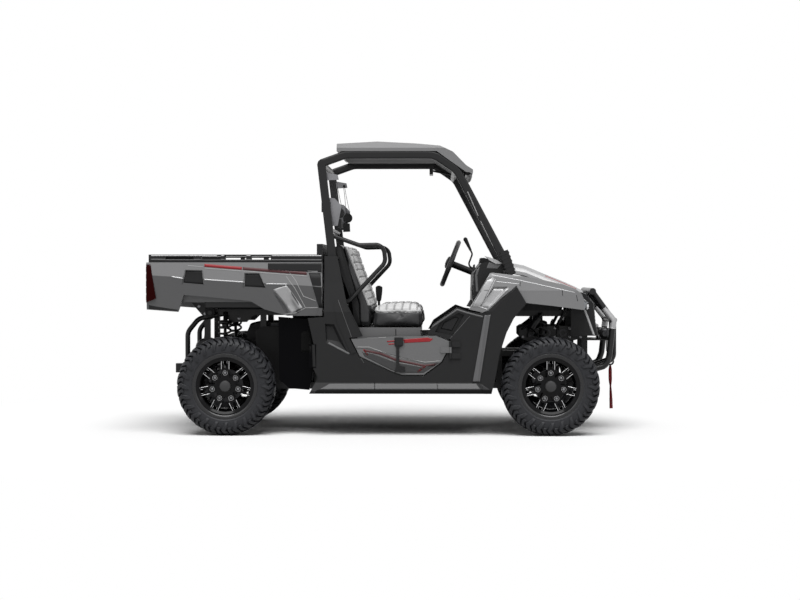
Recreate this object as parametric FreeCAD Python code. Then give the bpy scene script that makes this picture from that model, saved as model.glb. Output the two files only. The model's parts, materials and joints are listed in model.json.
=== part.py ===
"""Side by side utility vehicle with a bench seat, roll cage, tilting cargo bed, half doors and a brush guard.

Millimetres. +X points forward, +Y to the left, +Z up. The origin is on the ground, midway along the length.
Outlines are shares. Along the vehicle 0 is the rear axle, 1 the front axle, TAIL_SHARE the tail and
NOSE_SHARE the nose. Upwards they are shares of the overall height, and across of half the overall width.
Each left-hand piece is drawn at +Y and mirrored for the right.
"""
import FreeCAD
import Part
import math
import os

MM3_PER_LITRE = 1e6

# Driving dimensions of the whole vehicle
OVERALL_WIDTH = 1626.0
OVERALL_HEIGHT = 1955.0
WHEELBASE = 2155.0
REAR_OVERHANG = 525.0
FRONT_OVERHANG = 490.0

# Tyres
TYRE_RADIUS = 327.5
TREAD_DEPTH = 20.0
FRONT_TYRE_WIDTH = 229.0
REAR_TYRE_WIDTH = 279.0
TYRE_SIDES = 32
LUG_WIDTH = 36.0
LUG_SLANT_DEG = 12.0

# Wheels
RIM_RADIUS = 178.0
RIM_FLANGE = 15.0
RIM_WALL = 9.0
RIM_LIP = 10.0
HUB_RADIUS = 66.0
HUB_DEPTH = 46.0
HUB_SETBACK = 26.0
HUB_CAP_RADIUS = 37.0
HUB_CAP_DEPTH = 16.0
SPINDLE_RADIUS = 18.0
SPINDLE_DEPTH = 30.0
SPOKE_PAIRS = 7
SPOKE_WIDTH = 14.0
SPOKE_DEPTH = 30.0
SPOKE_SPREAD = 38.0
SPOKE_TIE_RADIUS = 112.0
NUT_POCKET_WIDTH = 26.0
NUT_RADIUS = 9.0
DISC_RADIUS = 105.0
DISC_THICKNESS = 6.0
BEAD_CLEARANCE = 0.3

# Steering
KINGPIN_INSET = 98.5
STEERING_WHEEL_RADIUS = 160.0
STEERING_GRIP_RADIUS = 14.0
STEERING_HUB_RADIUS = 42.0
STEERING_HUB_DEPTH = 34.0
STEERING_SPOKE_WIDTH = 34.0
STEERING_SPOKE_DEPTH = 10.0
STEERING_STUB_RADIUS = 12.0
COLUMN_RADIUS = 24.0
COLUMN_LENGTH = 210.0
COLUMN_TILT_DEG = 21.4

# Clearances
RUNNING_CLEARANCE = 0.4
PIN_GAP = 0.5
DOOR_GAP = 8.0
PANEL_GAP = 6.0
OVERRUN = 50.0

# Chassis
FRAME_TUBE = 40.0
FRAME_BOTTOM = 290.0
SKID_THICKNESS = 5.0
POST_SIZE = 50.0
PIVOT_TUBE_RADIUS = 16.0
PIVOT_EAR_RADIUS = 32.0
PIVOT_EAR_THICKNESS = 25.0
PIVOT_TUBE_END = 9.5

# Suspension and drive
ARM_RADIUS = 15.0
ARM_SPREAD = 170.0
UPPER_ARM_RISE = 200.0
SHAFT_RADIUS = 14.0
SHAFT_RISE = 60.0
BOOT_RADIUS = 34.0
BOOT_LENGTH = 60.0
SHOCK_RADIUS = 20.0
SHOCK_OFFSET = 44.0
SPRING_RADIUS = 36.0
BALL_JOINT_RADIUS = 22.0
BALL_JOINT_HEIGHT = 24.0
LOWER_BALL_DROP = 80.0
UPPER_BALL_RISE = 100.0
REAR_BALL_INSET = 113.5
KNUCKLE_DEPTH = 44.0
KNUCKLE_SWING = 24.0
KNUCKLE_PIN_RADIUS = 11.0
KNUCKLE_PIN_LENGTH = 12.0
SPINDLE_BOSS_RADIUS = 44.0
STEER_ARM_REACH = 92.0
DIFF_HALF_WIDTH = 95.0
DIFF_HALF_LENGTH = 95.0
RADIATOR_DEPTH = 60.0

# Cage
CAGE_WIDTH = 54.0
CAGE_THICKNESS = 46.0
CAGE_CORNER = 14.0
CAGE_BEND = 130.0
CAGE_CROSS_RADIUS = 23.0
VISOR_TUBE_RADIUS = 18.4
BASE_PLATE_THICKNESS = 12.0
BASE_PLATE_SIZE = 90.0
HIP_BAR_RADIUS = 14.5
HIP_BAR_BEND = 70.0
MIRROR_DEPTH = 24.0
MIRROR_HALF_WIDTH = 110.0
MIRROR_HEIGHT = 62.0
MIRROR_STALK_RADIUS = 7.0

# Roof
ROOF_SKIN = 16.0
ROOF_SKIRT = 22.0
ROOF_CHAMFER = 45.0
ROOF_CHANNEL_DEPTH = 7.0
ROOF_CHANNEL_WIDTH = 70.0

# Floor and dashboard
FLOOR_THICKNESS = 12.0
BULKHEAD_THICKNESS = 10.0
LEVER_OFFSET = 60.0
LEVER_RADIUS = 6.0
LEVER_BEND = 30.0
KNOB_FOOT_RADIUS = 8.0
KNOB_RADIUS = 15.0
BINNACLE_HALF_WIDTH = 150.0

# Side panels, fenders and nose
SIDE_WALL = 36.0
POCKET_DEPTH = 24.0
RIDGE_PROUD = 5.0
FENDER_WALL = 22.0
FENDER_POCKET_DEPTH = 10.0
LINER_THICKNESS = 22.0
FASCIA_WALL = 18.0
NOSE_BOW = 30.0
GRILLE_BAR = 10.0
GRILLE_BARS = 5
HOOD_SKIN = 20.0
HOOD_STEP = 22.0
HOOD_STEP_WIDTH = 40.0
HOOD_SIDE_DROP = 50.0
HOOD_HINGE_INSET = 12.0
HOOD_HINGE_DROP = 14.0
HOOD_LUG_WIDTH = 18.0
HOOD_PIN_RADIUS = 4.0
TUB_DEPTH = 130.0
TUB_WALL = 8.0

# Doors
HINGE_RADIUS = 9.0
HINGE_PIN_RADIUS = 4.0
HINGE_STANDOFF = 12.0
HINGE_PLATE = 4.0
HINGE_REACH = 66.0
LATCH_PROUD = 12.0
LATCH_GRIP_PROUD = 12.0
DOOR_STEP = 5.0

# Cargo bed
BED_FLOOR_THICKNESS = 24.0
BED_RIB_HEIGHT = 14.0
BED_RIB_WIDTH = 40.0
BED_RIB_COUNT = 11
BED_FRONT_WALL = 46.0
BED_TOP_LEAN = 10.0
BED_SKIRT_LEAN = 32.0
BED_INSERT_DEPTH = 14.0
BED_ARCH_DEPTH = 20.0
BED_QUARTER_STEP = 4.0
BED_RAIL_WIDTH = 60.0
TAILGATE_THICKNESS = 40.0
TAILGATE_CLEARANCE = 6.0
TAILGATE_BORDER = 60.0
TAILGATE_RECESS = 7.0
TAILGATE_PIN_REACH = 20.0
TAILGATE_HANDLE_WIDTH = 180.0
TAILGATE_HANDLE_HEIGHT = 40.0
TAIL_LIGHT_PROUD = 2.0

# Seats
SEAT_SPLIT_GAP = 10.0
SEAT_EDGE_RADIUS = 15.0
SEAT_BASE_WALL = 20.0
SEAT_BASE_INSET = 8.0

# Front guard, winch and tow hitch
GUARD_RADIUS = 21.0
GUARD_TOP_RADIUS = 22.0
GUARD_LOW_RADIUS = 20.0
GUARD_BOW_RADIUS = 19.0
INNER_POST_RADIUS = 15.0
GUARD_BEND = 60.0
WINCH_RADIUS = 32.0
WINCH_CASE = 74.0
WINCH_CASE_LENGTH = 60.0
WINCH_LENGTH = 300.0
WINCH_PLATE = 8.0
HOOK_WIRE = 6.0
HOOK_SHANK_RADIUS = 4.8
HOOK_RADIUS = 22.0
HOOK_TAB = 12.0
REAR_GUARD_RADIUS = 17.0
REAR_GUARD_LOW_RADIUS = 16.0
REAR_GUARD_BEND = 80.0
RECEIVER_OUTER = 63.5
RECEIVER_BORE = 51.0
RECEIVER_FLOOR = 16.0
RECEIVER_PIN_RADIUS = 8.0
RECEIVER_PIN_SETBACK = 60.0

# Seat belts and winch strap
WEBBING_WIDTH = 46.0
WEBBING_THICKNESS = 4.0
REEL_SIZE = 62.0
REEL_DEPTH = 37.0
BUCKLE_WIDTH = 34.0
BUCKLE_HEIGHT = 80.0
BUCKLE_DEPTH = 22.0
STRAP_WIDTH = 25.0
STRAP_LENGTH = 300.0

# Places along the vehicle, and as (along, up)
TAIL_SHARE = -0.2436
NOSE_SHARE = 1.2274
FRAME_BACK_SHARE = -0.088
FRAME_STEP_SHARE = 0.80
FRAME_FRONT_SHARE = 1.13
POST_SHARE = 0.322
RECEIVER_SHARE = (-0.197, 0.212)
DOOR_HINGE_SHARE = 0.6925
BED_FRONT_SHARE = 0.298
BED_PIVOT_SHARE = (-0.067, 0.413)
STEERING_WHEEL_SHARE = (0.695, 0.587)
WINCH_SHARE = (1.187, 0.338)
HOOK_SHARE = (1.2115, 0.236)
MIRROR_SHARE = (0.632, 0.917)
BUCKLE_SHARE = (0.460, 0.462)

# Heights
NOSE_FRAME_TOP_SHARE = 0.420
SUBFRAME_TOP_SHARE = 0.4246
POST_TOP_SHARE = 0.600
HINGE_LOW_SHARE = 0.262
HINGE_HIGH_SHARE = 0.320
BULKHEAD_TOP_SHARE = 0.450
SEAT_BASE_TOP_SHARE = 0.365
GRILLE_LOW_SHARE = 0.345
GRILLE_HIGH_SHARE = 0.425
BED_FLOOR_SHARE = 0.4645
BED_SIDE_TOP_SHARE = 0.587
BED_RAIL_TOP_SHARE = 0.614
BED_WALL_TOP_SHARE = 0.600
HEADBOARD_TOP_SHARE = 0.650
TAILGATE_HINGE_SHARE = 0.453
TAILGATE_TOP_SHARE = 0.605
BRACE_SHARE = 0.700
TOE_TOP_SHARE = 0.250
FIREWALL_TOP_SHARE = 0.440
BED_SKIRT_FALL_SHARE = 0.150
BED_TOP_RISE_SHARE = 0.090

# Places across the vehicle, as shares of half its width
SIDE_FACE_SHARE = 0.945
HINGE_FACE_SHARE = 0.943
FLARE_BASE_Y_SHARE = 0.925
FLARE_FACE_Y_SHARE = 0.984
SIDE_INNER_Y_SHARE = 0.70
FRAME_Y_SHARE = 0.369
FRONT_FRAME_Y_SHARE = 0.2583
POST_Y_SHARE = 0.7872
PIVOT_EAR_Y_SHARE = 0.465
ENGINE_Y_SHARE = 0.2952
CAGE_Y_SHARE = 0.8057
ROOF_Y_SHARE = 0.8364
DRIVER_Y_SHARE = 0.4551
FLOOR_Y_SHARE = 0.9164
BULKHEAD_Y_SHARE = 0.7528
DASH_Y_SHARE = 0.7725
SEAT_Y_SHARE = 0.7725
SEAT_SPLIT_Y_SHARE = 0.1968
FENDER_Y_SHARE = 0.5314
LAMP_Y_SHARE = 0.7626
GRILLE_Y_SHARE = 0.369
HOOD_RIDGE_Y_SHARE = 0.1845
HOOD_FRONT_Y_SHARE = 0.492
HOOD_HINGE_Y_SHARE = 0.369
TUB_Y_SHARE = 0.369
LINER_Y_SHARE = 0.7872
BED_INNER_Y_SHARE = 0.7872
BED_SKIRT_Y_SHARE = 0.861
BED_OUTER_Y_SHARE = 0.9373
GUARD_Y_SHARE = 0.4059
GUARD_TOP_Y_SHARE = 0.5289
INNER_POST_Y_SHARE = 0.16

# Shares of one piece's own length
ROUND_ROOM_SHARE = 0.45
PANEL_REAR_SHARE = 0.15
FENDER_SECTION_TOP_SHARE = 0.650
SHOCK_FOOT_SHARE = 0.60
SPRING_START_SHARE = 0.28
SPRING_SHARE = 0.60
BELT_RUN_SHARE = 0.42
ARCH_CLOSE_SHARE = 0.60
BOW_STATIONS = (-1, -0.75, -0.5, -0.25, 0, 0.25, 0.5, 0.75, 1)

OVERALL_LENGTH = REAR_OVERHANG + WHEELBASE + FRONT_OVERHANG
HALF_WIDTH = OVERALL_WIDTH / 2
X_TAIL = -OVERALL_LENGTH / 2
X_NOSE = OVERALL_LENGTH / 2
X_REAR_AXLE = X_TAIL + REAR_OVERHANG
X_FRONT_AXLE = X_REAR_AXLE + WHEELBASE
AXLE_Z = TYRE_RADIUS
FRONT_WHEEL_Y = HALF_WIDTH - FRONT_TYRE_WIDTH / 2
REAR_WHEEL_Y = HALF_WIDTH - REAR_TYRE_WIDTH / 2
KINGPIN_Y = FRONT_WHEEL_Y - KINGPIN_INSET
REAR_BALL_Y = REAR_WHEEL_Y - REAR_BALL_INSET
FRAME_Y = FRAME_Y_SHARE * HALF_WIDTH
FRONT_FRAME_Y = FRONT_FRAME_Y_SHARE * HALF_WIDTH
POST_Y = POST_Y_SHARE * HALF_WIDTH
PIVOT_EAR_Y = PIVOT_EAR_Y_SHARE * HALF_WIDTH
PIVOT_TUBE_HALF_LENGTH = PIVOT_EAR_Y + PIVOT_EAR_THICKNESS / 2 + PIVOT_TUBE_END
ENGINE_HALF_WIDTH = ENGINE_Y_SHARE * HALF_WIDTH
CAGE_Y = CAGE_Y_SHARE * HALF_WIDTH
ROOF_HALF_WIDTH = ROOF_Y_SHARE * HALF_WIDTH
DRIVER_Y = DRIVER_Y_SHARE * HALF_WIDTH
FLOOR_HALF_WIDTH = FLOOR_Y_SHARE * HALF_WIDTH
BULKHEAD_HALF_WIDTH = BULKHEAD_Y_SHARE * HALF_WIDTH
DASH_HALF_WIDTH = DASH_Y_SHARE * HALF_WIDTH
SEAT_HALF_WIDTH = SEAT_Y_SHARE * HALF_WIDTH
SEAT_SPLIT_Y = SEAT_SPLIT_Y_SHARE * HALF_WIDTH
FENDER_INNER_Y = FENDER_Y_SHARE * HALF_WIDTH
LAMP_OUTER_Y = LAMP_Y_SHARE * HALF_WIDTH
GRILLE_HALF_WIDTH = GRILLE_Y_SHARE * HALF_WIDTH
HOOD_RIDGE_Y = HOOD_RIDGE_Y_SHARE * HALF_WIDTH
HOOD_REAR_Y = FENDER_INNER_Y - PANEL_GAP
HOOD_FRONT_Y = HOOD_FRONT_Y_SHARE * HALF_WIDTH
HOOD_HINGE_Y = HOOD_HINGE_Y_SHARE * HALF_WIDTH
TUB_HALF_WIDTH = TUB_Y_SHARE * HALF_WIDTH
LINER_Y = LINER_Y_SHARE * HALF_WIDTH
BED_INNER_Y = BED_INNER_Y_SHARE * HALF_WIDTH
BED_SKIRT_Y = BED_SKIRT_Y_SHARE * HALF_WIDTH
BED_OUTER_Y = BED_OUTER_Y_SHARE * HALF_WIDTH
GUARD_Y = GUARD_Y_SHARE * HALF_WIDTH
GUARD_TOP_Y = GUARD_TOP_Y_SHARE * HALF_WIDTH
INNER_POST_Y = INNER_POST_Y_SHARE * HALF_WIDTH

# Tyre and lug sections, as (share of the tyre's radius, share of half its width)
TYRE_SHARES = [(0.760, 1.0), (0.880, 0.96)]
CROWN_Y_SHARE = 0.70
LUG_SHARES = [(0.925, 0.10), (1.0, 0.12), (1.0, 0.76), (0.905, 0.975), (0.80, 0.955)]
LUG_MIDDLE_SHARE = 0.55

# Side outlines, as (along, up)
SIDE_PANEL_SHARES = [
    (0.304, 0.609), (0.343, 0.609), (0.373, 0.449), (0.423, 0.337), (0.387, 0.330), (0.412, 0.268),
    (0.513, 0.215), (0.543, 0.203), (0.612, 0.203), (0.667, 0.247), (0.694, 0.304), (0.692, 0.327),
    (0.620, 0.342), (0.637, 0.376), (0.713, 0.434), (0.744, 0.422), (0.790, 0.415), (0.810, 0.422),
    (0.818, 0.400), (0.818, 0.143), (0.259, 0.143), (0.285, 0.197), (0.272, 0.226), (0.272, 0.312),
    (0.254, 0.398), (0.304, 0.402),
]
DOOR_SHARES = [
    (0.387, 0.328), (0.528, 0.337), (0.648, 0.338), (0.690, 0.320), (0.690, 0.303), (0.664, 0.250),
    (0.611, 0.207), (0.543, 0.207), (0.514, 0.218), (0.414, 0.270),
]
DOOR_LOWER_SHARES = [
    (0.36, 0.298), (0.432, 0.298), (0.614, 0.247),
    (0.68, 0.250), (0.68, 0.19), (0.36, 0.19),
]
KICK_WINDOW_SHARES = [(0.644, 0.352), (0.660, 0.384), (0.718, 0.417), (0.735, 0.410), (0.700, 0.340)]
SCOOP_SHARES = [(0.306, 0.381), (0.336, 0.379), (0.380, 0.276), (0.311, 0.312)]
SCOOP_FLOOR_SHARES = [(0.311, 0.372), (0.330, 0.370), (0.352, 0.318), (0.313, 0.326)]
RIDGE_SHARES = [
    (0.332, 0.455), (0.366, 0.449), (0.417, 0.345),
    (0.406, 0.285), (0.388, 0.277), (0.344, 0.384),
]
STRIP_SHARES = [(0.7954, 0.412), (0.812, 0.412), (0.7827, 0.182), (0.7593, 0.182)]
FLARE_BASE_SHARES = [
    (0.790, 0.415), (0.846, 0.469), (0.894, 0.512), (0.926, 0.449), (0.886, 0.398), (0.864, 0.350),
    (0.843, 0.279), (0.829, 0.192), (0.818, 0.143), (0.772, 0.143), (0.762, 0.180),
]
FLARE_FACE_SHARES = [
    (0.821, 0.422), (0.852, 0.459), (0.895, 0.503), (0.924, 0.449), (0.886, 0.398), (0.864, 0.350),
    (0.843, 0.279), (0.829, 0.192), (0.818, 0.143), (0.796, 0.143), (0.787, 0.180),
]
LATCH_SHARES = [
    (0.5204, 0.3330), (0.5478, 0.3330), (0.5478, 0.3068),
    (0.5352, 0.2986), (0.5352, 0.2384), (0.5530, 0.2330),
    (0.5530, 0.2160), (0.5204, 0.2160), (0.5259, 0.2360), (0.5259, 0.2986), (0.5204, 0.3068),
]
LATCH_GRIP_SHARES = [(0.5259, 0.3330), (0.5478, 0.3330), (0.5478, 0.3068), (0.5259, 0.3068)]
FENDER_TOP_SHARES = [
    (0.824, 0.552), (0.904, 0.5415), (0.972, 0.5285), (1.037, 0.5125),
    (1.075, 0.4975), (1.094, 0.481), (1.101, 0.462),
]
FENDER_REST_SHARES = [
    (1.102, 0.426), (1.006, 0.440), (0.923, 0.450), (0.894, 0.507), (0.846, 0.464), (0.810, 0.425),
    (0.790, 0.418), (0.750, 0.428), (0.814, 0.551),
]
FENDER_ROOM_SHARES = (0.815, 1.092)
FENDER_POCKET_SHARES = [(0.8244, 0.5050), (0.8680, 0.5050), (0.8130, 0.4380), (0.7860, 0.4400)]
HOOD_SHARES = [
    (0.874, 0.590), (0.929, 0.578), (0.985, 0.5525),
    (1.045, 0.5260), (1.0900, 0.5045), (1.117, 0.489),
]
FASCIA_SHARES = [
    (1.085, 0.484), (1.119, 0.484), (1.131, 0.478), (1.155, 0.445),
    (1.160, 0.380), (1.169, 0.334), (1.085, 0.334),
]
LAMP_SHARES = [(1.098, 0.474), (1.128, 0.448), (1.122, 0.424), (1.098, 0.428)]
TUB_SHARES = (0.890, 1.040)
RADIATOR_SHARE = 1.085
ARCH_FRONT_SHARES = [(0.293, 0.925), (0.367, 0.954), (0.643, 0.954), (0.713, 0.901), (0.884, 0.545)]
ARCH_REAR_SHARES = [(0.293, 0.925), (0.327, 0.606)]
ROOF_TOP_SHARES = [
    (0.341, 0.992), (0.466, 1.000), (0.583, 0.993), (0.660, 0.985),
    (0.700, 0.964), (0.741, 0.918), (0.762, 0.903),
]
ROOF_UNDER_SHARES = [
    (0.341, 0.966), (0.466, 0.966), (0.583, 0.966), (0.650, 0.966),
    (0.690, 0.934), (0.741, 0.895), (0.762, 0.892),
]
ROOF_CHANNEL_SHARES = (0.375, 0.600)
ROOF_CHANNEL_Y_SHARE = 0.40
HIP_BAR_SHARES = [
    (0.326, 0.679), (0.410, 0.646), (0.485, 0.648),
    (0.492, 0.588), (0.378, 0.454), (0.340, 0.444),
]
SEAT_BACK_SHARES = [
    (0.352, 0.640), (0.362, 0.652), (0.383, 0.642), (0.400, 0.588),
    (0.447, 0.455), (0.447, 0.365), (0.408, 0.365),
    (0.408, 0.440),
]
SEAT_CUSHION_SHARES = [(0.449, 0.442), (0.600, 0.446), (0.612, 0.430), (0.611, 0.365), (0.449, 0.365)]
SEAT_BASE_SHARES = (0.404, 0.600)
DASH_SHARES = [
    (0.764, 0.552), (0.789, 0.586), (0.850, 0.595), (0.868, 0.575),
    (0.846, 0.545), (0.800, 0.440), (0.762, 0.455),
]
DASH_ROOM_SHARES = [(0.740, 0.40), (0.868, 0.62)]
BINNACLE_SHARES = [
    (0.789, 0.586), (0.793, 0.606), (0.806, 0.607), (0.842, 0.5945), (0.842, 0.575), (0.795, 0.575),
]
LEVER_SHARES = [(0.795, 0.560), (0.7503, 0.5752), (0.7657, 0.6197), (0.7602, 0.6323)]
KNOB_SHARE = (0.7429, 0.672)
LINER_SHARES = [
    (0.160, 0.402), (0.250, 0.394), (0.268, 0.312), (0.268, 0.226),
    (0.256, 0.152), (0.194, 0.158), (0.163, 0.187),
]
LINER_FLANGE_SHARES = [(0.258, 0.230), (0.280, 0.310)]
BED_SIDE_SHARES = [
    (0.298, 0.587), (0.298, 0.406), (0.191, 0.406), (0.120, 0.428), (0.077, 0.456), (-0.045, 0.469),
    (-0.128, 0.477), (-0.147, 0.419), (-0.2436, 0.427), (-0.2436, 0.587),
]
BED_CREASE_SHARES = [(-0.2436, 0.5450), (0.298, 0.5050)]
BED_INSERT_SHARES = [
    [(-0.1241, 0.5612), (-0.0716, 0.5612), (-0.0670, 0.5126), (-0.1343, 0.5126)],
    [(0.0593, 0.5510), (0.1037, 0.5510), (0.1241, 0.5000), (0.0534, 0.5000)],
]
BED_ARCH_SHARES = [(0.1904, 0.5129), (0.2389, 0.4327), (0.2108, 0.400), (0.185, 0.400), (0.142, 0.4929)]
BED_QUARTER_SHARES = [(0.2509, 0.5575), (0.2855, 0.435), (0.2780, 0.400), (0.310, 0.400), (0.310, 0.5520)]
BED_RAIL_START_SHARE = -0.240
BED_SLOT_SHARES = [(-0.1870, -0.1010), (-0.0772, -0.0170), (-0.0034, 0.0617), (0.0775, 0.1381)]
BED_SLOT_HEIGHT_SHARES = (0.5970, 0.6085)
HEADBOARD_SHARE = 0.2802
TAIL_LIGHT_SHARES = [(-0.2436, 0.580), (-0.230, 0.580), (-0.214, 0.464), (-0.2436, 0.451)]
GUARD_SHARES = [(1.1397, 0.215), (1.185, 0.228), (1.1955, 0.262), (1.208, 0.385), (1.140, 0.488)]
INNER_POST_FOOT_SHARE = 0.245
WINCH_LIP_SHARE = 0.272
HOOK_TAB_SHARE = 0.284
REAR_GUARD_SHARES = [(-0.045, 0.405), (-0.105, 0.392), (-0.140, 0.345), (-0.140, 0.228)]
FLOOR_REAR_SHARE = 0.345
TOE_SHARE = 0.735
FIREWALL_SHARE = 0.800
FRAME_CROSS_SHARES = [0.44, 0.62]
FRAME_POST_SHARES = [0.090, 0.262]
FRAME_TOP_END_SHARE = 0.28
FRAME_ARM_END_SHARE = 0.10
NOSE_POST_SHARES = [0.84, 0.955]
NOSE_RAIL_SHARE = 0.76
OUTRIGGER_SHARE = 0.74
ENGINE_SHARES = [(0.120, 0.255), (-0.060, 0.120)]
ENGINE_TOP_SHARES = [0.375, 0.235]

# Cross sections, as (across, up)
SIDE_SECTION_SHARES = [
    (0.975, 0.143), (0.975, 0.152), (0.945, 0.180),
    (0.941, 0.420), (0.900, 0.520), (0.868, 0.609),
]
FENDER_FACE_SHARES = [(0.945, 0.380), (0.952, 0.492)]
FENDER_CROWN_SHARES = [(0.9320, 0.5380), (0.8700, 0.5620)]


def vec(x, y, z):
    return FreeCAD.Vector(x, y, z)


def along(share):
    """Place along the vehicle. The wheelbase and each overhang have their own scale."""
    if share < 0:
        return X_REAR_AXLE - REAR_OVERHANG * share / TAIL_SHARE
    if share > 1:
        return X_FRONT_AXLE + FRONT_OVERHANG * (share - 1) / (NOSE_SHARE - 1)
    return X_REAR_AXLE + share * WHEELBASE


def up(share):
    return share * OVERALL_HEIGHT


def across(share):
    return share * HALF_WIDTH


def side_points(shares):
    """Points (x, z) of a side outline."""
    return [(along(x), up(z)) for x, z in shares]


def ring_of(points):
    return Part.makePolygon(points + [points[0]])


def face_of(points):
    return Part.Face(ring_of(points))


def prism_y(points, y_low, y_high):
    """An outline of (x, z) points, extruded across the vehicle."""
    face = face_of([vec(x, y_low, z) for x, z in points])
    return face.extrude(vec(0, y_high - y_low, 0))


def prism_x(points, x_low, x_high):
    """An outline of (y, z) points, extruded along the vehicle."""
    face = face_of([vec(x_low, y, z) for y, z in points])
    return face.extrude(vec(x_high - x_low, 0, 0))


def prism_z(points, z_low, z_high):
    """An outline of (x, y) points, extruded upwards."""
    face = face_of([vec(x, y, z_low) for x, y in points])
    return face.extrude(vec(0, 0, z_high - z_low))


def block(x_range, y_range, z_range):
    size = [high - low for low, high in (x_range, y_range, z_range)]
    return Part.makeBox(*size, vec(x_range[0], y_range[0], z_range[0]))


def band(middle, width):
    """The range of a width about its middle."""
    return middle - width / 2, middle + width / 2


def loft_y(points_a, y_a, points_b, y_b):
    """A solid between two side outlines with as many points each."""
    rings = []
    for points, y in ((points_a, y_a), (points_b, y_b)):
        rings.append(ring_of([vec(x, y, z) for x, z in points]))
    return Part.makeLoft(rings, True, True)


def bowed(points, half_width, bow):
    """A side outline carried across the vehicle, set back towards its ends by bow."""
    rings = []
    for share in BOW_STATIONS:
        setback = bow * share ** 2
        rings.append(ring_of([vec(x - setback, share * half_width, z) for x, z in points]))
    return Part.makeLoft(rings, True, True)


def rod(start, end, radius):
    axis = end - start
    return Part.makeCylinder(radius, axis.Length, start, axis)


def rod_y(x, z, reach, radius):
    """A round bar right across the vehicle, out to reach on both sides."""
    return rod(vec(x, -reach, z), vec(x, reach, z), radius)


def beam_y(x, z, reach):
    """A square tube across the vehicle, with its middle at x and z."""
    return block(band(x, FRAME_TUBE), (-reach, reach), band(z, FRAME_TUBE))


def rounded_path(points, bend):
    """Straight runs joined by tangent arcs, no larger than the runs allow."""
    edges = []
    last = points[0]
    for before, corner, after in zip(points, points[1:], points[2:]):
        to_before = before - corner
        to_after = after - corner
        room = ROUND_ROOM_SHARE * min(to_before.Length, to_after.Length)
        to_before.normalize()
        to_after.normalize()
        half_turn = (math.pi - to_before.getAngle(to_after)) / 2
        setback = min(bend * math.tan(half_turn), room)
        radius = setback / math.tan(half_turn)
        inward = to_before + to_after
        inward.normalize()
        middle = corner + inward * (radius / math.cos(half_turn) - radius)
        start = corner + to_before * setback
        end = corner + to_after * setback
        edges.append(Part.LineSegment(last, start).toShape())
        edges.append(Part.Arc(start, middle, end).toShape())
        last = end
    edges.append(Part.LineSegment(last, points[-1]).toShape())
    return Part.Wire(edges)


def pipe(points, radius, bend):
    """A round tube along points."""
    path = rounded_path(points, bend)
    ring = Part.Wire(Part.makeCircle(radius, points[0], points[1] - points[0]))
    return path.makePipeShell([ring], True, False)


def side_pipe(points, y, width, thickness, corner, bend):
    """A rounded box section along (x, z) points in the plane at y."""
    route = [vec(x, y, z) for x, z in points]
    path = rounded_path(route, bend)
    forward = (route[1] - route[0]).normalize()
    sideways = vec(0, 1, 0)
    upright = forward.cross(sideways)
    corners = [
        route[0] + upright * (a * width / 2) + sideways * (b * thickness / 2)
        for a, b in ((1, 1), (1, -1), (-1, -1), (-1, 1))
    ]
    edges = []
    count = len(corners)
    for i, here in enumerate(corners):
        after = corners[(i + 1) % count]
        to_last = (corners[i - 1] - here).normalize()
        to_next = (after - here).normalize()
        start = here + to_last * corner
        end = here + to_next * corner
        middle = here + (to_last + to_next) * (corner * (1 - math.sqrt(0.5)))
        edges.append(Part.Arc(start, middle, end).toShape())
        edges.append(Part.LineSegment(end, after - to_next * corner).toShape())
    return path.makePipeShell([Part.Wire(edges)], True, False)


def straight_bar(start, end, y, width, thickness):
    """A box section along one straight run at y."""
    way = (vec(end[0], 0, end[1]) - vec(start[0], 0, start[1])).normalize()
    upright = vec(-way.z, 0, way.x) * (width / 2)
    corners = [
        (start[0] + upright.x, start[1] + upright.z), (end[0] + upright.x, end[1] + upright.z),
        (end[0] - upright.x, end[1] - upright.z), (start[0] - upright.x, start[1] - upright.z),
    ]
    y_range = band(y, thickness)
    return prism_y(corners, y_range[0], y_range[1])


def fuse(shapes):
    """One solid from touching pieces, with coplanar faces merged wherever that keeps it sound."""
    first = shapes[0]
    whole = first.fuse(shapes[1:]) if len(shapes) > 1 else first
    merged = whole.removeSplitter()
    return merged if merged.isValid() else whole


def mirrored(shape):
    return shape.mirror(vec(0, 0, 0), vec(0, 1, 0))


def both_sides(shape):
    """The left-hand piece and its mirror image, as separate solids."""
    return Part.makeCompound([shape, mirrored(shape)])


def save(name, shape):
    shape.exportStep(os.path.join("parts", name + ".step"))
    solids = shape.Solids
    litres = sum(s.Volume for s in solids) / MM3_PER_LITRE
    print(name, len(solids), "solids", round(litres, 3), "litres", shape.isValid())


def turned(shape, part, parts):
    """The shape turned about the axle through the origin, by one part of a full turn."""
    return shape.rotate(vec(0, 0, 0), vec(0, 1, 0), 360 * part / parts)


def flat_ring(radius, y):
    """A many-sided ring about the axle through the origin, with a flat side downwards."""
    corners = []
    for k in range(TYRE_SIDES):
        angle = 2 * math.pi * (k + 0.5) / TYRE_SIDES
        corners.append(vec(radius * math.sin(angle), y, -radius * math.cos(angle)))
    return ring_of(corners)


def lug(side, half):
    """One tread block, facing down, from the tyre's middle over its shoulder on one side."""
    points = [vec(-LUG_WIDTH / 2, side * y * half, -radius * TYRE_RADIUS) for radius, y in LUG_SHARES]
    shape = face_of(points).extrude(vec(LUG_WIDTH, 0, 0))
    return shape.rotate(vec(0, side * LUG_MIDDLE_SHARE * half, 0), vec(0, 0, 1), side * LUG_SLANT_DEG)


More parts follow.
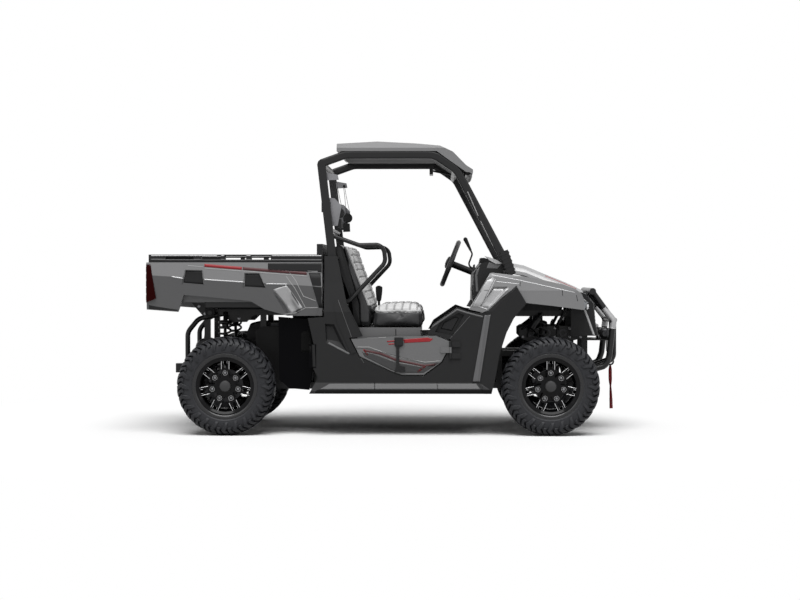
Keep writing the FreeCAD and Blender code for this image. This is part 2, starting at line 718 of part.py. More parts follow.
def tyre(x, centre_y, width):
    """Flat-sided carcass with tread blocks set alternately left and right."""
    half = width / 2
    to_corner = 1 / math.cos(math.pi / TYRE_SIDES)
    bead_half = half - RIM_FLANGE * 2 - BEAD_CLEARANCE
    profile = [((RIM_RADIUS + RIM_FLANGE + BEAD_CLEARANCE) * to_corner, bead_half)]
    profile += [(radius * TYRE_RADIUS, y * half) for radius, y in TYRE_SHARES]
    profile.append((TYRE_RADIUS - TREAD_DEPTH, CROWN_Y_SHARE * half))
    rings = [flat_ring(radius, -y) for radius, y in profile]
    rings += [flat_ring(radius, y) for radius, y in reversed(profile)]
    carcass = Part.makeLoft(rings, True, True)
    lugs = [turned(lug(1 - 2 * (k % 2), half), k, TYRE_SIDES) for k in range(TYRE_SIDES)]
    bore_ring = flat_ring((RIM_RADIUS + BEAD_CLEARANCE) * to_corner, -width)
    bore = Part.Face(bore_ring).extrude(vec(0, 2 * width, 0))
    return fuse([carcass] + lugs).cut(bore).translate(vec(x, centre_y, AXLE_Z))


def ring_profile(points):
    """Revolves (radius, y) points round the axle through the origin."""
    face = face_of([vec(radius, y, 0) for radius, y in points])
    return face.revolve(vec(0, 0, 0), vec(0, 1, 0), 360)


def rim_barrel(half):
    """Rim with its flanges, wells and the lips outside them. The outer lip is coned inside."""
    inner = RIM_RADIUS - RIM_WALL
    lip = RIM_RADIUS + RIM_FLANGE
    well = inner - RIM_FLANGE
    return ring_profile([
        (inner, -half - RIM_LIP), (lip, -half - RIM_LIP), (lip, -half - BEAD_CLEARANCE),
        (RIM_RADIUS, -half), (RIM_RADIUS, half), (lip, half + BEAD_CLEARANCE), (lip, half + RIM_LIP),
        (lip - RIM_WALL, half + RIM_LIP),
        (inner, half), (inner, half / 2), (well, half / 3), (well, -half / 2), (inner, -half / 1.5),
    ])


def spoke_gap(inner, outer, y_range):
    """Cutter for the opening between two pairs of spokes, its sides parallel to the pairs."""
    half_turn = math.pi / SPOKE_PAIRS
    offset = (SPOKE_SPREAD + SPOKE_WIDTH) / 2
    corners = []
    for reach in (inner, outer):
        run = math.sqrt(reach ** 2 - offset ** 2)
        aside = run * math.sin(half_turn) - offset * math.cos(half_turn)
        corners.append((aside, run * math.cos(half_turn) + offset * math.sin(half_turn)))
    (low_x, low_z), (high_x, high_z) = corners
    outline = [(-low_x, low_z), (low_x, low_z), (high_x, high_z), (0, outer), (-high_x, high_z)]
    return prism_y(outline, y_range[0], y_range[1])


def spoke_plate(face_y, edge):
    """Wheel face: a plate cut into pairs of spokes, with a pocket and a nut at each pair's foot."""
    deep = (face_y - SPOKE_DEPTH - OVERRUN, face_y + OVERRUN)
    outer = edge - RIM_WALL * 2 / 3
    plate = rod(vec(0, face_y - SPOKE_DEPTH, 0), vec(0, face_y, 0), edge)
    slot_x = band(0, SPOKE_SPREAD - SPOKE_WIDTH)
    slot_z = (SPOKE_TIE_RADIUS + SPOKE_WIDTH / 2, outer)
    pocket_y = (face_y - SPOKE_DEPTH * 2 / 3, face_y + OVERRUN)
    pocket_z = (HUB_RADIUS + RIM_WALL / 2, SPOKE_TIE_RADIUS - SPOKE_WIDTH / 2)
    nut_z = (pocket_z[0] + pocket_z[1]) / 2
    nut_foot = vec(0, pocket_y[0] - NUT_RADIUS / 2, nut_z)
    nut = Part.makeCylinder(NUT_RADIUS, NUT_RADIUS * 2, nut_foot, vec(0, 1, 0))
    cutters = []
    nuts = []
    for k in range(SPOKE_PAIRS):
        cutters.append(turned(spoke_gap(HUB_RADIUS, outer, deep), k + 0.5, SPOKE_PAIRS))
        cutters.append(turned(block(slot_x, deep, slot_z), k, SPOKE_PAIRS))
        cutters.append(turned(block(band(0, NUT_POCKET_WIDTH), pocket_y, pocket_z), k, SPOKE_PAIRS))
        nuts.append(turned(nut.copy(), k, SPOKE_PAIRS))
    return plate.cut(cutters), nuts


def wheel(x, centre_y, width):
    """Left-hand rim with its spokes, hub, cap and brake disc, and the place of the disc's inner face."""
    half = width / 2 - RIM_FLANGE * 2 - BEAD_CLEARANCE
    face_y = half + RIM_LIP - HUB_SETBACK
    plate, nuts = spoke_plate(face_y, RIM_RADIUS - RIM_WALL / 2)
    hub = Part.makeCylinder(HUB_RADIUS, HUB_DEPTH, vec(0, face_y - HUB_DEPTH, 0), vec(0, 1, 0))
    cap = Part.makeCylinder(HUB_CAP_RADIUS, HUB_CAP_DEPTH, vec(0, face_y, 0), vec(0, 1, 0))
    neck_y = -half / 3
    neck = Part.makeCylinder(HUB_RADIUS / 1.4, face_y - neck_y, vec(0, neck_y, 0), vec(0, 1, 0))
    disc = Part.makeCylinder(DISC_RADIUS, DISC_THICKNESS, vec(0, neck_y, 0), vec(0, 1, 0))
    bore_depth = SPINDLE_DEPTH + PIN_GAP
    bore = Part.makeCylinder(SPINDLE_RADIUS + RUNNING_CLEARANCE, bore_depth, vec(0, neck_y, 0), vec(0, 1, 0))
    whole = fuse([rim_barrel(half), plate, hub, cap, neck, disc] + nuts).cut(bore)
    return whole.translate(vec(x, centre_y, AXLE_Z)), centre_y + neck_y


def spindle(x, disc_y):
    """The stub that the wheel turns on. It ends inside the hub."""
    foot = vec(x, disc_y - PANEL_GAP, AXLE_Z)
    return Part.makeCylinder(SPINDLE_RADIUS, SPINDLE_DEPTH + PANEL_GAP, foot, vec(0, 1, 0))


def rail(x_range, y, z_range):
    """A square tube's run along the vehicle, or an upright of it."""
    return block(x_range, band(y, FRAME_TUBE), z_range)


def frame_side(side):
    """Rails and uprights of one side, with the cage post."""
    t = FRAME_TUBE
    bottom = FRAME_BOTTOM
    sub_top, nose_top = up(SUBFRAME_TOP_SHARE), up(NOSE_FRAME_TOP_SHARE)
    arm_range = band(AXLE_Z + UPPER_ARM_RISE, t)
    x_back, x_front = along(FRAME_BACK_SHARE), along(FRAME_FRONT_SHARE)
    x_nose = along(NOSE_POST_SHARES[0])
    y_rear, y_front, y_post = side * FRAME_Y, side * FRONT_FRAME_Y, side * POST_Y
    pieces = [
        rail((x_back, along(FRAME_STEP_SHARE)), y_rear, (bottom, bottom + t)),
        rail((x_back, along(FRAME_TOP_END_SHARE)), y_rear, (sub_top - t, sub_top)),
        rail((x_back, along(FRAME_ARM_END_SHARE)), y_rear, arm_range),
        rail((along(NOSE_RAIL_SHARE), x_front), y_front, (bottom, bottom + t)),
        rail((x_nose, x_front), y_front, (nose_top - t, nose_top)),
        rail((x_nose, x_front), y_front, arm_range),
        block(band(along(POST_SHARE), POST_SIZE), band(y_post, POST_SIZE), (bottom, up(POST_TOP_SHARE))),
    ]
    for x in rear_post_places():
        pieces.append(rail((x, x + t), y_rear, (bottom, sub_top)))
    for x in nose_post_places():
        pieces.append(rail((x, x + t), y_front, (bottom, nose_top)))
    return pieces


def rear_post_places():
    return [along(FRAME_BACK_SHARE)] + [along(share) for share in FRAME_POST_SHARES]


def nose_post_places():
    return [along(share) for share in NOSE_POST_SHARES] + [along(FRAME_FRONT_SHARE) - FRAME_TUBE]


def frame_node():
    """Ladder of square tubes with a skid plate, both subframes, the cage posts and the bed's pivot tube."""
    t = FRAME_TUBE
    low_z = FRAME_BOTTOM + t / 2
    x_back, x_step, x_front = along(FRAME_BACK_SHARE), along(FRAME_STEP_SHARE), along(FRAME_FRONT_SHARE)
    pieces = frame_side(1) + frame_side(-1)
    for x in [along(share) for share in FRAME_CROSS_SHARES] + [x_step - t / 2]:
        pieces.append(beam_y(x, low_z, FRAME_Y))
    for share in (POST_SHARE, OUTRIGGER_SHARE):
        pieces.append(beam_y(along(share), low_z, POST_Y))
    for x in rear_post_places():
        for z in (low_z, up(SUBFRAME_TOP_SHARE) - t / 2):
            pieces.append(beam_y(x + t / 2, z, FRAME_Y))
    for x in nose_post_places():
        for z in (low_z, up(NOSE_FRAME_TOP_SHARE) - t / 2):
            pieces.append(beam_y(x + t / 2, z, FRONT_FRAME_Y))
    pieces.append(beam_y(x_back + t / 2, up(RECEIVER_SHARE[1]), FRAME_Y))
    skid = (FRAME_BOTTOM - SKID_THICKNESS, FRAME_BOTTOM)
    pieces.append(block((x_back, x_step), (-FRAME_Y, FRAME_Y), skid))
    pieces.append(block((x_step, x_front), (-FRONT_FRAME_Y, FRONT_FRAME_Y), skid))
    pivot_x, pivot_z = along(BED_PIVOT_SHARE[0]), up(BED_PIVOT_SHARE[1])
    pieces.append(rod_y(pivot_x, pivot_z, PIVOT_TUBE_HALF_LENGTH, PIVOT_TUBE_RADIUS))
    return fuse(pieces)


def powertrain_nodes():
    """Engine with its transaxle as one plain body, and the front differential."""
    spans = zip(ENGINE_SHARES, ENGINE_TOP_SHARES, (ENGINE_HALF_WIDTH, DIFF_HALF_WIDTH))
    blocks = []
    for (rear, front), top, half in spans:
        blocks.append(block((along(rear), along(front)), (-half, half), (FRAME_BOTTOM, up(top))))
    diff_top = AXLE_Z + SHAFT_RISE + BOOT_LENGTH
    diff_y = (-DIFF_HALF_WIDTH, DIFF_HALF_WIDTH)
    diff = block(band(X_FRONT_AXLE, 2 * DIFF_HALF_LENGTH), diff_y, (FRAME_BOTTOM, diff_top))
    return fuse(blocks), diff


def radiator():
    """Radiator between the front subframe rails."""
    x = along(RADIATOR_SHARE)
    half = FRONT_FRAME_Y - FRAME_TUBE / 2
    z_range = (FRAME_BOTTOM + FRAME_TUBE, up(NOSE_FRAME_TOP_SHARE))
    return block((x - RADIATOR_DEPTH, x), (-half, half), z_range)


def half_shaft(x, y_outer):
    """Shaft from the differential down to the hub, with a boot at each end."""
    start = vec(x, DIFF_HALF_WIDTH - SHAFT_RADIUS / 2, AXLE_Z + SHAFT_RISE)
    end = vec(x, y_outer, AXLE_Z)
    axis = (end - start).normalize()
    boots = [
        Part.makeCone(BOOT_RADIUS, SHAFT_RADIUS, BOOT_LENGTH, start, axis),
        Part.makeCone(BOOT_RADIUS, SHAFT_RADIUS, BOOT_LENGTH, end, axis * -1),
    ]
    return fuse([rod(start, end, SHAFT_RADIUS)] + boots)


def suspension_nodes(frame):
    """Arms, shocks and half shafts of both axles. All belong to the body, and none of them has a joint."""
    front = arms(X_FRONT_AXLE, FRONT_FRAME_Y + FRAME_TUBE / 2, KINGPIN_Y)
    rear = arms(X_REAR_AXLE, FRAME_Y + FRAME_TUBE / 2, REAR_BALL_Y)
    front_shock = shock(X_FRONT_AXLE, FRONT_FRAME_Y, KINGPIN_Y, up(NOSE_FRAME_TOP_SHARE))
    rear_shock = shock(X_REAR_AXLE, FRAME_Y, REAR_BALL_Y, up(SUBFRAME_TOP_SHARE))
    front_arms = [arm.cut(frame) for arm in front]
    rear_arms = [arm.cut(frame) for arm in rear]
    shocks = [front_shock.cut([frame] + front), rear_shock.cut([frame] + rear)]
    shafts = [
        half_shaft(X_FRONT_AXLE, KINGPIN_Y - KNUCKLE_DEPTH / 2 - KNUCKLE_SWING),
        half_shaft(X_REAR_AXLE, REAR_BALL_Y - KNUCKLE_DEPTH / 2),
    ]
    return front_arms, rear_arms, shocks, shafts


def wishbone(x_axle, frame_y, ball_y, z_frame, z_ball):
    """One A-arm: two legs from the frame to the ball joint, and a brace that carries the shock."""
    ball = vec(x_axle, ball_y, z_ball)
    roots = [vec(x_axle + side * ARM_SPREAD, frame_y - ARM_RADIUS, z_frame) for side in (-1, 1)]
    legs = [rod(root, ball, ARM_RADIUS) for root in roots]
    brace_ends = [root + (ball - root) * SHOCK_FOOT_SHARE for root in roots]
    brace = rod(brace_ends[0], brace_ends[1], ARM_RADIUS)
    socket_foot = vec(x_axle, ball_y, z_ball - BALL_JOINT_HEIGHT / 2)
    socket = Part.makeCylinder(BALL_JOINT_RADIUS, BALL_JOINT_HEIGHT, socket_foot, vec(0, 0, 1))
    return legs, brace, socket


def arms(x_axle, frame_y, ball_y):
    """Lower and upper wishbones of the left side, with eyes for the upright's pins."""
    z_low = AXLE_Z - LOWER_BALL_DROP - BALL_JOINT_HEIGHT / 2 - PIN_GAP
    z_high = AXLE_Z + UPPER_BALL_RISE + BALL_JOINT_HEIGHT / 2 + PIN_GAP
    legs, brace, socket = wishbone(x_axle, frame_y, ball_y, FRAME_BOTTOM + FRAME_TUBE / 2, z_low)
    lower = fuse(legs + [brace, socket])
    legs, brace, socket = wishbone(x_axle, frame_y, ball_y, AXLE_Z + UPPER_ARM_RISE, z_high)
    upper = fuse(legs + [socket])
    low_end = vec(x_axle, ball_y, z_low + BALL_JOINT_HEIGHT / 2)
    high_end = vec(x_axle, ball_y, z_high - BALL_JOINT_HEIGHT / 2)
    keep_out = rod(low_end, high_end, KNUCKLE_DEPTH)
    pin_radius = KNUCKLE_PIN_RADIUS + RUNNING_CLEARANCE
    pin_hole = rod(vec(x_axle, ball_y, z_low), vec(x_axle, ball_y, z_high), pin_radius)
    return [lower.cut([keep_out, pin_hole]), upper.cut([keep_out, pin_hole])]


def shock(x, frame_y, ball_y, z_top):
    """Damper with its spring, standing on the lower arm's brace and leaning on the frame's top rail."""
    y_root = frame_y + FRAME_TUBE / 2
    z_root = FRAME_BOTTOM + FRAME_TUBE / 2
    root = vec(x - SHOCK_OFFSET, y_root, z_root)
    ball = vec(x - SHOCK_OFFSET, ball_y, AXLE_Z - LOWER_BALL_DROP - BALL_JOINT_HEIGHT / 2)
    foot = root + (ball - root) * SHOCK_FOOT_SHARE
    head = vec(x - SHOCK_OFFSET, y_root, z_top - FRAME_TUBE / 2)
    run = head - foot
    spring_start = foot + run * SPRING_START_SHARE
    spring = rod(spring_start, spring_start + run * SPRING_SHARE, SPRING_RADIUS)
    return fuse([rod(foot, head, SHOCK_RADIUS), spring])


def knuckle(disc_y):
    """Left front knuckle: an upright on the kingpin axis, with arm pins, a spindle and a steering arm."""
    z_low = AXLE_Z - LOWER_BALL_DROP
    z_high = AXLE_Z + UPPER_BALL_RISE
    half = KNUCKLE_DEPTH / 2
    upright = block(band(X_FRONT_AXLE, KNUCKLE_DEPTH), band(KINGPIN_Y, KNUCKLE_DEPTH), (z_low, z_high))
    boss_foot = vec(X_FRONT_AXLE, KINGPIN_Y, AXLE_Z)
    boss = rod(boss_foot, vec(X_FRONT_AXLE, disc_y - PANEL_GAP, AXLE_Z), SPINDLE_BOSS_RADIUS)
    pin_low = vec(X_FRONT_AXLE, KINGPIN_Y, z_low - KNUCKLE_PIN_LENGTH)
    pin_high = vec(X_FRONT_AXLE, KINGPIN_Y, z_high + KNUCKLE_PIN_LENGTH)
    pin = rod(pin_low, pin_high, KNUCKLE_PIN_RADIUS)
    arm_y = (KINGPIN_Y - half, KINGPIN_Y - half / 2)
    steer_arm = block((X_FRONT_AXLE - STEER_ARM_REACH, X_FRONT_AXLE), arm_y, (AXLE_Z - half, AXLE_Z))
    return fuse([upright, boss, pin, spindle(X_FRONT_AXLE, disc_y), steer_arm])


def rear_upright(disc_y):
    """Left rear hub carrier between the wishbones, with its spindle."""
    z_range = (AXLE_Z - LOWER_BALL_DROP - PIN_GAP, AXLE_Z + UPPER_BALL_RISE + PIN_GAP)
    body = block(band(X_REAR_AXLE, KNUCKLE_DEPTH), band(REAR_BALL_Y, KNUCKLE_DEPTH), z_range)
    boss_end = vec(X_REAR_AXLE, disc_y - PANEL_GAP, AXLE_Z)
    boss = rod(vec(X_REAR_AXLE, REAR_BALL_Y, AXLE_Z), boss_end, SPINDLE_BOSS_RADIUS)
    return fuse([body, boss, spindle(X_REAR_AXLE, disc_y)])


def section_band(shares, wall, x_range, proud=0):
    """A leaning wall that follows (y, z) shares on its outside, moved out by proud."""
    outer = [(across(y) + proud, up(z)) for y, z in shares]
    inner = [(y - wall, z) for y, z in reversed(outer)]
    return prism_x(outer + inner, x_range[0], x_range[1])


def side_cutter(shares):
    """A side outline as a cutter through the whole left flank."""
    return prism_y(side_points(shares), across(SIDE_INNER_Y_SHARE), HALF_WIDTH)


def grown_door():
    """The left door's outline with its gap all round, as a cutter through the side panel."""
    y_low = across(SIDE_INNER_Y_SHARE)
    face = face_of([vec(x, y_low, z) for x, z in side_points(DOOR_SHARES)])
    return face.makeOffset2D(DOOR_GAP, 2).extrude(vec(0, HALF_WIDTH - y_low, 0))


def side_panel():
    """Left quarter, rocker and cowl side in one leaning wall, with its ridges and the flare ahead of it."""
    x_range = (along(PANEL_REAR_SHARE), X_FRONT_AXLE)
    outline = side_cutter(SIDE_PANEL_SHARES)
    pieces = [outline.common(section_band(SIDE_SECTION_SHARES, SIDE_WALL, x_range))]
    raised = section_band(SIDE_SECTION_SHARES, SIDE_WALL, x_range, RIDGE_PROUD)
    for shares in (RIDGE_SHARES, STRIP_SHARES):
        pieces.append(outline.common(side_cutter(shares)).common(raised))
    flare_base, flare_face = side_points(FLARE_BASE_SHARES), side_points(FLARE_FACE_SHARES)
    pieces.append(loft_y(flare_base, across(FLARE_BASE_Y_SHARE), flare_face, across(FLARE_FACE_Y_SHARE)))
    face_y = across(SIDE_FACE_SHARE)
    scoop = loft_y(side_points(SCOOP_SHARES), face_y, side_points(SCOOP_FLOOR_SHARES), face_y - POCKET_DEPTH)
    return fuse(pieces).cut([scoop, side_cutter(KICK_WINDOW_SHARES), grown_door()])


def hinge_leaf(x, reach, z_range):
    """Strap from the barrel along the panel's face, ahead of it for positive reach, footed in the panel."""
    y_face = across(HINGE_FACE_SHARE)
    end = x + reach
    foot = end - reach / 3
    y_top = y_face + HINGE_STANDOFF
    strap = block((min(x, end), max(x, end)), (y_face + HINGE_PLATE / 2, y_top), z_range)
    pad = block((min(foot, end), max(foot, end)), (y_face - HINGE_PLATE, y_top), z_range)
    return strap.fuse(pad)


def hinge_barrel(x, y, z_range, radius):
    return rod(vec(x, y, z_range[0]), vec(x, y, z_range[1]), radius)


def door_hinge():
    """The left hinge's two halves and its pin's cutter: outer barrels for the panel, a middle one."""
    x = along(DOOR_HINGE_SHARE)
    y = across(HINGE_FACE_SHARE) + HINGE_STANDOFF
    low, high = up(HINGE_LOW_SHARE), up(HINGE_HIGH_SHARE)
    step = (high - low) / 3
    on_panel = [hinge_barrel(x, y, (low, high), HINGE_PIN_RADIUS)]
    for z_range in ((low, low + step - PIN_GAP), (high - step + PIN_GAP, high)):
        on_panel += [hinge_barrel(x, y, z_range, HINGE_RADIUS), hinge_leaf(x, HINGE_REACH, z_range)]
    middle = (low + step, high - step)
    on_door = [hinge_barrel(x, y, middle, HINGE_RADIUS), hinge_leaf(x, -HINGE_REACH, middle)]
    hole = hinge_barrel(x, y, (low, high), HINGE_PIN_RADIUS + RUNNING_CLEARANCE)
    return on_panel, on_door, hole


def door():
    """Left half door, in the plane of the side panel, with its lower part set in."""
    x_range = (along(POST_SHARE), along(FRAME_STEP_SHARE))
    wall = side_cutter(DOOR_SHARES).common(section_band(SIDE_SECTION_SHARES, SIDE_WALL, x_range))
    layer = section_band(SIDE_SECTION_SHARES, DOOR_STEP + RIDGE_PROUD, x_range, RIDGE_PROUD)
    lower = side_cutter(DOOR_LOWER_SHARES).common(layer)
    panel_half, door_half, hole = door_hinge()
    return fuse([wall.cut(lower)] + door_half).cut(hole)


def door_latch(door_shape):
    """Narrow-waisted latch cover with its pull handle, on the door's face."""
    face_y = across(SIDE_FACE_SHARE) - HINGE_PLATE
    cover_y = face_y + LATCH_PROUD
    cover = prism_y(side_points(LATCH_SHARES), face_y - DOOR_STEP, cover_y)
    grip = prism_y(side_points(LATCH_GRIP_SHARES), cover_y, cover_y + LATCH_GRIP_PROUD)
    return fuse([cover, grip]).cut(door_shape)


def floor_tub():
    """Floor on the frame, a sloping toe board up to the firewall, and the wall behind the seats."""
    floor_z = FRAME_BOTTOM + FRAME_TUBE
    t = FLOOR_THICKNESS
    x_rear, x_toe, x_wall = along(FLOOR_REAR_SHARE), along(TOE_SHARE), along(FIREWALL_SHARE)
    toe_top, wall_top = up(TOE_TOP_SHARE), up(FIREWALL_TOP_SHARE)
    outline = [
        (x_rear, floor_z), (x_toe, floor_z), (x_wall, toe_top), (x_wall, wall_top),
        (x_wall - t, wall_top), (x_wall - t, toe_top + t / 2),
        (x_toe - t / 2, floor_z + t), (x_rear, floor_z + t),
    ]
    floor = prism_y(outline, -FLOOR_HALF_WIDTH, FLOOR_HALF_WIDTH)
    wall_y = (-BULKHEAD_HALF_WIDTH, BULKHEAD_HALF_WIDTH)
    rear_wall = block((x_rear, x_rear + BULKHEAD_THICKNESS), wall_y, (floor_z + t, up(BULKHEAD_TOP_SHARE)))
    return fuse([floor, rear_wall])


def gear_lever():
    """Bent rod with a tapered knob."""
    route = [vec(x, LEVER_OFFSET, z) for x, z in side_points(LEVER_SHARES)]
    foot = route[-1]
    top = vec(along(KNOB_SHARE[0]), LEVER_OFFSET, up(KNOB_SHARE[1]))
    knob = Part.makeCone(KNOB_FOOT_RADIUS, KNOB_RADIUS, (top - foot).Length, foot, top - foot)
    return [pipe(route, LEVER_RADIUS, LEVER_BEND), knob, Part.makeSphere(KNOB_RADIUS, top)]


def hood_lugs():
    """Lugs on the cowl with the hood's hinge pins."""
    x, z = hood_axis()
    r = HOOD_HINGE_DROP / 2
    x_root = along(DASH_ROOM_SHARES[1][0]) - HOOD_LUG_WIDTH
    pieces = []
    for y in (-HOOD_HINGE_Y, HOOD_HINGE_Y):
        width = band(y, HOOD_LUG_WIDTH)
        pieces.append(block((x_root, x), width, (z - r, z + r)))
        pieces.append(rod(vec(x, width[0], z), vec(x, width[1], z), r))
        pieces.append(rod(vec(x, y - HOOD_LUG_WIDTH, z), vec(x, y + HOOD_LUG_WIDTH, z), HOOD_PIN_RADIUS))
    return pieces


def dash():
    """Dashboard with its cowl and binnacle, the steering column, the gear lever and the hood's lugs."""
    body = prism_y(side_points(DASH_SHARES), -DASH_HALF_WIDTH, DASH_HALF_WIDTH)
    sides = band(DRIVER_Y, 2 * BINNACLE_HALF_WIDTH)
    binnacle = prism_y(side_points(BINNACLE_SHARES), sides[0], sides[1])
    hub, axis = steering_axis()
    column_start = hub + axis * (STEERING_HUB_DEPTH / 2 + RUNNING_CLEARANCE)
    column = rod(column_start, column_start + axis * COLUMN_LENGTH, COLUMN_RADIUS)
    stub = rod(hub, column_start + axis * STEERING_HUB_DEPTH, STEERING_STUB_RADIUS)
    return fuse([body, binnacle, column, stub] + gear_lever() + hood_lugs())


def dash_room():
    """Room for the dashboard behind the fenders."""
    (x_low, x_high), (z_low, z_high) = zip(*side_points(DASH_ROOM_SHARES))
    return block((x_low, x_high), (0, DASH_HALF_WIDTH + PANEL_GAP / 2), (z_low, z_high))


def steering_axis():
    """Centre of the steering wheel, and the direction down the column."""
    hub = vec(along(STEERING_WHEEL_SHARE[0]), DRIVER_Y, up(STEERING_WHEEL_SHARE[1]))
    tilt = math.radians(COLUMN_TILT_DEG)
    return hub, vec(math.cos(tilt), 0, -math.sin(tilt))


def steering_wheel():
    """Rim, hub and three spokes, square to the column."""
    hub, axis = steering_axis()
    half_hub = axis * (STEERING_HUB_DEPTH / 2)
    ring = Part.makeTorus(STEERING_WHEEL_RADIUS, STEERING_GRIP_RADIUS, hub, axis)
    pieces = [ring, rod(hub - half_hub, hub + half_hub, STEERING_HUB_RADIUS)]
    for angle in (0, 180, -90):
        depth, width = band(0, STEERING_SPOKE_DEPTH), band(0, STEERING_SPOKE_WIDTH)
        spoke = block(depth, (0, STEERING_WHEEL_RADIUS), width)
        spoke.rotate(vec(0, 0, 0), vec(1, 0, 0), angle)
        spoke.rotate(vec(0, 0, 0), vec(0, 1, 0), COLUMN_TILT_DEG)
        pieces.append(spoke.translate(hub))
    bore_radius = STEERING_STUB_RADIUS + RUNNING_CLEARANCE
    return fuse(pieces).cut(rod(hub - axis * PIN_GAP, hub + axis * STEERING_HUB_DEPTH, bore_radius))


def seat_base():
    """Box under the bench: front, ends and lid, open underneath and behind."""
    w = SEAT_BASE_WALL
    floor_z = FRAME_BOTTOM + FRAME_TUBE + FLOOR_THICKNESS
    x_rear, x_front = [along(share) for share in SEAT_BASE_SHARES]
    half = SEAT_HALF_WIDTH - SEAT_BASE_INSET
    top = up(SEAT_BASE_TOP_SHARE)
    outer = block((x_rear, x_front), (-half, half), (floor_z, top))
    return outer.cut(block((x_rear - w, x_front - w), (w - half, half - w), (floor_z - w, top - w)))


def bench_spans():
    """Widths of the long passenger part and the driver's part."""
    half_gap = SEAT_SPLIT_GAP / 2
    return [(-SEAT_HALF_WIDTH, SEAT_SPLIT_Y - half_gap), (SEAT_SPLIT_Y + half_gap, SEAT_HALF_WIDTH)]


def cushion(shares, y_range):
    """One padded block with its long edges rounded."""
    shape = prism_y(side_points(shares), y_range[0], y_range[1])
    edges = [e for e in shape.Edges if abs(e.Vertexes[0].Y - e.Vertexes[-1].Y) < SEAT_SPLIT_GAP]
    return shape.makeFillet(SEAT_EDGE_RADIUS, edges)


def base_plate(x, y):
    """Flange at the foot of a cage pillar, on its post."""
    z = up(POST_TOP_SHARE)
    return block(band(x, BASE_PLATE_SIZE), band(y, BASE_PLATE_SIZE), (z, z + BASE_PLATE_THICKNESS))


def rops_rear():
    """Rear hoop: two pillars, the top tube with its open ends, and a lower brace behind the seats."""
    top, foot = side_points(ARCH_REAR_SHARES)
    pieces = []
    for y in (-CAGE_Y, CAGE_Y):
        pieces.append(straight_bar(top, foot, y, CAGE_WIDTH, CAGE_THICKNESS))
        pieces.append(base_plate(foot[0], y))
    pieces.append(rod_y(top[0], top[1], CAGE_Y + CAGE_THICKNESS / 2, CAGE_CROSS_RADIUS))
    brace_z = up(BRACE_SHARE)
    brace_x = top[0] + (foot[0] - top[0]) * (top[1] - brace_z) / (top[1] - foot[1])
    pieces.append(rod_y(brace_x, brace_z, CAGE_Y, HIP_BAR_RADIUS))
    return fuse(pieces)


def rops_front():
    """Front arch: roof rails running down into the windscreen pillars, cross tubes and the mirror."""
    points = side_points(ARCH_FRONT_SHARES)
    pieces = []
    for y in (-CAGE_Y, CAGE_Y):
        pieces.append(side_pipe(points, y, CAGE_WIDTH, CAGE_THICKNESS, CAGE_CORNER, CAGE_BEND))
    cross_x, cross_z = points[3][0] - CAGE_WIDTH / 3, points[3][1]
    pieces.append(rod_y(cross_x, cross_z, CAGE_Y, VISOR_TUBE_RADIUS))
    mirror_x, mirror_z = along(MIRROR_SHARE[0]), up(MIRROR_SHARE[1])
    pieces.append(rod(vec(cross_x, 0, cross_z), vec(mirror_x, 0, mirror_z), MIRROR_STALK_RADIUS))
    glass_y = (-MIRROR_HALF_WIDTH, MIRROR_HALF_WIDTH)
    pieces.append(block(band(mirror_x, MIRROR_DEPTH), glass_y, band(mirror_z, MIRROR_HEIGHT)))
    return fuse(pieces)


def roof_channels(top):
    """Cutters for two shallow channels along the roof."""
    over = [(x, OVERALL_HEIGHT + OVERRUN) for x, z in reversed(top)]
    floor = [(x, z - ROOF_CHANNEL_DEPTH) for x, z in top]
    x_range = [along(share) for share in ROOF_CHANNEL_SHARES]
    cutters = []
    for side in (-1, 1):
        y_range = band(side * ROOF_CHANNEL_Y_SHARE * ROOF_HALF_WIDTH, ROOF_CHANNEL_WIDTH)
        room = block(x_range, y_range, (0, OVERALL_HEIGHT + OVERRUN))
        cutters.append(prism_y(floor + over, y_range[0], y_range[1]).common(room))
    return cutters


def roof():
    """Moulded roof: a skin with a skirt, chamfered along its sides, channelled on top and open underneath."""
    top = side_points(ROOF_TOP_SHARES)
    under = side_points(ROOF_UNDER_SHARES)
    knee = ROOF_HALF_WIDTH - ROOF_CHAMFER
    shoulder = OVERALL_HEIGHT - ROOF_CHAMFER
    section = [
        (-ROOF_HALF_WIDTH, 0), (-ROOF_HALF_WIDTH, shoulder), (-knee, OVERALL_HEIGHT), (knee, OVERALL_HEIGHT),
        (ROOF_HALF_WIDTH, shoulder), (ROOF_HALF_WIDTH, 0),
    ]
    outer = prism_y(top + under[::-1], -ROOF_HALF_WIDTH, ROOF_HALF_WIDTH)
    outer = outer.common(prism_x(section, top[0][0] - OVERRUN, top[-1][0] + OVERRUN))
    inner_top = [(x, z - ROOF_SKIN) for x, z in top]
    inner_under = [(x, z - OVERRUN) for x, z in under]
    w = ROOF_SKIRT
    inner = prism_y(inner_top + inner_under[::-1], w - knee, knee - w)
    keep = block((top[0][0] + w, top[-2][0]), (-knee, knee), (0, OVERALL_HEIGHT))
    return outer.cut([inner.common(keep)] + roof_channels(top))


def hip_bars():
    """Tube loop beside the bench, from the rear hoop down to the cage post."""
    route = [vec(x, CAGE_Y, z) for x, z in side_points(HIP_BAR_SHARES)]
    return pipe(route, HIP_BAR_RADIUS, HIP_BAR_BEND)


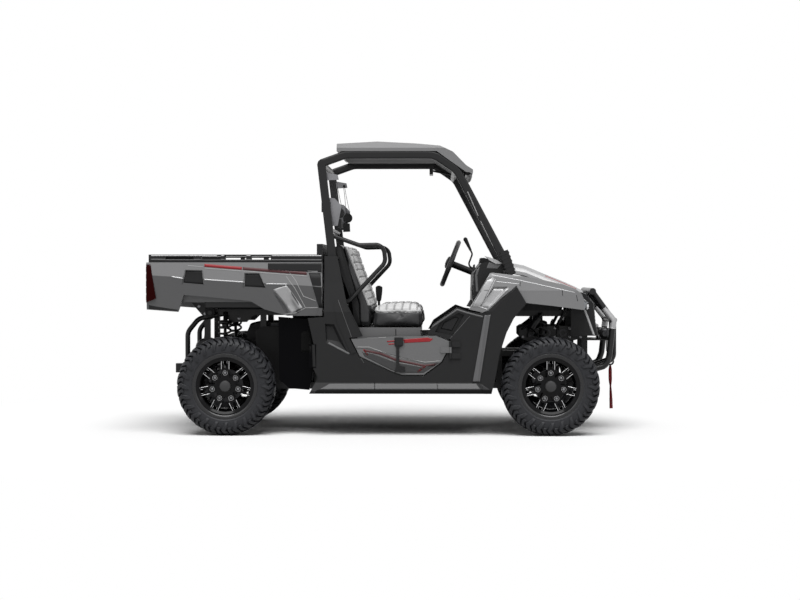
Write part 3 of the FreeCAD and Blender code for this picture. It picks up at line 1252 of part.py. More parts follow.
def seat_belts():
    """Webbing and reels on the rear hoop's inner faces, and a buckle on a stalk in the bench's split."""
    top, foot = side_points(ARCH_REAR_SHARES)
    inner_y = CAGE_Y - CAGE_THICKNESS / 2
    low = [start + (end - start) * BELT_RUN_SHARE for start, end in zip(top, foot)]
    webbing = straight_bar(top, low, inner_y - WEBBING_THICKNESS / 2, WEBBING_WIDTH, WEBBING_THICKNESS)
    reel_z = (low[1] - REEL_SIZE, low[1] + WEBBING_THICKNESS)
    reel = block(band(low[0], REEL_SIZE), (inner_y - REEL_DEPTH, inner_y), reel_z)
    belts = fuse([webbing, reel])
    x, head_z = along(BUCKLE_SHARE[0]), up(BUCKLE_SHARE[1])
    y = SEAT_SPLIT_Y
    stalk_z = (up(SEAT_BASE_TOP_SHARE), head_z)
    stalk = block(band(x, BUCKLE_WIDTH / 2), band(y, 2 * WEBBING_THICKNESS), stalk_z)
    head = block(band(x, BUCKLE_WIDTH), band(y, BUCKLE_DEPTH), (head_z, head_z + BUCKLE_HEIGHT))
    return [belts, mirrored(belts), fuse([stalk, head])]


def fender():
    """Left front fender: a hollow shell over the wheel, with a sloping crown and a pocket behind its arch."""
    w = FENDER_WALL
    points = side_points(FENDER_TOP_SHARES + FENDER_REST_SHARES)
    face = [(across(y), up(z)) for y, z in FENDER_FACE_SHARES + FENDER_CROWN_SHARES]
    top = (0, up(FENDER_SECTION_TOP_SHARE))
    section = [(0, face[0][1])] + face + [top]
    length = (points[-2][0] - OVERRUN, X_NOSE)
    shell = prism_y(points, FENDER_INNER_Y, HALF_WIDTH).common(prism_x(section, length[0], length[1]))
    inner_points = [(x, z - w) for x, z in points]
    inner_face = [(y - w, z - w) for y, z in face]
    low = face[0][1] - OVERRUN
    inner_section = [(0, low), (inner_face[0][0], low)] + inner_face + [(0, inner_face[-1][1])]
    room = [along(share) for share in FENDER_ROOM_SHARES]
    cavity = prism_y(inner_points, FENDER_INNER_Y - OVERRUN, HALF_WIDTH)
    cavity = cavity.common(prism_x(inner_section, room[0], room[1]))
    pocket_y = face[0][0] - FENDER_POCKET_DEPTH
    pocket = prism_y(side_points(FENDER_POCKET_SHARES), pocket_y, HALF_WIDTH)
    return shell.cut([cavity, pocket])


def hood_profile(drop, skin, over, reach):
    """Side outline of the hood's skin, lowered by drop. Extra height and reach make it a cutter."""
    points = side_points(HOOD_SHARES)
    top = [(x, z - drop + over) for x, z in points]
    under = [(x - HOOD_SKIN / 3, z - drop - skin) for x, z in points]
    top[-1] = (top[-1][0] + reach, top[-1][1])
    under[-1] = (under[-1][0] + reach, under[-1][1])
    return top + under[::-1]


def hood_body(skin, over, reach, grow):
    """The hood's raised middle and falling sides, narrowing to the nose."""
    centre = hood_profile(0, skin, over, reach)
    step = hood_profile(HOOD_STEP, skin, over, reach)
    side = hood_profile(HOOD_SIDE_DROP, skin, over, reach)
    knee = HOOD_RIDGE_Y + HOOD_STEP_WIDTH
    rear, front = HOOD_REAR_Y + grow, HOOD_FRONT_Y + grow
    pieces = [prism_y(centre, -HOOD_RIDGE_Y, HOOD_RIDGE_Y)]
    for sign in (-1, 1):
        pieces.append(loft_y(centre, sign * HOOD_RIDGE_Y, step, sign * knee))
        pieces.append(loft_y(step, sign * knee, side, sign * rear))
    x0, x1 = along(HOOD_SHARES[0][0]) - OVERRUN, along(HOOD_SHARES[-1][0]) + OVERRUN
    plan = [(x0, -rear), (x1, -front), (x1, front), (x0, rear)]
    return fuse(pieces).common(prism_z(plan, FRAME_BOTTOM, OVERALL_HEIGHT))


def hood_axis():
    return along(HOOD_SHARES[0][0]) + HOOD_HINGE_INSET, up(HOOD_SHARES[0][1]) - HOOD_HINGE_DROP


def hood():
    """Hood with two notches at its rear edge for the hinge lugs, and bores for their pins."""
    x, z = hood_axis()
    reach = HOOD_LUG_WIDTH + PIN_GAP
    notch_x = (x - OVERRUN, x + HOOD_HINGE_INSET + PIN_GAP)
    cutters = []
    for y in (-HOOD_HINGE_Y, HOOD_HINGE_Y):
        cutters.append(block(notch_x, band(y, HOOD_LUG_WIDTH + PIN_GAP * 4), band(z, 2 * OVERRUN)))
        cutters.append(rod(vec(x, y - reach, z), vec(x, y + reach, z), HOOD_PIN_RADIUS + RUNNING_CLEARANCE))
    return hood_body(HOOD_SKIN, 0, 0, 0).cut(cutters)


def fascia():
    """Bowed nose panel with the grille, open behind."""
    points = side_points(FASCIA_SHARES)
    wall = FASCIA_WALL
    inner = [(x - wall, z) for x, z in points]
    outer = bowed(points, FENDER_INNER_Y, NOSE_BOW)
    skin = outer.cut(bowed(inner, FENDER_INNER_Y - wall, NOSE_BOW))
    depth = (points[0][0] + wall, max(x for x, z in points) + OVERRUN)
    low, high = up(GRILLE_LOW_SHARE), up(GRILLE_HIGH_SHARE)
    pieces = [skin.cut(block(depth, (-GRILLE_HALF_WIDTH, GRILLE_HALF_WIDTH), (low, high)))]
    for k in range(GRILLE_BARS):
        z = low + (high - low) * (k + 1) / (GRILLE_BARS + 1)
        bar = block(depth, (-GRILLE_HALF_WIDTH, GRILLE_HALF_WIDTH), band(z, GRILLE_BAR))
        pieces.append(bar.common(skin))
    for y in (-GRILLE_HALF_WIDTH / 3, GRILLE_HALF_WIDTH / 3):
        pieces.append(block(depth, band(y, GRILLE_BAR), (low, high)).common(skin))
    return fuse(pieces)


def headlight():
    """Left lamp, swept back between the nose panel and the fender's front corner."""
    points = side_points(LAMP_SHARES)
    return loft_y(points, FENDER_INNER_Y, [(x - NOSE_BOW, z) for x, z in points], LAMP_OUTER_Y)


def hood_tub():
    """Open storage tub under the hood, standing on the front subframe."""
    w = TUB_WALL
    half = TUB_HALF_WIDTH
    z0 = up(NOSE_FRAME_TOP_SHARE)
    x_rear, x_front = [along(share) for share in TUB_SHARES]
    outer = block((x_rear, x_front), (-half, half), (z0, z0 + TUB_DEPTH))
    return outer.cut(block((x_rear + w, x_front - w), (w - half, half - w), (z0 + w, z0 + TUB_DEPTH + w)))


def front_guard():
    """Side loops joined by cross tubes, inner posts behind a bowed middle tube, a low tube on the frame."""
    points = side_points(GUARD_SHARES)
    (low_x, low_z), (side_x, bow_z), (top_x, top_z) = points[0], points[3], points[4]
    bow_x = X_NOSE - GUARD_BOW_RADIUS
    post_z = [low_z, up(INNER_POST_FOOT_SHARE), bow_z, top_z]
    posts = list(zip((low_x, bow_x, bow_x, top_x), post_z))
    pieces = [rod_y(top_x, top_z, GUARD_TOP_Y, GUARD_TOP_RADIUS)]
    pieces.append(rod_y(low_x, low_z, GUARD_Y + GUARD_RADIUS, GUARD_LOW_RADIUS))
    for side in (-1, 1):
        pieces.append(pipe([vec(x, side * GUARD_Y, z) for x, z in points], GUARD_RADIUS, GUARD_BEND))
        pieces.append(pipe([vec(x, side * INNER_POST_Y, z) for x, z in posts], INNER_POST_RADIUS, GUARD_BEND))
    bow = [
        vec(side_x, -GUARD_Y, bow_z), vec(bow_x, -GUARD_Y / 2, bow_z), vec(bow_x, GUARD_Y / 2, bow_z),
        vec(side_x, GUARD_Y, bow_z),
    ]
    pieces.append(pipe(bow, GUARD_BOW_RADIUS, GUARD_BEND))
    return fuse(pieces)


def winch():
    """Winch drum between two gear cases, on a tray with a front plate, behind the guard."""
    x, z = along(WINCH_SHARE[0]), up(WINCH_SHARE[1])
    half = WINCH_LENGTH / 2
    pieces = [rod_y(x, z, half, WINCH_RADIUS)]
    for y in (-half, half - WINCH_CASE_LENGTH):
        pieces.append(block(band(x, WINCH_CASE), (y, y + WINCH_CASE_LENGTH), band(z, WINCH_CASE)))
    tray_top = z - WINCH_CASE / 2
    tray_low = tray_top - WINCH_PLATE
    x_lip = x + WINCH_CASE / 2
    reach = FRONT_FRAME_Y + FRAME_TUBE / 2
    pieces.append(block((along(FRAME_FRONT_SHARE), x_lip), (-reach, reach), (tray_low, tray_top)))
    pieces.append(block((x_lip - WINCH_PLATE, x_lip), band(0, half), (up(WINCH_LIP_SHARE), tray_low)))
    return fuse(pieces)


def hook():
    """Hook eye on its shank, hanging from a tab on the tray's front plate."""
    x, z = along(HOOK_SHARE[0]), up(HOOK_SHARE[1])
    tab_z = up(HOOK_TAB_SHARE)
    eye = Part.makeTorus(HOOK_RADIUS, HOOK_WIRE, vec(x, 0, z), vec(0, 1, 0))
    shank = rod(vec(x, 0, z + HOOK_RADIUS), vec(x, 0, tab_z + HOOK_TAB / 2), HOOK_SHANK_RADIUS)
    x_plate = along(WINCH_SHARE[0]) + WINCH_CASE / 2 - WINCH_PLATE / 2
    tab = block((x_plate, x + HOOK_TAB), band(0, 2 * HOOK_TAB), band(tab_z, HOOK_TAB))
    return [eye, shank, tab]


def winch_strap():
    """Pull strap that hangs from the hook."""
    x, z = along(HOOK_SHARE[0]), up(HOOK_SHARE[1]) - HOOK_RADIUS - HOOK_WIRE
    return block(band(x, WEBBING_THICKNESS), band(0, STRAP_WIDTH), (z - STRAP_LENGTH, z))


def receiver():
    """Square tow tube with its pin holes."""
    x_end, z = along(RECEIVER_SHARE[0]), up(RECEIVER_SHARE[1])
    x_front = along(FRAME_BACK_SHARE)
    tube = block((x_end, x_front), band(0, RECEIVER_OUTER), band(z, RECEIVER_OUTER))
    bore = band(0, RECEIVER_BORE)
    hollow = block((x_end - OVERRUN, x_front - RECEIVER_FLOOR), bore, band(z, RECEIVER_BORE))
    pin = rod_y(x_end + RECEIVER_PIN_SETBACK, z, RECEIVER_OUTER, RECEIVER_PIN_RADIUS)
    return tube.cut([hollow, pin])


def hitch():
    """Receiver tube, and the rear guard tubes with their lower cross tube on it."""
    y = FRAME_Y + FRAME_TUBE / 2 + REAR_GUARD_RADIUS
    points = side_points(REAR_GUARD_SHARES)
    low_x = points[-1][0]
    low_z = up(RECEIVER_SHARE[1]) + RECEIVER_OUTER / 2 + REAR_GUARD_LOW_RADIUS
    points[-1] = (low_x, low_z)
    pieces = [receiver(), rod_y(low_x, low_z, y + REAR_GUARD_RADIUS, REAR_GUARD_LOW_RADIUS)]
    for side in (-1, 1):
        pieces.append(pipe([vec(px, side * y, pz) for px, pz in points], REAR_GUARD_RADIUS, REAR_GUARD_BEND))
    return fuse(pieces)


def rear_liner():
    """Left splash panel between the rear wheel and the cabin, with a flange onto the side panel."""
    plate = prism_y(side_points(LINER_SHARES), LINER_Y, LINER_Y + LINER_THICKNESS)
    (x_low, x_high), (z_low, z_high) = zip(*side_points(LINER_FLANGE_SHARES))
    return fuse([plate, block((x_low, x_high), (LINER_Y, across(SIDE_FACE_SHARE)), (z_low, z_high))])


def bed_skin():
    """The bed side's outer skin: it leans in above and below a crease that falls towards the cabin."""
    (x_rear, z_rear), (x_front, z_front) = side_points(BED_CREASE_SHARES)
    low, high = z_rear - up(BED_SKIRT_FALL_SHARE), z_rear + up(BED_TOP_RISE_SHARE)
    section = [
        (BED_SKIRT_Y, low), (BED_OUTER_Y - BED_SKIRT_LEAN, low), (BED_OUTER_Y, z_rear),
        (BED_OUTER_Y - BED_TOP_LEAN, high), (BED_SKIRT_Y, high),
    ]
    slope = vec(x_front - x_rear, 0, z_front - z_rear)
    slab = face_of([vec(x_rear, y, z) for y, z in section]).extrude(slope)
    return slab.common(prism_y(side_points(BED_SIDE_SHARES), BED_SKIRT_Y, BED_OUTER_Y))


def arch_facet():
    """Cutter for the sloping facet ahead of the wheel arch, deepest at its lower corner."""
    rim = side_points(BED_ARCH_SHARES)
    focus = rim[2]
    floor = [(x + (focus[0] - x) * ARCH_CLOSE_SHARE, z + (focus[1] - z) * ARCH_CLOSE_SHARE) for x, z in rim]
    return loft_y(rim, BED_OUTER_Y, floor, BED_OUTER_Y - BED_SKIRT_LEAN - BED_ARCH_DEPTH)


def bed_side():
    """Left side of the cargo bed: a double wall above the floor and a skirt over the wheel."""
    floor_z = up(BED_FLOOR_SHARE) - BED_FLOOR_THICKNESS
    inner_x = (X_TAIL, along(BED_FRONT_SHARE))
    inner = block(inner_x, (BED_INNER_Y, BED_SKIRT_Y), (floor_z, up(BED_SIDE_TOP_SHARE)))
    x_hinge, z_hinge = tailgate_axis()
    hole_start = vec(x_hinge, BED_INNER_Y - PANEL_GAP, z_hinge)
    hole_end = vec(x_hinge, BED_INNER_Y + TAILGATE_PIN_REACH + OVERRUN / 2, z_hinge)
    cutters = [rod(hole_start, hole_end, HINGE_RADIUS + RUNNING_CLEARANCE), tail_light(), arch_facet()]
    insert_y = BED_OUTER_Y - BED_INSERT_DEPTH
    for shares in BED_INSERT_SHARES:
        cutters.append(prism_y(side_points(shares), insert_y, HALF_WIDTH))
    quarter = prism_y(side_points(BED_QUARTER_SHARES), BED_SKIRT_Y, HALF_WIDTH)
    cutters.append(quarter.cut(bed_skin().translate(vec(0, -BED_QUARTER_STEP, 0))))
    return fuse([bed_skin(), inner]).cut(cutters)


def bed_rail():
    """Left top rail of the cargo bed, with three lashing slots through it and a pocket behind them."""
    x_range = (along(BED_RAIL_START_SHARE), along(BED_FRONT_SHARE))
    y_range = (BED_INNER_Y, BED_INNER_Y + BED_RAIL_WIDTH)
    body = block(x_range, y_range, (up(BED_SIDE_TOP_SHARE), up(BED_RAIL_TOP_SHARE)))
    z_range = [up(share) for share in BED_SLOT_HEIGHT_SHARES]
    depths = [BED_RAIL_WIDTH / 2] + [BED_RAIL_WIDTH + OVERRUN] * 3
    slots = []
    for (start, end), depth in zip(BED_SLOT_SHARES, depths):
        slots.append(block((along(start), along(end)), (y_range[1] - depth, y_range[1] + OVERRUN), z_range))
    return body.cut(slots)


def tail_light():
    return prism_y(side_points(TAIL_LIGHT_SHARES), BED_SKIRT_Y, BED_OUTER_Y + TAIL_LIGHT_PROUD)


def tailgate_axis():
    return X_TAIL + TAILGATE_THICKNESS / 2, up(TAILGATE_HINGE_SHARE)


def tailgate():
    """Tailgate with a recessed panel round its handle, a rounded lower edge and a pin at each end."""
    x_hinge, z_hinge = tailgate_axis()
    z_top = up(TAILGATE_TOP_SHARE)
    half = BED_INNER_Y - TAILGATE_CLEARANCE
    slab = block((X_TAIL, X_TAIL + TAILGATE_THICKNESS), (-half, half), (z_hinge, z_top))
    panel_y = half - TAILGATE_BORDER
    panel_z = (z_hinge + TAILGATE_BORDER / 2, z_top - TAILGATE_BORDER / 2)
    recess_x = (X_TAIL - OVERRUN, X_TAIL + TAILGATE_RECESS)
    panel = slab.cut(block(recess_x, (-panel_y, panel_y), panel_z))
    handle_z = (panel_z[1] - TAILGATE_HANDLE_HEIGHT, panel_z[1])
    handle = block((X_TAIL, X_TAIL + TAILGATE_RECESS), band(0, TAILGATE_HANDLE_WIDTH), handle_z)
    edge = rod_y(x_hinge, z_hinge, half, TAILGATE_THICKNESS / 2)
    pin = rod_y(x_hinge, z_hinge, BED_INNER_Y + TAILGATE_PIN_REACH, HINGE_RADIUS)
    return fuse([panel, handle, edge, pin])


def bed_tub():
    """Bed floor with its ribs, the front wall with its headboard, and the ears on the pivot tube."""
    z_top = up(BED_FLOOR_SHARE)
    z_low = z_top - BED_FLOOR_THICKNESS
    x_back, x_front = X_TAIL + TAILGATE_THICKNESS + TAILGATE_CLEARANCE, along(BED_FRONT_SHARE)
    x_wall = x_front - BED_FRONT_WALL
    width = (-BED_INNER_Y, BED_INNER_Y)
    wall_top = up(BED_WALL_TOP_SHARE)
    board_z = (up(BED_RAIL_TOP_SHARE), up(HEADBOARD_TOP_SHARE))
    pieces = [
        block((x_back, x_front), width, (z_low, z_top)), block((x_wall, x_front), width, (z_low, wall_top)),
        block((along(HEADBOARD_SHARE), x_front), (-BED_SKIRT_Y, BED_SKIRT_Y), board_z),
        block((along(HEADBOARD_SHARE), x_front), width, (wall_top, up(BED_RAIL_TOP_SHARE))),
    ]
    pitch = 2 * BED_INNER_Y / (BED_RIB_COUNT + 1)
    rib_z = (z_top - BED_RIB_HEIGHT / 2, z_top + BED_RIB_HEIGHT)
    for k in range(BED_RIB_COUNT):
        y = pitch * (k + 1) - BED_INNER_Y
        pieces.append(block((x_back + BED_RIB_WIDTH, x_wall), band(y, BED_RIB_WIDTH), rib_z))
    x_pivot, z_pivot = along(BED_PIVOT_SHARE[0]), up(BED_PIVOT_SHARE[1])
    r = PIVOT_EAR_RADIUS
    for side in (-1, 1):
        y_range = band(side * PIVOT_EAR_Y, PIVOT_EAR_THICKNESS)
        pieces.append(rod(vec(x_pivot, y_range[0], z_pivot), vec(x_pivot, y_range[1], z_pivot), r))
        pieces.append(block((x_pivot - r, x_pivot + r), y_range, (z_pivot, z_low)))
    hole = rod_y(x_pivot, z_pivot, PIVOT_TUBE_HALF_LENGTH + OVERRUN, PIVOT_TUBE_RADIUS + RUNNING_CLEARANCE)
    return fuse(pieces).cut(hole)


def save_sides(name, left):
    save(name + "_left", left)
    save(name + "_right", mirrored(left))


def save_running_gear(frame):
    """Powertrain, suspension, wheels and their carriers."""
    engine, front_diff = powertrain_nodes()
    front_arms, rear_arms, shocks, shafts = suspension_nodes(frame)
    power_pieces = [piece.cut(frame) for piece in (engine, front_diff, radiator())]
    save("powertrain", Part.makeCompound(power_pieces))
    save("front_arms", Part.makeCompound([both_sides(arm) for arm in front_arms]))
    save("rear_arms", Part.makeCompound([both_sides(arm) for arm in rear_arms]))
    save("shocks", Part.makeCompound([both_sides(piece) for piece in shocks]))
    discs = {}
    for end, x, y, width in (
        ("front", X_FRONT_AXLE, FRONT_WHEEL_Y, FRONT_TYRE_WIDTH),
        ("rear", X_REAR_AXLE, REAR_WHEEL_Y, REAR_TYRE_WIDTH),
    ):
        rim, discs[end] = wheel(x, y, width)
        save_sides("tyre_" + end, tyre(x, y, width))
        save_sides("rim_" + end, rim)
    save_sides("knuckle", knuckle(discs["front"]))
    uprights = rear_upright(discs["rear"]).cut(rear_arms)
    save("rear_uprights", both_sides(uprights))
    left_shafts = [shaft.cut([engine, front_diff, uprights]) for shaft in shafts]
    save("half_shafts", Part.makeCompound([both_sides(shaft) for shaft in left_shafts]))


def save_body(frame):
    """Side panels, doors, fenders, floor, dashboard, seats, cage and roof. Returns the left fender."""
    panel_half, door_half, hole = door_hinge()
    panel = fuse([side_panel()] + panel_half)
    left_door = door()
    left_fender = fender().cut([dash_room(), panel])
    save_sides("side_panel", panel)
    save_sides("door", left_door)
    save_sides("door_latch", door_latch(left_door))
    save_sides("fender", left_fender)
    panels = [panel, mirrored(panel)]
    shell = panels + [left_fender, mirrored(left_fender)]
    save("floor_tub", floor_tub().cut(shell + [frame]))
    save("dash", dash().cut(shell))
    save("seat_base", seat_base())
    save("seat_cushions", Part.makeCompound([cushion(SEAT_CUSHION_SHARES, span) for span in bench_spans()]))
    save("seat_backs", Part.makeCompound([cushion(SEAT_BACK_SHARES, span) for span in bench_spans()]))
    rear_hoop = rops_rear().cut([frame] + panels)
    front_arch = rops_front().cut([rear_hoop] + shell)
    save("rops_rear", rear_hoop)
    save("rops_front", front_arch)
    save("roof", roof().cut([front_arch, rear_hoop]))
    save("hip_bars", both_sides(hip_bars().cut([frame, rear_hoop])))
    save("seat_belts", Part.makeCompound([belt.cut(rear_hoop) for belt in seat_belts()]))
    save("rear_liners", both_sides(rear_liner().cut(panel)))
    save("steering_wheel", steering_wheel())
    return left_fender


def save_nose(frame, left_fender):
    """Hood, nose panel, lamps, tub, guard, winch and strap."""
    nose = fascia().cut(hood_body(HOOD_SKIN + PANEL_GAP, OVERRUN * 2, PANEL_GAP, PANEL_GAP))
    guard = front_guard().cut(frame)
    save("hood", hood())
    save("fascia", nose)
    save("headlights", both_sides(headlight().cut([left_fender, nose])))
    save("hood_tub", hood_tub())
    save("front_guard", guard)
    save("winch", fuse([winch()] + hook()).cut([guard, frame]))
    save("winch_strap", winch_strap())


def save_bed(frame):
    """Hitch with the rear guard, and the tilting bed with its tailgate."""
    save("hitch", hitch().cut(frame))
    save("bed_tub", bed_tub())
    save_sides("bed_side", bed_side())
    save("bed_rails", both_sides(bed_rail()))
    save("tail_lights", both_sides(tail_light()))
    save("tailgate", tailgate())


def main():
    os.makedirs("parts", exist_ok=True)
    frame = frame_node()
    save("frame", frame)
    save_running_gear(frame)
    left_fender = save_body(frame)
    save_nose(frame, left_fender)
    save_bed(frame)


if __name__ == "__main__":
    main()
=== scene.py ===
import bmesh
import bpy
import json
import math
import numpy as np
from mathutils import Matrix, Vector


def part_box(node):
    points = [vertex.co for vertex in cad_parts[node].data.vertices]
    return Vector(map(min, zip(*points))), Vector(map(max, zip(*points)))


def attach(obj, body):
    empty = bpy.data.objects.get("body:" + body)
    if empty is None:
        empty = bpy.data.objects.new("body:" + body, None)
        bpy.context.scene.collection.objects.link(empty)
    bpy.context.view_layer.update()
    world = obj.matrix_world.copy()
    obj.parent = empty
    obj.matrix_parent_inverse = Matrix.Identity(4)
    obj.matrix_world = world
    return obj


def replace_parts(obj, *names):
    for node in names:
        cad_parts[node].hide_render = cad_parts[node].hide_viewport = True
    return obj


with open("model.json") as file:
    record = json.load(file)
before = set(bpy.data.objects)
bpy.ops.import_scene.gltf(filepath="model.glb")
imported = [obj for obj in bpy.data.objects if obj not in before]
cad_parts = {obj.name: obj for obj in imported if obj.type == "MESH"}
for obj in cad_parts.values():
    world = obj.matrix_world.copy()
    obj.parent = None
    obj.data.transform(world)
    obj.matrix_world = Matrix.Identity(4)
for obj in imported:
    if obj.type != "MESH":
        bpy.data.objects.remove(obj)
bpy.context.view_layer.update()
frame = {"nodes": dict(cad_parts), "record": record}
nodes = frame["nodes"]

# The camera, in metres, and the photograph's frame in pixels
CAMERA_AT = (0.363, -14.07, 1.064)
CAMERA_AIM = (0.097, -0.69, 0.898)
VIEW_DEGREES = 22.48
FRAME_WIDTH, FRAME_HEIGHT = 800, 600

# Places that many pieces share, in metres, read off the frame
AXLE_Z = 0.3275
TYRE_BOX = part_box("tyre_rear_right")
TYRE_R = (TYRE_BOX[1].z - TYRE_BOX[0].z) / 2
X_REAR = (TYRE_BOX[0].x + TYRE_BOX[1].x) / 2
FRONT_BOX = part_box("tyre_front_right")
X_FRONT = (FRONT_BOX[0].x + FRONT_BOX[1].x) / 2
# A film's height off the panel and its thickness, and the move by which a pressed point has found the panel
FILM_LIFT, FILM_THICK, UNMOVED = 0.0008, 0.0006, 0.001


# Shapes as points and faces
def grid_faces(rows, cols, wrap_rows=False, wrap_cols=False):
    """Four-sided faces of a grid of points that are numbered row by row."""
    r = np.arange(rows if wrap_rows else rows - 1)
    c = np.arange(cols if wrap_cols else cols - 1)
    r, c = [a.ravel() for a in np.meshgrid(r, c, indexing="ij")]
    r2, c2 = (r + 1) % rows, (c + 1) % cols
    return np.stack([r * cols + c, r * cols + c2, r2 * cols + c2, r2 * cols + c], axis=1)


def unit(v):
    """v, or each row of v, at length one."""
    v = np.asarray(v, float)
    return v / np.linalg.norm(v, axis=-1, keepdims=True)


def frames_along(path, up):
    """Two directions square to a path at each point: side is tangent times up, and rise is side times
    tangent."""
    path = np.asarray(path, float)
    tangent = unit(np.gradient(path, axis=0))
    side = unit(np.cross(tangent, np.broadcast_to(up, path.shape)))
    return side, unit(np.cross(side, tangent))


def swept(path, section, up=(0, 0, 1), closed=False):
    """A closed section carried along a path: point = path + section x times side + section y times rise.
    Open ends are drawn together to their middle."""
    path, section = np.asarray(path, float), np.asarray(section, float)
    if closed:
        wrapped = np.concatenate([path[-1:], path, path[:1]])
        side, rise = frames_along(wrapped, up)
        side, rise = side[1:-1], rise[1:-1]
    else:
        side, rise = frames_along(path, up)
    if section.ndim == 2:
        section = np.broadcast_to(section, (len(path),) + section.shape)
    rings = path[:, None] + section[..., 0:1] * side[:, None] + section[..., 1:2] * rise[:, None]
    if not closed:
        first = np.broadcast_to(rings[0].mean(0), rings[:1].shape)
        last = np.broadcast_to(rings[-1].mean(0), rings[:1].shape)
        rings = np.concatenate([first, rings, last])
    return rings.reshape(-1, 3), grid_faces(len(rings), rings.shape[1], closed, True)


def circle(radius, sides=12, squash=1.0):
    """A ring of points: (radius cos a, squash times radius sin a)."""
    a = np.linspace(0, 2 * math.pi, sides, endpoint=False)
    return np.stack([radius * np.cos(a), squash * radius * np.sin(a)], axis=1)


def tube(path, radius, sides=12, up=(0, 0, 1), closed=False):
    """A round bar along a path. The radius is one number or one for each point."""
    radius = np.broadcast_to(np.asarray(radius, float), (len(path),))
    return swept(path, radius[:, None, None] * circle(1.0, sides)[None], up, closed)


def turned(profile, centre, axis=(0, 1, 0), sides=48):
    """A profile of (radius, height) pairs turned about an axis through centre."""
    profile = np.asarray(profile, float)
    axis = unit(axis)
    helper = (0, 0, 1) if abs(axis[2]) < 0.9 else (1, 0, 0)
    first = unit(np.cross(axis, helper))
    second = np.cross(axis, first)
    a = np.linspace(0, 2 * math.pi, sides, endpoint=False)
    spoke = np.cos(a)[:, None] * first + np.sin(a)[:, None] * second
    points = np.asarray(centre, float) + profile[None, :, :1] * spoke[:, None] + profile[None, :, 1:] * axis
    return points.reshape(-1, 3), grid_faces(sides, len(profile), True, False)


def plate(outline, low, high, bevel=0.0, axis=1):
    """A plate with this outline, from low to high along an axis (0 is x, 1 is y, 2 is z), its rims bevelled.
    Rings of the outline, drawn in by the bevel at both faces, end in their middle."""
    outline = np.asarray(outline, float)
    middle = outline.mean(0)
    reach = np.linalg.norm(outline - middle, axis=1).mean()
    small = middle + (outline - middle) * (1 - bevel / reach)
    step = math.copysign(bevel, high - low)
    rings = [(middle + 0 * outline, low), (small, low), (outline, low + step), (outline, high - step),
             (small, high), (middle + 0 * outline, high)]
    kept = [i for i in (0, 1, 2) if i != axis]
    points = np.zeros((len(rings), len(outline), 3))
    points[..., kept] = np.array([ring for ring, _ in rings])
    points[..., axis] = np.array([level for _, level in rings])[:, None]
    return points.reshape(-1, 3), grid_faces(len(rings), len(outline), False, True)


def bar(a, b, width, depth, bevel=0.002, up=(0, 1, 0)):
    """A square bar with bevelled corners from point a to point b."""
    w, d, c = width / 2, depth / 2, bevel
    section = [(w, d - c), (w - c, d), (c - w, d), (-w, d - c), (-w, c - d), (c - w, -d), (w - c, -d),
               (w, c - d)]
    return swept(np.linspace(a, b, 4), section, up)


def smooth_line(corners, count=48, closed=False):
    """Points on a soft curve through the corners: between each two of them a cubic, whose slope at a corner
    follows the corners before and after it."""
    p = np.asarray(corners, float)
    if closed:
        ring = np.concatenate([p[-1:], p, p[:2]])
        spans = len(p)
    else:
        ring = np.concatenate([2 * p[:1] - p[1:2], p, 2 * p[-1:] - p[-2:-1]])
        spans = len(p) - 1
    t = np.linspace(0, spans, count, endpoint=not closed)
    k = np.minimum(t.astype(int), spans - 1)
    u = (t - k)[:, None]
    a, b, c, d = ring[k], ring[k + 1], ring[k + 2], ring[k + 3]
    return 0.5 * (2 * b + (c - a) * u + (2 * a - 5 * b + 4 * c - d) * u ** 2
                  + (3 * b - a - 3 * c + d) * u ** 3)


def even_line(corners, step=0.006):
    """Points every step or so along straight runs between the corners."""
    p = np.asarray(corners, float)
    lengths = np.linalg.norm(np.diff(p, axis=0), axis=1)
    along = np.concatenate([[0], np.cumsum(lengths)])
    t = np.unique(np.concatenate([np.linspace(0, along[-1], max(2, int(along[-1] / step))), along]))
    return np.stack([np.interp(t, along, p[:, i]) for i in range(p.shape[1])], axis=1)


def closed_ring(corners, step=0.02):
    """Points round a closed outline of straight runs, every step or so."""
    corners = np.asarray(corners, float)
    return even_line(np.concatenate([corners, corners[:1]]), step)[:-1]


def hoop(centre, radius, count):
    """A circle about centre, square to the line across the vehicle."""
    a = np.linspace(0, 2 * math.pi, count, endpoint=False)
    return np.stack([centre[0] + radius * np.cos(a), centre[1] + 0 * a, centre[2] + radius * np.sin(a)],
                    axis=1)


def mirrored(shape):
    """The same shape on the vehicle's other side."""
    points, faces = shape
    return points * (1, -1, 1), faces[:, ::-1]


def both(shapes):
    """The shapes and their mirror images."""
    return list(shapes) + [mirrored(s) for s in shapes]


def moved(shape, offset):
    points, faces = shape
    return points + np.asarray(offset, float), faces


def around(shape, count, centre, axis=(0, 1, 0)):
    """Copies of a shape turned round an axis through centre."""
    points, faces = shape
    axis, centre = unit(axis), np.asarray(centre, float)
    arm = points - centre
    turns = np.arange(count) * 2 * math.pi / count
    cos, sin = np.cos(turns)[:, None, None], np.sin(turns)[:, None, None]
    swung = arm * cos + np.cross(axis, arm) * sin + axis * (arm @ axis)[:, None] * (1 - cos)
    return [(centre + p, faces) for p in swung]


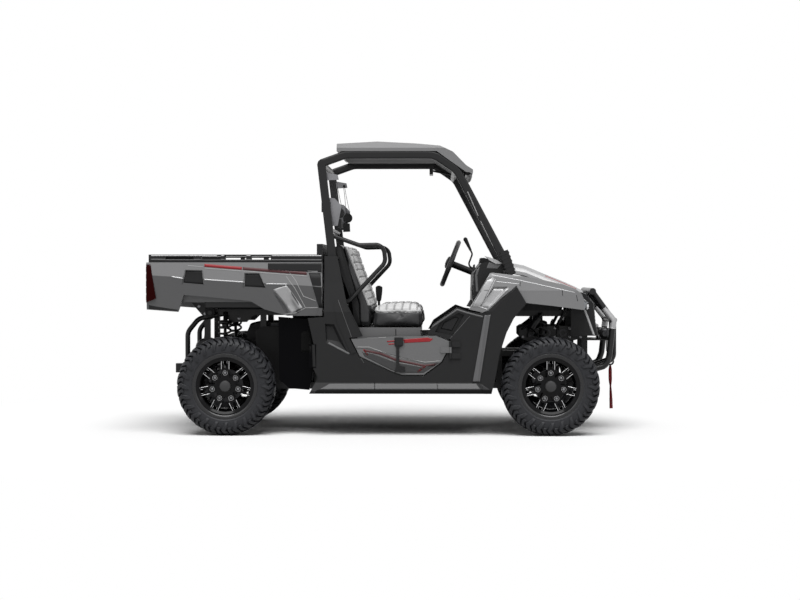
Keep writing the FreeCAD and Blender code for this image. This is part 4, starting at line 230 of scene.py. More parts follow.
# The way from shapes to pieces of the scene
def piece(name, shapes, material, body="chassis", smooth=40.0):
    """One mesh made of all the shapes, closed at its seams, with faces outwards, riding on a body. Edges
    sharper than smooth degrees stay sharp."""
    shapes = shapes if isinstance(shapes, list) else [shapes]
    offsets = np.cumsum([0] + [len(p) for p, _ in shapes])
    points = np.concatenate([p for p, _ in shapes])
    faces = [row for (_, f), o in zip(shapes, offsets) for row in (f + o).tolist()]
    data = bpy.data.meshes.new(name)
    data.from_pydata(points.tolist(), [], faces)
    edit = bmesh.new()
    edit.from_mesh(data)
    bmesh.ops.remove_doubles(edit, verts=edit.verts, dist=0.00002)
    bmesh.ops.dissolve_degenerate(edit, edges=edit.edges, dist=0.00001)
    bmesh.ops.recalc_face_normals(edit, faces=edit.faces)
    edit.to_mesh(data)
    edit.free()
    data.validate()
    data.shade_smooth()
    data.set_sharp_from_angle(angle=math.radians(smooth))
    made = bpy.data.objects.new(name, data)
    bpy.context.scene.collection.objects.link(made)
    made.data.materials.append(MAT[material])
    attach(made, body)
    return made


def settled(made):
    """Puts the result of a piece's modifiers into its mesh and takes the modifiers off."""
    bpy.context.view_layer.update()
    ready = bpy.data.meshes.new_from_object(made.evaluated_get(bpy.context.evaluated_depsgraph_get()))
    made.modifiers.clear()
    made.data = ready
    return made


def seen(x, y, depth):
    """The place (x, z) on the plane y = depth that shows at a pixel of the photograph: the camera's ray
    through the pixel, met with the plane."""
    at, aim = np.array(CAMERA_AT), np.array(CAMERA_AIM)
    ahead = unit(aim - at)
    right = unit(np.cross(ahead, (0, 0, 1)))
    above = np.cross(right, ahead)
    reach = math.tan(math.radians(VIEW_DEGREES) / 2)
    across = (np.asarray(x, float) - FRAME_WIDTH / 2) / (FRAME_WIDTH / 2) * reach
    down = (np.asarray(y, float) - FRAME_HEIGHT / 2) / (FRAME_WIDTH / 2) * reach
    ray = ahead + across[..., None] * right - down[..., None] * above
    hit = at + ray * ((depth - at[1]) / ray[..., 1])[..., None]
    return np.stack([hit[..., 0], hit[..., 2]], axis=-1)


def seen_line(pixels, depth):
    """Pixels of the photograph as places (x, z) on the plane y = depth."""
    pixels = np.asarray(pixels, float)
    return seen(pixels[:, 0], pixels[:, 1], depth)


def ribbon(line, width, depth, cells=2, step=0.006):
    """A flat band along a line of (x, z) places on the plane y = depth: each point moved across the line
    by shares of the width from minus a half to a half."""
    line = even_line(line, step)
    tangent = unit(np.gradient(line, axis=0))
    across = np.stack([-tangent[:, 1], tangent[:, 0]], axis=1)
    share = np.linspace(-0.5, 0.5, cells + 1)
    flat = line[:, None] + share[None, :, None] * width * across[:, None]
    return np.insert(flat, 1, depth, axis=-1).reshape(-1, 3), grid_faces(len(line), cells + 1)


def patch(low_edge, high_edge, depth, cells=6, step=0.008):
    """A flat sheet between two edges of (x, z) places on the plane y = depth, points shared out evenly on
    both."""
    low, high = even_line(low_edge, step), even_line(high_edge, step)
    count = max(len(low), len(high))
    spread = [np.stack([np.interp(np.linspace(0, 1, count), np.linspace(0, 1, len(e)), e[:, i])
                        for i in (0, 1)], axis=1) for e in (low, high)]
    share = np.linspace(0, 1, cells + 1)[None, :, None]
    flat = spread[0][:, None] * (1 - share) + spread[1][:, None] * share
    return np.insert(flat, 1, depth, axis=-1).reshape(-1, 3), grid_faces(count, cells + 1)


def laid_on(name, shapes, node, material, body, far=None):
    """Flat shapes pressed sideways onto a CAD node of the near side, given a little thickness, and copied to
    the far side. far names the far side's body where it isn't the same one. What lies beyond the node's
    outline is cut off."""
    sheet = piece(name, shapes, material, body)
    start = sheet.data.vertices[0].co.y
    press = sheet.modifiers.new("press", "SHRINKWRAP")
    press.wrap_method = "PROJECT"
    press.use_project_y = True
    press.use_negative_direction = True
    press.use_positive_direction = True
    press.wrap_mode = "ABOVE_SURFACE"
    press.target = nodes[node]
    press.offset = FILM_LIFT
    settled(sheet)
    edit = bmesh.new()
    edit.from_mesh(sheet.data)
    bmesh.ops.delete(edit, geom=[v for v in edit.verts if abs(v.co.y - start) < UNMOVED], context="VERTS")
    edit.to_mesh(sheet.data)
    edit.free()
    wall = sheet.modifiers.new("wall", "SOLIDIFY")
    wall.thickness = FILM_THICK
    wall.offset = 0.0
    settled(sheet)
    other = sheet.data.copy()
    place = np.zeros(len(other.vertices) * 3)
    other.vertices.foreach_get("co", place)
    place.reshape(-1, 3)[:, 1] *= -1
    other.vertices.foreach_set("co", place)
    other.flip_normals()
    twin = bpy.data.objects.new(name + "_far", other)
    bpy.context.scene.collection.objects.link(twin)
    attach(twin, far or body)


# Finishes
def new_material(name, colour, rough, metal=0.0, **more):
    """A principled material. Returns it with its node tree and shader."""
    m = bpy.data.materials.new(name)
    m.use_nodes = True
    shader = m.node_tree.nodes["Principled BSDF"]
    shader.inputs["Base Color"].default_value = (*colour, 1)
    shader.inputs["Roughness"].default_value = rough
    shader.inputs["Metallic"].default_value = metal
    for key, value in more.items():
        shader.inputs[key.replace("_", " ")].default_value = value
    return m, m.node_tree, shader


def object_place(tree):
    return tree.nodes.new("ShaderNodeTexCoord").outputs["Object"]


def noise(tree, scale, detail=2.0, stretch=None):
    """Noise on the object's own coordinates, drawn out along an axis by stretch."""
    n = tree.nodes.new("ShaderNodeTexNoise")
    n.inputs["Scale"].default_value = scale
    n.inputs["Detail"].default_value = detail
    coords = object_place(tree)
    if stretch:
        mapping = tree.nodes.new("ShaderNodeMapping")
        mapping.inputs["Scale"].default_value = stretch
        tree.links.new(coords, mapping.inputs["Vector"])
        coords = mapping.outputs["Vector"]
    tree.links.new(coords, n.inputs["Vector"])
    return n.outputs["Fac"]


def math_node(tree, operation, a, b=None):
    """The output of a Math node on one or two values, each a number or an output."""
    n = tree.nodes.new("ShaderNodeMath")
    n.operation = operation
    for socket, value in zip(n.inputs, (a, b)):
        if value is None:
            continue
        if isinstance(value, (int, float)):
            socket.default_value = value
        else:
            tree.links.new(value, socket)
    return n.outputs["Value"]


def clamped(tree, value):
    return math_node(tree, "MINIMUM", math_node(tree, "MAXIMUM", value, 0.0), 1.0)


def axes(tree):
    """The place on the object, split into its X, Y and Z outputs."""
    split = tree.nodes.new("ShaderNodeSeparateXYZ")
    tree.links.new(object_place(tree), split.inputs["Vector"])
    return split.outputs


def toned(colour, factor):
    return tuple(min(1.0, c * factor) for c in colour)


def mixed(tree, factor, a, b):
    """Colour a where the factor is 0 and b where it is 1. Each is a colour or an output."""
    mix = tree.nodes.new("ShaderNodeMix")
    mix.data_type = "RGBA"
    for key, value in (("A", a), ("B", b)):
        if isinstance(value, tuple):
            mix.inputs[key].default_value = (*value, 1)
        else:
            tree.links.new(value, mix.inputs[key])
    tree.links.new(factor, mix.inputs["Factor"])
    return mix.outputs["Result"]


def add_bump(tree, shader, height, strength, distance, under=None):
    b = tree.nodes.new("ShaderNodeBump")
    b.inputs["Strength"].default_value = strength
    b.inputs["Distance"].default_value = distance
    tree.links.new(height, b.inputs["Height"])
    if under:
        tree.links.new(under, b.inputs["Normal"])
    tree.links.new(b.outputs["Normal"], shader.inputs["Normal"])
    return b.outputs["Normal"]


def vary(tree, source, socket, low, high):
    """A value from low to high that follows the source."""
    r = tree.nodes.new("ShaderNodeMapRange")
    r.inputs["To Min"].default_value = low
    r.inputs["To Max"].default_value = high
    tree.links.new(source, r.inputs["Value"])
    tree.links.new(r.outputs["Result"], socket)


def grained(name, colour, rough, scale, depth, metal=0.0, **more):
    """A moulded or coated surface: a fine grain in relief, and gloss and tone that drift a little across
    it."""
    m, tree, shader = new_material(name, colour, rough, metal, **more)
    add_bump(tree, shader, noise(tree, scale, 3.0), 0.25, depth)
    drift = noise(tree, 5.0, 4.0)
    vary(tree, drift, shader.inputs["Roughness"], max(0.03, rough - 0.07), rough + 0.07)
    tree.links.new(mixed(tree, drift, toned(colour, 0.88), toned(colour, 1.12)), shader.inputs["Base Color"])
    return m


def metallic_paint(name, colour, rough):
    """Clear-coated metallic paint: fine flakes turn the tone a little under an even coat."""
    m, tree, shader = new_material(name, colour, rough, 0.3, Coat_Weight=0.2, Coat_Roughness=0.16)
    flakes = noise(tree, 1500.0, 1.0)
    tree.links.new(mixed(tree, flakes, toned(colour, 0.84), toned(colour, 1.2)), shader.inputs["Base Color"])
    vary(tree, noise(tree, 3.0, 2.0), shader.inputs["Roughness"], rough - 0.03, rough + 0.05)
    add_bump(tree, shader, noise(tree, 260.0, 1.0), 0.05, 0.0002)
    return m


def painted_shade_below_crease(name, upper, lower, rough, foot, rise):
    """The same paint with painted shade below a sloping crease: under it a darker tone stands in for the
    shade of the downward-leaning facet. The crease's height = foot + rise times x.
    """
    m = metallic_paint(name, upper, rough)
    tree = m.node_tree
    shader = tree.nodes["Principled BSDF"]
    first = shader.inputs["Base Color"].links[0].from_socket
    place = axes(tree)
    crease = math_node(tree, "ADD", math_node(tree, "MULTIPLY", place["X"], rise), foot)
    # Painted shade mask: 1 below the crease, 0 above it
    below = clamped(tree, math_node(tree, "MULTIPLY", math_node(tree, "SUBTRACT", crease, place["Z"]), 400.0))
    tree.links.new(mixed(tree, below, first, lower), shader.inputs["Base Color"])
    return m


def woven(name, colour, rough, pitch):
    """Webbing: cross threads and lengthwise ribs from two sine waves on object coordinates, one of the height
    and one of the sum of the other two, 1.7 times as fine."""
    m, tree, shader = new_material(name, colour, rough)
    place = axes(tree)
    rate = 2 * math.pi / pitch
    down = math_node(tree, "SINE", math_node(tree, "MULTIPLY", place["Z"], rate))
    level = math_node(tree, "ADD", place["X"], place["Y"])
    cross = math_node(tree, "SINE", math_node(tree, "MULTIPLY", level, rate * 1.7))
    weave = math_node(tree, "MULTIPLY", down, cross)
    weave = math_node(tree, "ADD", math_node(tree, "MULTIPLY", weave, 0.5), 0.5)
    tree.links.new(mixed(tree, weave, toned(colour, 0.55), colour), shader.inputs["Base Color"])
    add_bump(tree, shader, weave, 0.5, 0.0005)
    return m


def rubber(name, colour):
    """Tyre rubber: a dusty bloom, lighter in patches, over a fine pitted grain."""
    m, tree, shader = new_material(name, colour, 0.5, Specular_IOR_Level=0.25)
    bloom = noise(tree, 14.0, 6.0)
    tree.links.new(mixed(tree, bloom, colour, toned(colour, 1.45)), shader.inputs["Base Color"])
    vary(tree, bloom, shader.inputs["Roughness"], 0.4, 0.6)
    add_bump(tree, shader, noise(tree, 420.0, 3.0), 0.3, 0.0005)
    return m


def machined(name, colour, rough):
    """Bright turned metal with fine lines across its grain."""
    m, tree, shader = new_material(name, colour, rough, 1.0)
    lines = noise(tree, 40.0, 4.0, stretch=(1.0, 30.0, 1.0))
    vary(tree, lines, shader.inputs["Roughness"], rough - 0.05, rough + 0.12)
    tree.links.new(mixed(tree, lines, toned(colour, 0.8), colour), shader.inputs["Base Color"])
    return m


def seat_vinyl(name, side, top):
    """Seat cover in two colours of grained vinyl: the piece's own "panel" attribute says where the pale
    ribbed panel lies, and "rib" how far a point stands from the nearest sewn line."""
    m, tree, shader = new_material(name, side, 0.55)
    panel, rib = [tree.nodes.new("ShaderNodeAttribute") for _ in range(2)]
    panel.attribute_name, rib.attribute_name = "panel", "rib"
    grain = noise(tree, 900.0, 3.0)
    blotch = noise(tree, 9.0, 4.0)
    pale = mixed(tree, blotch, toned(top, 0.8), top)
    sewn = mixed(tree, rib.outputs["Fac"], toned(top, 0.42), pale)
    black = mixed(tree, blotch, toned(side, 0.8), toned(side, 1.25))
    tree.links.new(mixed(tree, panel.outputs["Fac"], black, sewn), shader.inputs["Base Color"])
    vary(tree, blotch, shader.inputs["Roughness"], 0.48, 0.62)
    first = add_bump(tree, shader, grain, 0.3, 0.0006)
    add_bump(tree, shader, rib.outputs["Fac"], 0.5, 0.0025, under=first)
    return m


def lens(name, colour, rough, **more):
    """A clear or tinted moulding with fine flutes."""
    m, tree, shader = new_material(name, colour, rough, **more)
    flutes = noise(tree, 60.0, 1.0, stretch=(1.0, 1.0, 6.0))
    add_bump(tree, shader, flutes, 0.2, 0.0008)
    vary(tree, flutes, shader.inputs["Roughness"], rough, rough + 0.08)
    return m


MAT = {
    "black_steel": grained("black_steel_coat", (0.009, 0.009, 0.0095), 0.36, 900.0, 0.0002,
                           Specular_IOR_Level=0.3),
    "cast_metal": grained("cast_metal_dull", (0.05, 0.05, 0.053), 0.45, 300.0, 0.0006, 0.8),
    "spring_steel": grained("spring_coat", (0.012, 0.012, 0.013), 0.3, 500.0, 0.0002, Specular_IOR_Level=0.3),
    "dark_plastic": grained("dark_moulding", (0.0155, 0.0155, 0.016), 0.5, 900.0, 0.0003,
                            Specular_IOR_Level=0.17),
    "black_plastic": grained("black_moulding", (0.007, 0.007, 0.0075), 0.5, 800.0, 0.0004,
                             Specular_IOR_Level=0.25),
    # Deep black for seams and splits, and painted shade in the liner's recess, the brake discs' holes and the
    # rocker's underside
    "deep_black_and_shade": grained("deep_black_and_shade", (0.003, 0.003, 0.003), 0.7, 800.0, 0.0003, Specular_IOR_Level=0.1),
    # Painted shade: the rear liners' black made darker and almost without reflection, for the shade inside
    # the rear wheel arches
    "black_liner_painted_shade": grained("black_liner_painted_shade_coat", (0.0015, 0.0015, 0.002), 0.3, 60.0, 0.0001,
                           Specular_IOR_Level=0.04),
    "silver_paint": metallic_paint("silver_metallic", (0.19, 0.19, 0.193), 0.36),
    # Bed sides: silver above the crease, and below it a darker tone that is painted shade
    "bed_paint_with_painted_shade": painted_shade_below_crease("bed_metallic_painted_shade", (0.19, 0.19, 0.193), (0.082, 0.082, 0.084), 0.36, 0.9593, -0.067),
    # The hood: the same silver painted lighter, a painted highlight on its upward faces
    "hood_paint_painted_highlight": metallic_paint("hood_metallic_painted_highlight", (0.38, 0.38, 0.384), 0.34),
    "door_paint": metallic_paint("door_metallic", (0.125, 0.125, 0.127), 0.4),
    "low_paint": metallic_paint("low_metallic", (0.026, 0.026, 0.027), 0.42),
    # Pale silver: painted highlights on lit facets, edges, rail tops and the guard's bends, and pale silver
    # on the grille chin, dash fins and fascia strip
    "pale_silver_and_highlight": metallic_paint("pale_silver_metallic_and_highlight", (0.42, 0.42, 0.425), 0.34),
    # Painted highlight: near-white silver along creases and edges that catch the light
    "painted_highlight_silver": metallic_paint("painted_highlight_metallic", (0.55, 0.55, 0.56), 0.3),
    "dull_paint": metallic_paint("dull_metallic", (0.10, 0.10, 0.103), 0.42),
    "machined": machined("machined_edge", (0.75, 0.75, 0.76), 0.2),
    "bolt": grained("bolt_zinc", (0.22, 0.22, 0.23), 0.35, 300.0, 0.0002, 0.9),
    "seat_cover": seat_vinyl("seat_vinyl", (0.012, 0.012, 0.0130), (0.74, 0.74, 0.74)),
    "grip": grained("grip_leather", (0.045, 0.045, 0.046), 0.45, 600.0, 0.0006, Sheen_Weight=0.3),
    "webbing": woven("belt_webbing", (0.03, 0.03, 0.032), 0.7, 0.004),
    "strap": woven("strap_webbing", (0.27, 0.012, 0.018), 0.7, 0.003),
    "clear_lens": lens("lamp_lens", (0.55, 0.57, 0.6), 0.08, Transmission_Weight=0.55),
    "reflector": machined("lamp_reflector", (0.85, 0.85, 0.87), 0.12),
    "led": grained("lamp_diffuser", (0.85, 0.86, 0.88), 0.25, 200.0, 0.0002),
    "red_lens": lens("red_lens_moulding", (0.020, 0.0010, 0.001), 0.3, Specular_IOR_Level=0.03),
    "red_mark": grained("red_film", (0.30, 0.020, 0.025), 0.4, 500.0, 0.0001, Specular_IOR_Level=0.3),
    "maroon_mark": grained("maroon_film", (0.075, 0.022, 0.024), 0.42, 500.0, 0.0001, Specular_IOR_Level=0.3),
    # Pale film: stitching, gauge ticks, stripes and pinstripes, and painted highlights along the door's and
    # the front pillars' edges
    "pale_mark_and_highlight": grained("pale_film_and_highlight", (0.42, 0.42, 0.42), 0.4, 500.0, 0.0001, Specular_IOR_Level=0.3),
    "grey_mark": grained("grey_film", (0.13, 0.13, 0.13), 0.4, 500.0, 0.0001, Specular_IOR_Level=0.3),
    # Grey: the winch rope and the dash's pale edge, and painted highlights along lit edges, lips and creases
    # of the cowl, scoop, panels and bed rails
    "grey_and_highlight": grained("grey_and_highlight", (0.12, 0.12, 0.122), 0.42, 700.0, 0.0002, Specular_IOR_Level=0.3),
    # Painted reflection: a glossy, lighter band for the rocker's upward-leaning face, which catches the sky
    "rocker_painted_reflection": metallic_paint("rocker_metallic_painted_reflection", (0.020, 0.020, 0.021), 0.45),
    "tyre": rubber("tyre_rubber", (0.0175, 0.018, 0.0205)),
    "wheel_paint": grained("wheel_gloss", (0.002, 0.002, 0.0025), 0.16, 60.0, 0.0001,
                           Specular_IOR_Level=0.14),
    "hub_cap": grained("cap_moulding", (0.040, 0.040, 0.041), 0.4, 500.0, 0.0002, Specular_IOR_Level=0.3),
    "screen": grained("gauge_glass", (0.01, 0.012, 0.014), 0.08, 60.0, 0.0001),
    "flange": grained("flange_satin", (0.012, 0.012, 0.013), 0.22, 200.0, 0.0001, 0.2),
}
NODE_FINISH = {"bed_side_right": "bed_paint_with_painted_shade", "bed_side_left": "bed_paint_with_painted_shade", "hood": "hood_paint_painted_highlight",
               "rear_liners": "black_liner_painted_shade", "door_right": "door_paint", "door_left": "door_paint",
               "seat_base": "door_paint"}
for row in frame["record"]["subparts"]:
    node = nodes[row["node"]]
    node.data.materials.clear()
    node.data.materials.append(MAT[NODE_FINISH.get(row["node"], row["material_slot"])])


# Wheels and tyres
WHEELS = ("front_right", "front_left", "rear_right", "rear_left")
RIM_LIP, LUG_HEIGHT = 0.193, 0.0185
WIDEST_R, CROWN_R, BEAD_R = 0.247, TYRE_R - LUG_HEIGHT, RIM_LIP + 0.0005
SIDE_ROOM = 0.0095
LUG_COUNT = 24
SPOKE_PAIRS, SPOKE_OUTER, SPOKE_INNER, NUT_CIRCLE, NUT_RING = 7, 0.0255, 0.0125, 0.088, 0.0155
# Outlines of the lugs, in degrees round the axle and round the section from the crown
LONG_LUG = [(0.4, 25), (6.6, 28), (3.2, 46), (0.6, 62), (3.4, 84), (5.2, 100), (0.8, 99), (-2.6, 80),
            (-4.6, 60), (-2.2, 44)]
SHORT_LUG = [(7.6, 31), (13.2, 33), (9.6, 48), (7.4, 62), (8.6, 76), (4.9, 75), (3.9, 61), (5.6, 46)]
MIDDLE_LUG = [(-3.4, -21), (1.2, -19), (5.6, 1), (9.8, 15), (5.2, 19), (0.4, 4)]


def tyre_surface(half, turn, phi, height):
    """A point of the tyre's surface about the wheel's middle. The section runs with phi from bead to bead: a
    rounded square above its widest place, and below it a curve drawn in to the bead. height lifts the point
    off the section, and turn is the angle round the axle."""
    wide = half - SIDE_ROOM
    cos, sin = np.cos(phi), np.sin(phi)
    above, below = np.clip(cos, 0, 1) ** 0.62, np.clip(-cos, 0, 1)
    radius = WIDEST_R + (CROWN_R - WIDEST_R) * above - (WIDEST_R - BEAD_R) * below + height * cos
    full = np.abs(sin) ** 0.62
    shrunk = 1 - 0.17 * below ** 2.2
    side = np.sign(sin) * wide * np.where(cos < 0, shrunk, full) + height * sin
    return np.stack([radius * np.cos(turn), side + 0 * turn, radius * np.sin(turn)], axis=-1)


def carcass(half):
    """The tyre without its lugs: the surface over a grid of turn and phi, with two low ribs on each side wall
    and a row of fine bars between them. The section closes behind the rim."""
    phi = np.radians(np.linspace(-180, 180, 121))
    turn = np.linspace(0, 2 * math.pi, 288, endpoint=False)
    turn, phi = np.meshgrid(turn, phi, indexing="ij")
    away = np.degrees(np.abs(phi))
    ribs = sum(0.0016 * np.exp(-((away - place) / 2.6) ** 2) for place in (112.0, 134.0, 160.0))
    bars = 0.0008 * np.clip(3 * np.sin(48 * turn), 0, 1) * np.clip(1.4 - ((away - 121) / 5) ** 2, 0, 1)
    points = tyre_surface(half, turn, phi, ribs + bars)
    return points.reshape(-1, 3), grid_faces(*turn.shape, True, True)


def lug(half, outline, start, hand):
    """One lug: its outline laid on the tyre's surface at three heights, drawn in a little at the top and
    closed in its middle. A lug stands full height on the tread and thins down the side wall."""
    ring = closed_ring(outline, 5.0)
    middle = ring.mean(0)
    levels = [(-0.1, 1.0), (0.8, 1.0), (1.0, 0.9), (1.0, 0.45), (1.0, 0.0)]
    flat = np.array([middle + (ring - middle) * share for _, share in levels])
    away = np.abs(flat[..., 1])
    tall = LUG_HEIGHT - 0.0100 * np.clip((away - 40) / 45, 0, 1) - 0.0040 * np.clip((away - 88) / 12, 0, 1)
    height = tall * np.array([share for share, _ in levels])[:, None]
    points = tyre_surface(half, np.radians(flat[..., 0] + start), np.radians(flat[..., 1]) * hand, height)
    return points.reshape(-1, 3), grid_faces(len(levels), len(ring), False, True)


def tyre(name):
    """A tyre with long and short shoulder lugs in turn and slanted lugs in the middle."""
    low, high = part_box("tyre_" + name)
    half = (high.y - low.y) / 2
    pitch = 360 / LUG_COUNT
    shapes = [carcass(half)]
    for k in range(LUG_COUNT):
        for hand in (-1, 1):
            start = (k + (hand + 1) / 4) * pitch
            shapes.append(lug(half, LONG_LUG, start, hand))
            shapes.append(lug(half, SHORT_LUG, start, hand))
            shapes.append(lug(half, MIDDLE_LUG, start + 2, hand))
    centre = ((low.x + high.x) / 2, (low.y + high.y) / 2, TYRE_R)
    tread = piece("tread_" + name, [moved(s, centre) for s in shapes], "tyre", wheel_body(name), 32)
    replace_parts(tread, "tyre_" + name)
    return centre, half


def wheel_body(name):
    front_or_rear, side = name.split("_")
    return f"{front_or_rear}_wheel_{side}"


def wheel_trim(name, centre, half):
    """What shows on a rim's face: a coned flange against the tyre, bright edges on the spokes, nuts, cap and
    valve."""
    rim_low, rim_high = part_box("rim_" + name)
    hand = 1 if name.endswith("left") else -1
    lip = rim_high.y if hand > 0 else rim_low.y
    face = lip - hand * 0.026
    axle, body = (centre[0], 0, centre[2]), wheel_body(name)
    cone = [(0.189, -0.004), (0.194, 0.0005), (0.2145, 0.0075), (0.2165, 0.0065), (0.215, 0.001),
            (0.190, -0.012)]
    cone.append(cone[0])
    flange = [(r, lip + hand * h) for r, h in cone]
    piece("rim_flange_" + name, turned(flange, axle, sides=96), "flange", body, 50)
    edges = []
    for offset, start, end, width in ((SPOKE_OUTER, 0.112, 0.1815, 0.0032), (SPOKE_INNER, 0.150, 0.1665,
                                                                             0.0018)):
        for side in (-offset, offset):
            a, b = [(axle[0] + side, face, axle[2] + reach) for reach in (start, end)]
            edges += around(bar(a, b, width, 0.0020, 0.0006), SPOKE_PAIRS, axle)
    piece("spoke_edges_" + name, edges, "machined", body, 50)
    hexagon = [(0, 0.013), (0.006, 0.0128), (0.009, 0.011), (0.0102, 0.009), (0.0102, -0.004), (0, -0.004)]
    seat = face - hand * 0.010
    nut = turned([(r, seat + hand * h) for r, h in hexagon], (axle[0], 0, axle[2] + NUT_CIRCLE), sides=6)
    piece("wheel_nuts_" + name, around(nut, SPOKE_PAIRS, axle), "bolt", body, 30)
    ring = hoop((axle[0], face + hand * 0.0006, axle[2] + NUT_CIRCLE), NUT_RING, 40)
    piece("nut_rings_" + name, around(tube(ring, 0.0011, 6, (0, 1, 0), True), SPOKE_PAIRS, axle), "machined",
          body, 60)
    top = lip - hand * 0.010
    dish = [(0, 0.0015), (0.020, 0.0015), (0.024, 0.0), (0.031, 0.0), (0.034, -0.0016), (0.0378, -0.004),
            (0.0378, -0.012), (0, -0.012)]
    piece("cap_" + name, turned([(r, top + hand * (h + 0.002)) for r, h in dish], axle, sides=64), "hub_cap",
          body, 30)
    stem = np.array([(0.150, -0.012), (0.146, 0.006), (0.143, 0.013)])
    path = np.stack([axle[0] + stem[:, 0] * 0.62, face + hand * stem[:, 1], axle[2] + stem[:, 0] * 0.785],
                    axis=1)
    piece("valve_" + name, tube(path, [0.0035, 0.0035, 0.0026], 10, (1, 0, 0)), "black_plastic", body, 40)


for wheel_name in WHEELS:
    wheel_centre, half_width = tyre(wheel_name)
    wheel_trim(wheel_name, wheel_centre, half_width)


# Springs and dampers
def coil(foot, head, radius, wire, turns):
    """A spring: a wire that winds round the line from foot to head, closer together at both ends."""
    foot, head = np.array(foot), np.array(head)
    axis = unit(head - foot)
    first = unit(np.cross(axis, (1, 0, 0)))
    second = np.cross(axis, first)
    t = np.linspace(0, 1, int(turns * 22))
    eased = t - 0.055 * np.sin(2 * math.pi * t)
    angle = 2 * math.pi * turns * t
    round_it = np.cos(angle)[:, None] * first + np.sin(angle)[:, None] * second
    return tube(foot + (head - foot) * eased[:, None] + radius * round_it, wire, 10, axis)


def damper(foot, seat_low, seat_high, head):
    """A damper turned about its own line: body with collar, rod, bump stop and both spring seats."""
    foot, head = np.array(foot), np.array(head)
    axis = unit(head - foot)
    low, high, run = [np.linalg.norm(np.array(p) - foot) for p in (seat_low, seat_high, head)]
    cup = [(0.018, -0.004), (0.046, -0.002), (0.048, 0.003), (0.047, 0.007), (0.036, 0.010), (0.018, 0.011)]
    body = [(0, 0.0), (0.017, 0.0), (0.019, 0.01), (0.019, low - 0.02), (0.026, low - 0.018),
            (0.026, low - 0.006)]
    body += [(r, low + h) for r, h in cup] + [(0.022, low + 0.05), (0.019, low + 0.054),
                                              (0.019, low + run * 0.33)]
    rod = [(0.0105, low + run * 0.33), (0.0105, high - 0.045), (0.02, high - 0.04), (0.024, high - 0.022)]
    top = [(r, high - h) for r, h in cup[::-1]][::-1] + [(0.016, high + 0.012), (0.016, run), (0, run)]
    return turned(body + rod + top, foot, axis, 28)


SPRING_RADIUS, SPRING_WIRE, SPRING_TURNS, SHOCK_SETBACK = 0.040, 0.0074, 7.5, 0.044
# Each axle's shock as (y, z) of its foot, both spring seats and its head
SHOCKS = ((X_FRONT, ((0.452, 0.265), (0.390, 0.415), (0.257, 0.737), (0.230, 0.801))),
          (X_REAR, ((0.464, 0.265), (0.424, 0.418), (0.337, 0.745), (0.320, 0.810))))
shock_bodies, shock_coils = [], []
for axle_x, places in SHOCKS:
    foot, seat_low, seat_high, head = [(axle_x - SHOCK_SETBACK, y, z) for y, z in places]
    shock_bodies += both([damper(foot, seat_low, seat_high, head)])
    shock_coils += both([coil(seat_low, seat_high, SPRING_RADIUS, SPRING_WIRE, SPRING_TURNS)])
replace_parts(piece("dampers", shock_bodies, "black_steel"), "shocks")
piece("springs", shock_coils, "spring_steel")


# Seats
def positions(data, kind="co"):
    """Each vertex's place, or its direction where kind is "normal"."""
    values = np.zeros(len(data.vertices) * 3)
    data.vertices.foreach_get(kind, values)
    return values.reshape(-1, 3)


def stuff(made, held, most):
    """Blows a closed cover up as cloth for twenty frames, with its held points fixed, and moves no point
    further than most from where it was."""
    start = positions(made.data)
    group = made.vertex_groups.new(name="held")
    group.add(np.nonzero(held(start))[0].tolist(), 1.0, "REPLACE")
    cloth = made.modifiers.new("stuffing", "CLOTH")
    cloth.settings.use_pressure = True
    cloth.settings.uniform_pressure_force = 4.0
    cloth.settings.effector_weights.gravity = 0
    cloth.settings.vertex_group_mass = "held"
    cloth.settings.quality = 4
    cloth.point_cache.frame_start, cloth.point_cache.frame_end = 1, STUFFING_FRAMES
    for number in range(1, STUFFING_FRAMES + 1):
        bpy.context.scene.frame_set(number)
    swollen = bpy.data.meshes.new_from_object(made.evaluated_get(bpy.context.evaluated_depsgraph_get()))
    move = positions(swollen) - start
    far = np.linalg.norm(move, axis=1, keepdims=True)
    made.modifiers.clear()
    made.vertex_groups.clear()
    bpy.context.scene.frame_set(1)
    made.data.vertices.foreach_set("co", (start + move * np.minimum(1, most / np.maximum(far, 1e-9))).ravel())


def cushion(name, outline, span, held, seams, panel):
    """A seat part: its side outline carried across the seat and drawn in at both ends, made into an even net,
    stuffed, and then drawn in along its seams by a bell of each point's distance to the nearest sewn line,
    which seams gives. panel is 1 on the pale cover."""
    ring = smooth_line(outline, 60, True)
    made = piece(name, plate(ring, span[0] + SEAT_SLACK, span[1] - SEAT_SLACK, SEAT_ROUND), "seat_cover")
    net = made.modifiers.new("net", "REMESH")
    net.mode, net.voxel_size = "VOXEL", SEAT_NET
    settled(made)
    stuff(made, held, SEAT_SWELL)
    finer = made.modifiers.new("finer", "SUBSURF")
    finer.levels = finer.render_levels = 1
    settled(made)
    place, out = positions(made.data), positions(made.data, "normal")
    drawn = np.exp(-(seams(place, span) / SEAM_SIZE) ** 2)
    made.data.vertices.foreach_set("co", (place - out * (SEAM_SIZE * drawn)[:, None]).ravel())
    for key, values in (("panel", panel(place, span)), ("rib", 1 - drawn)):
        layer = made.data.attributes.new(key, "FLOAT", "POINT")
        layer.data.foreach_set("value", values.astype(np.float32))
    made.data.materials.clear()
    made.data.materials.append(MAT["seat_cover"])
    made.data.shade_smooth()
    return made


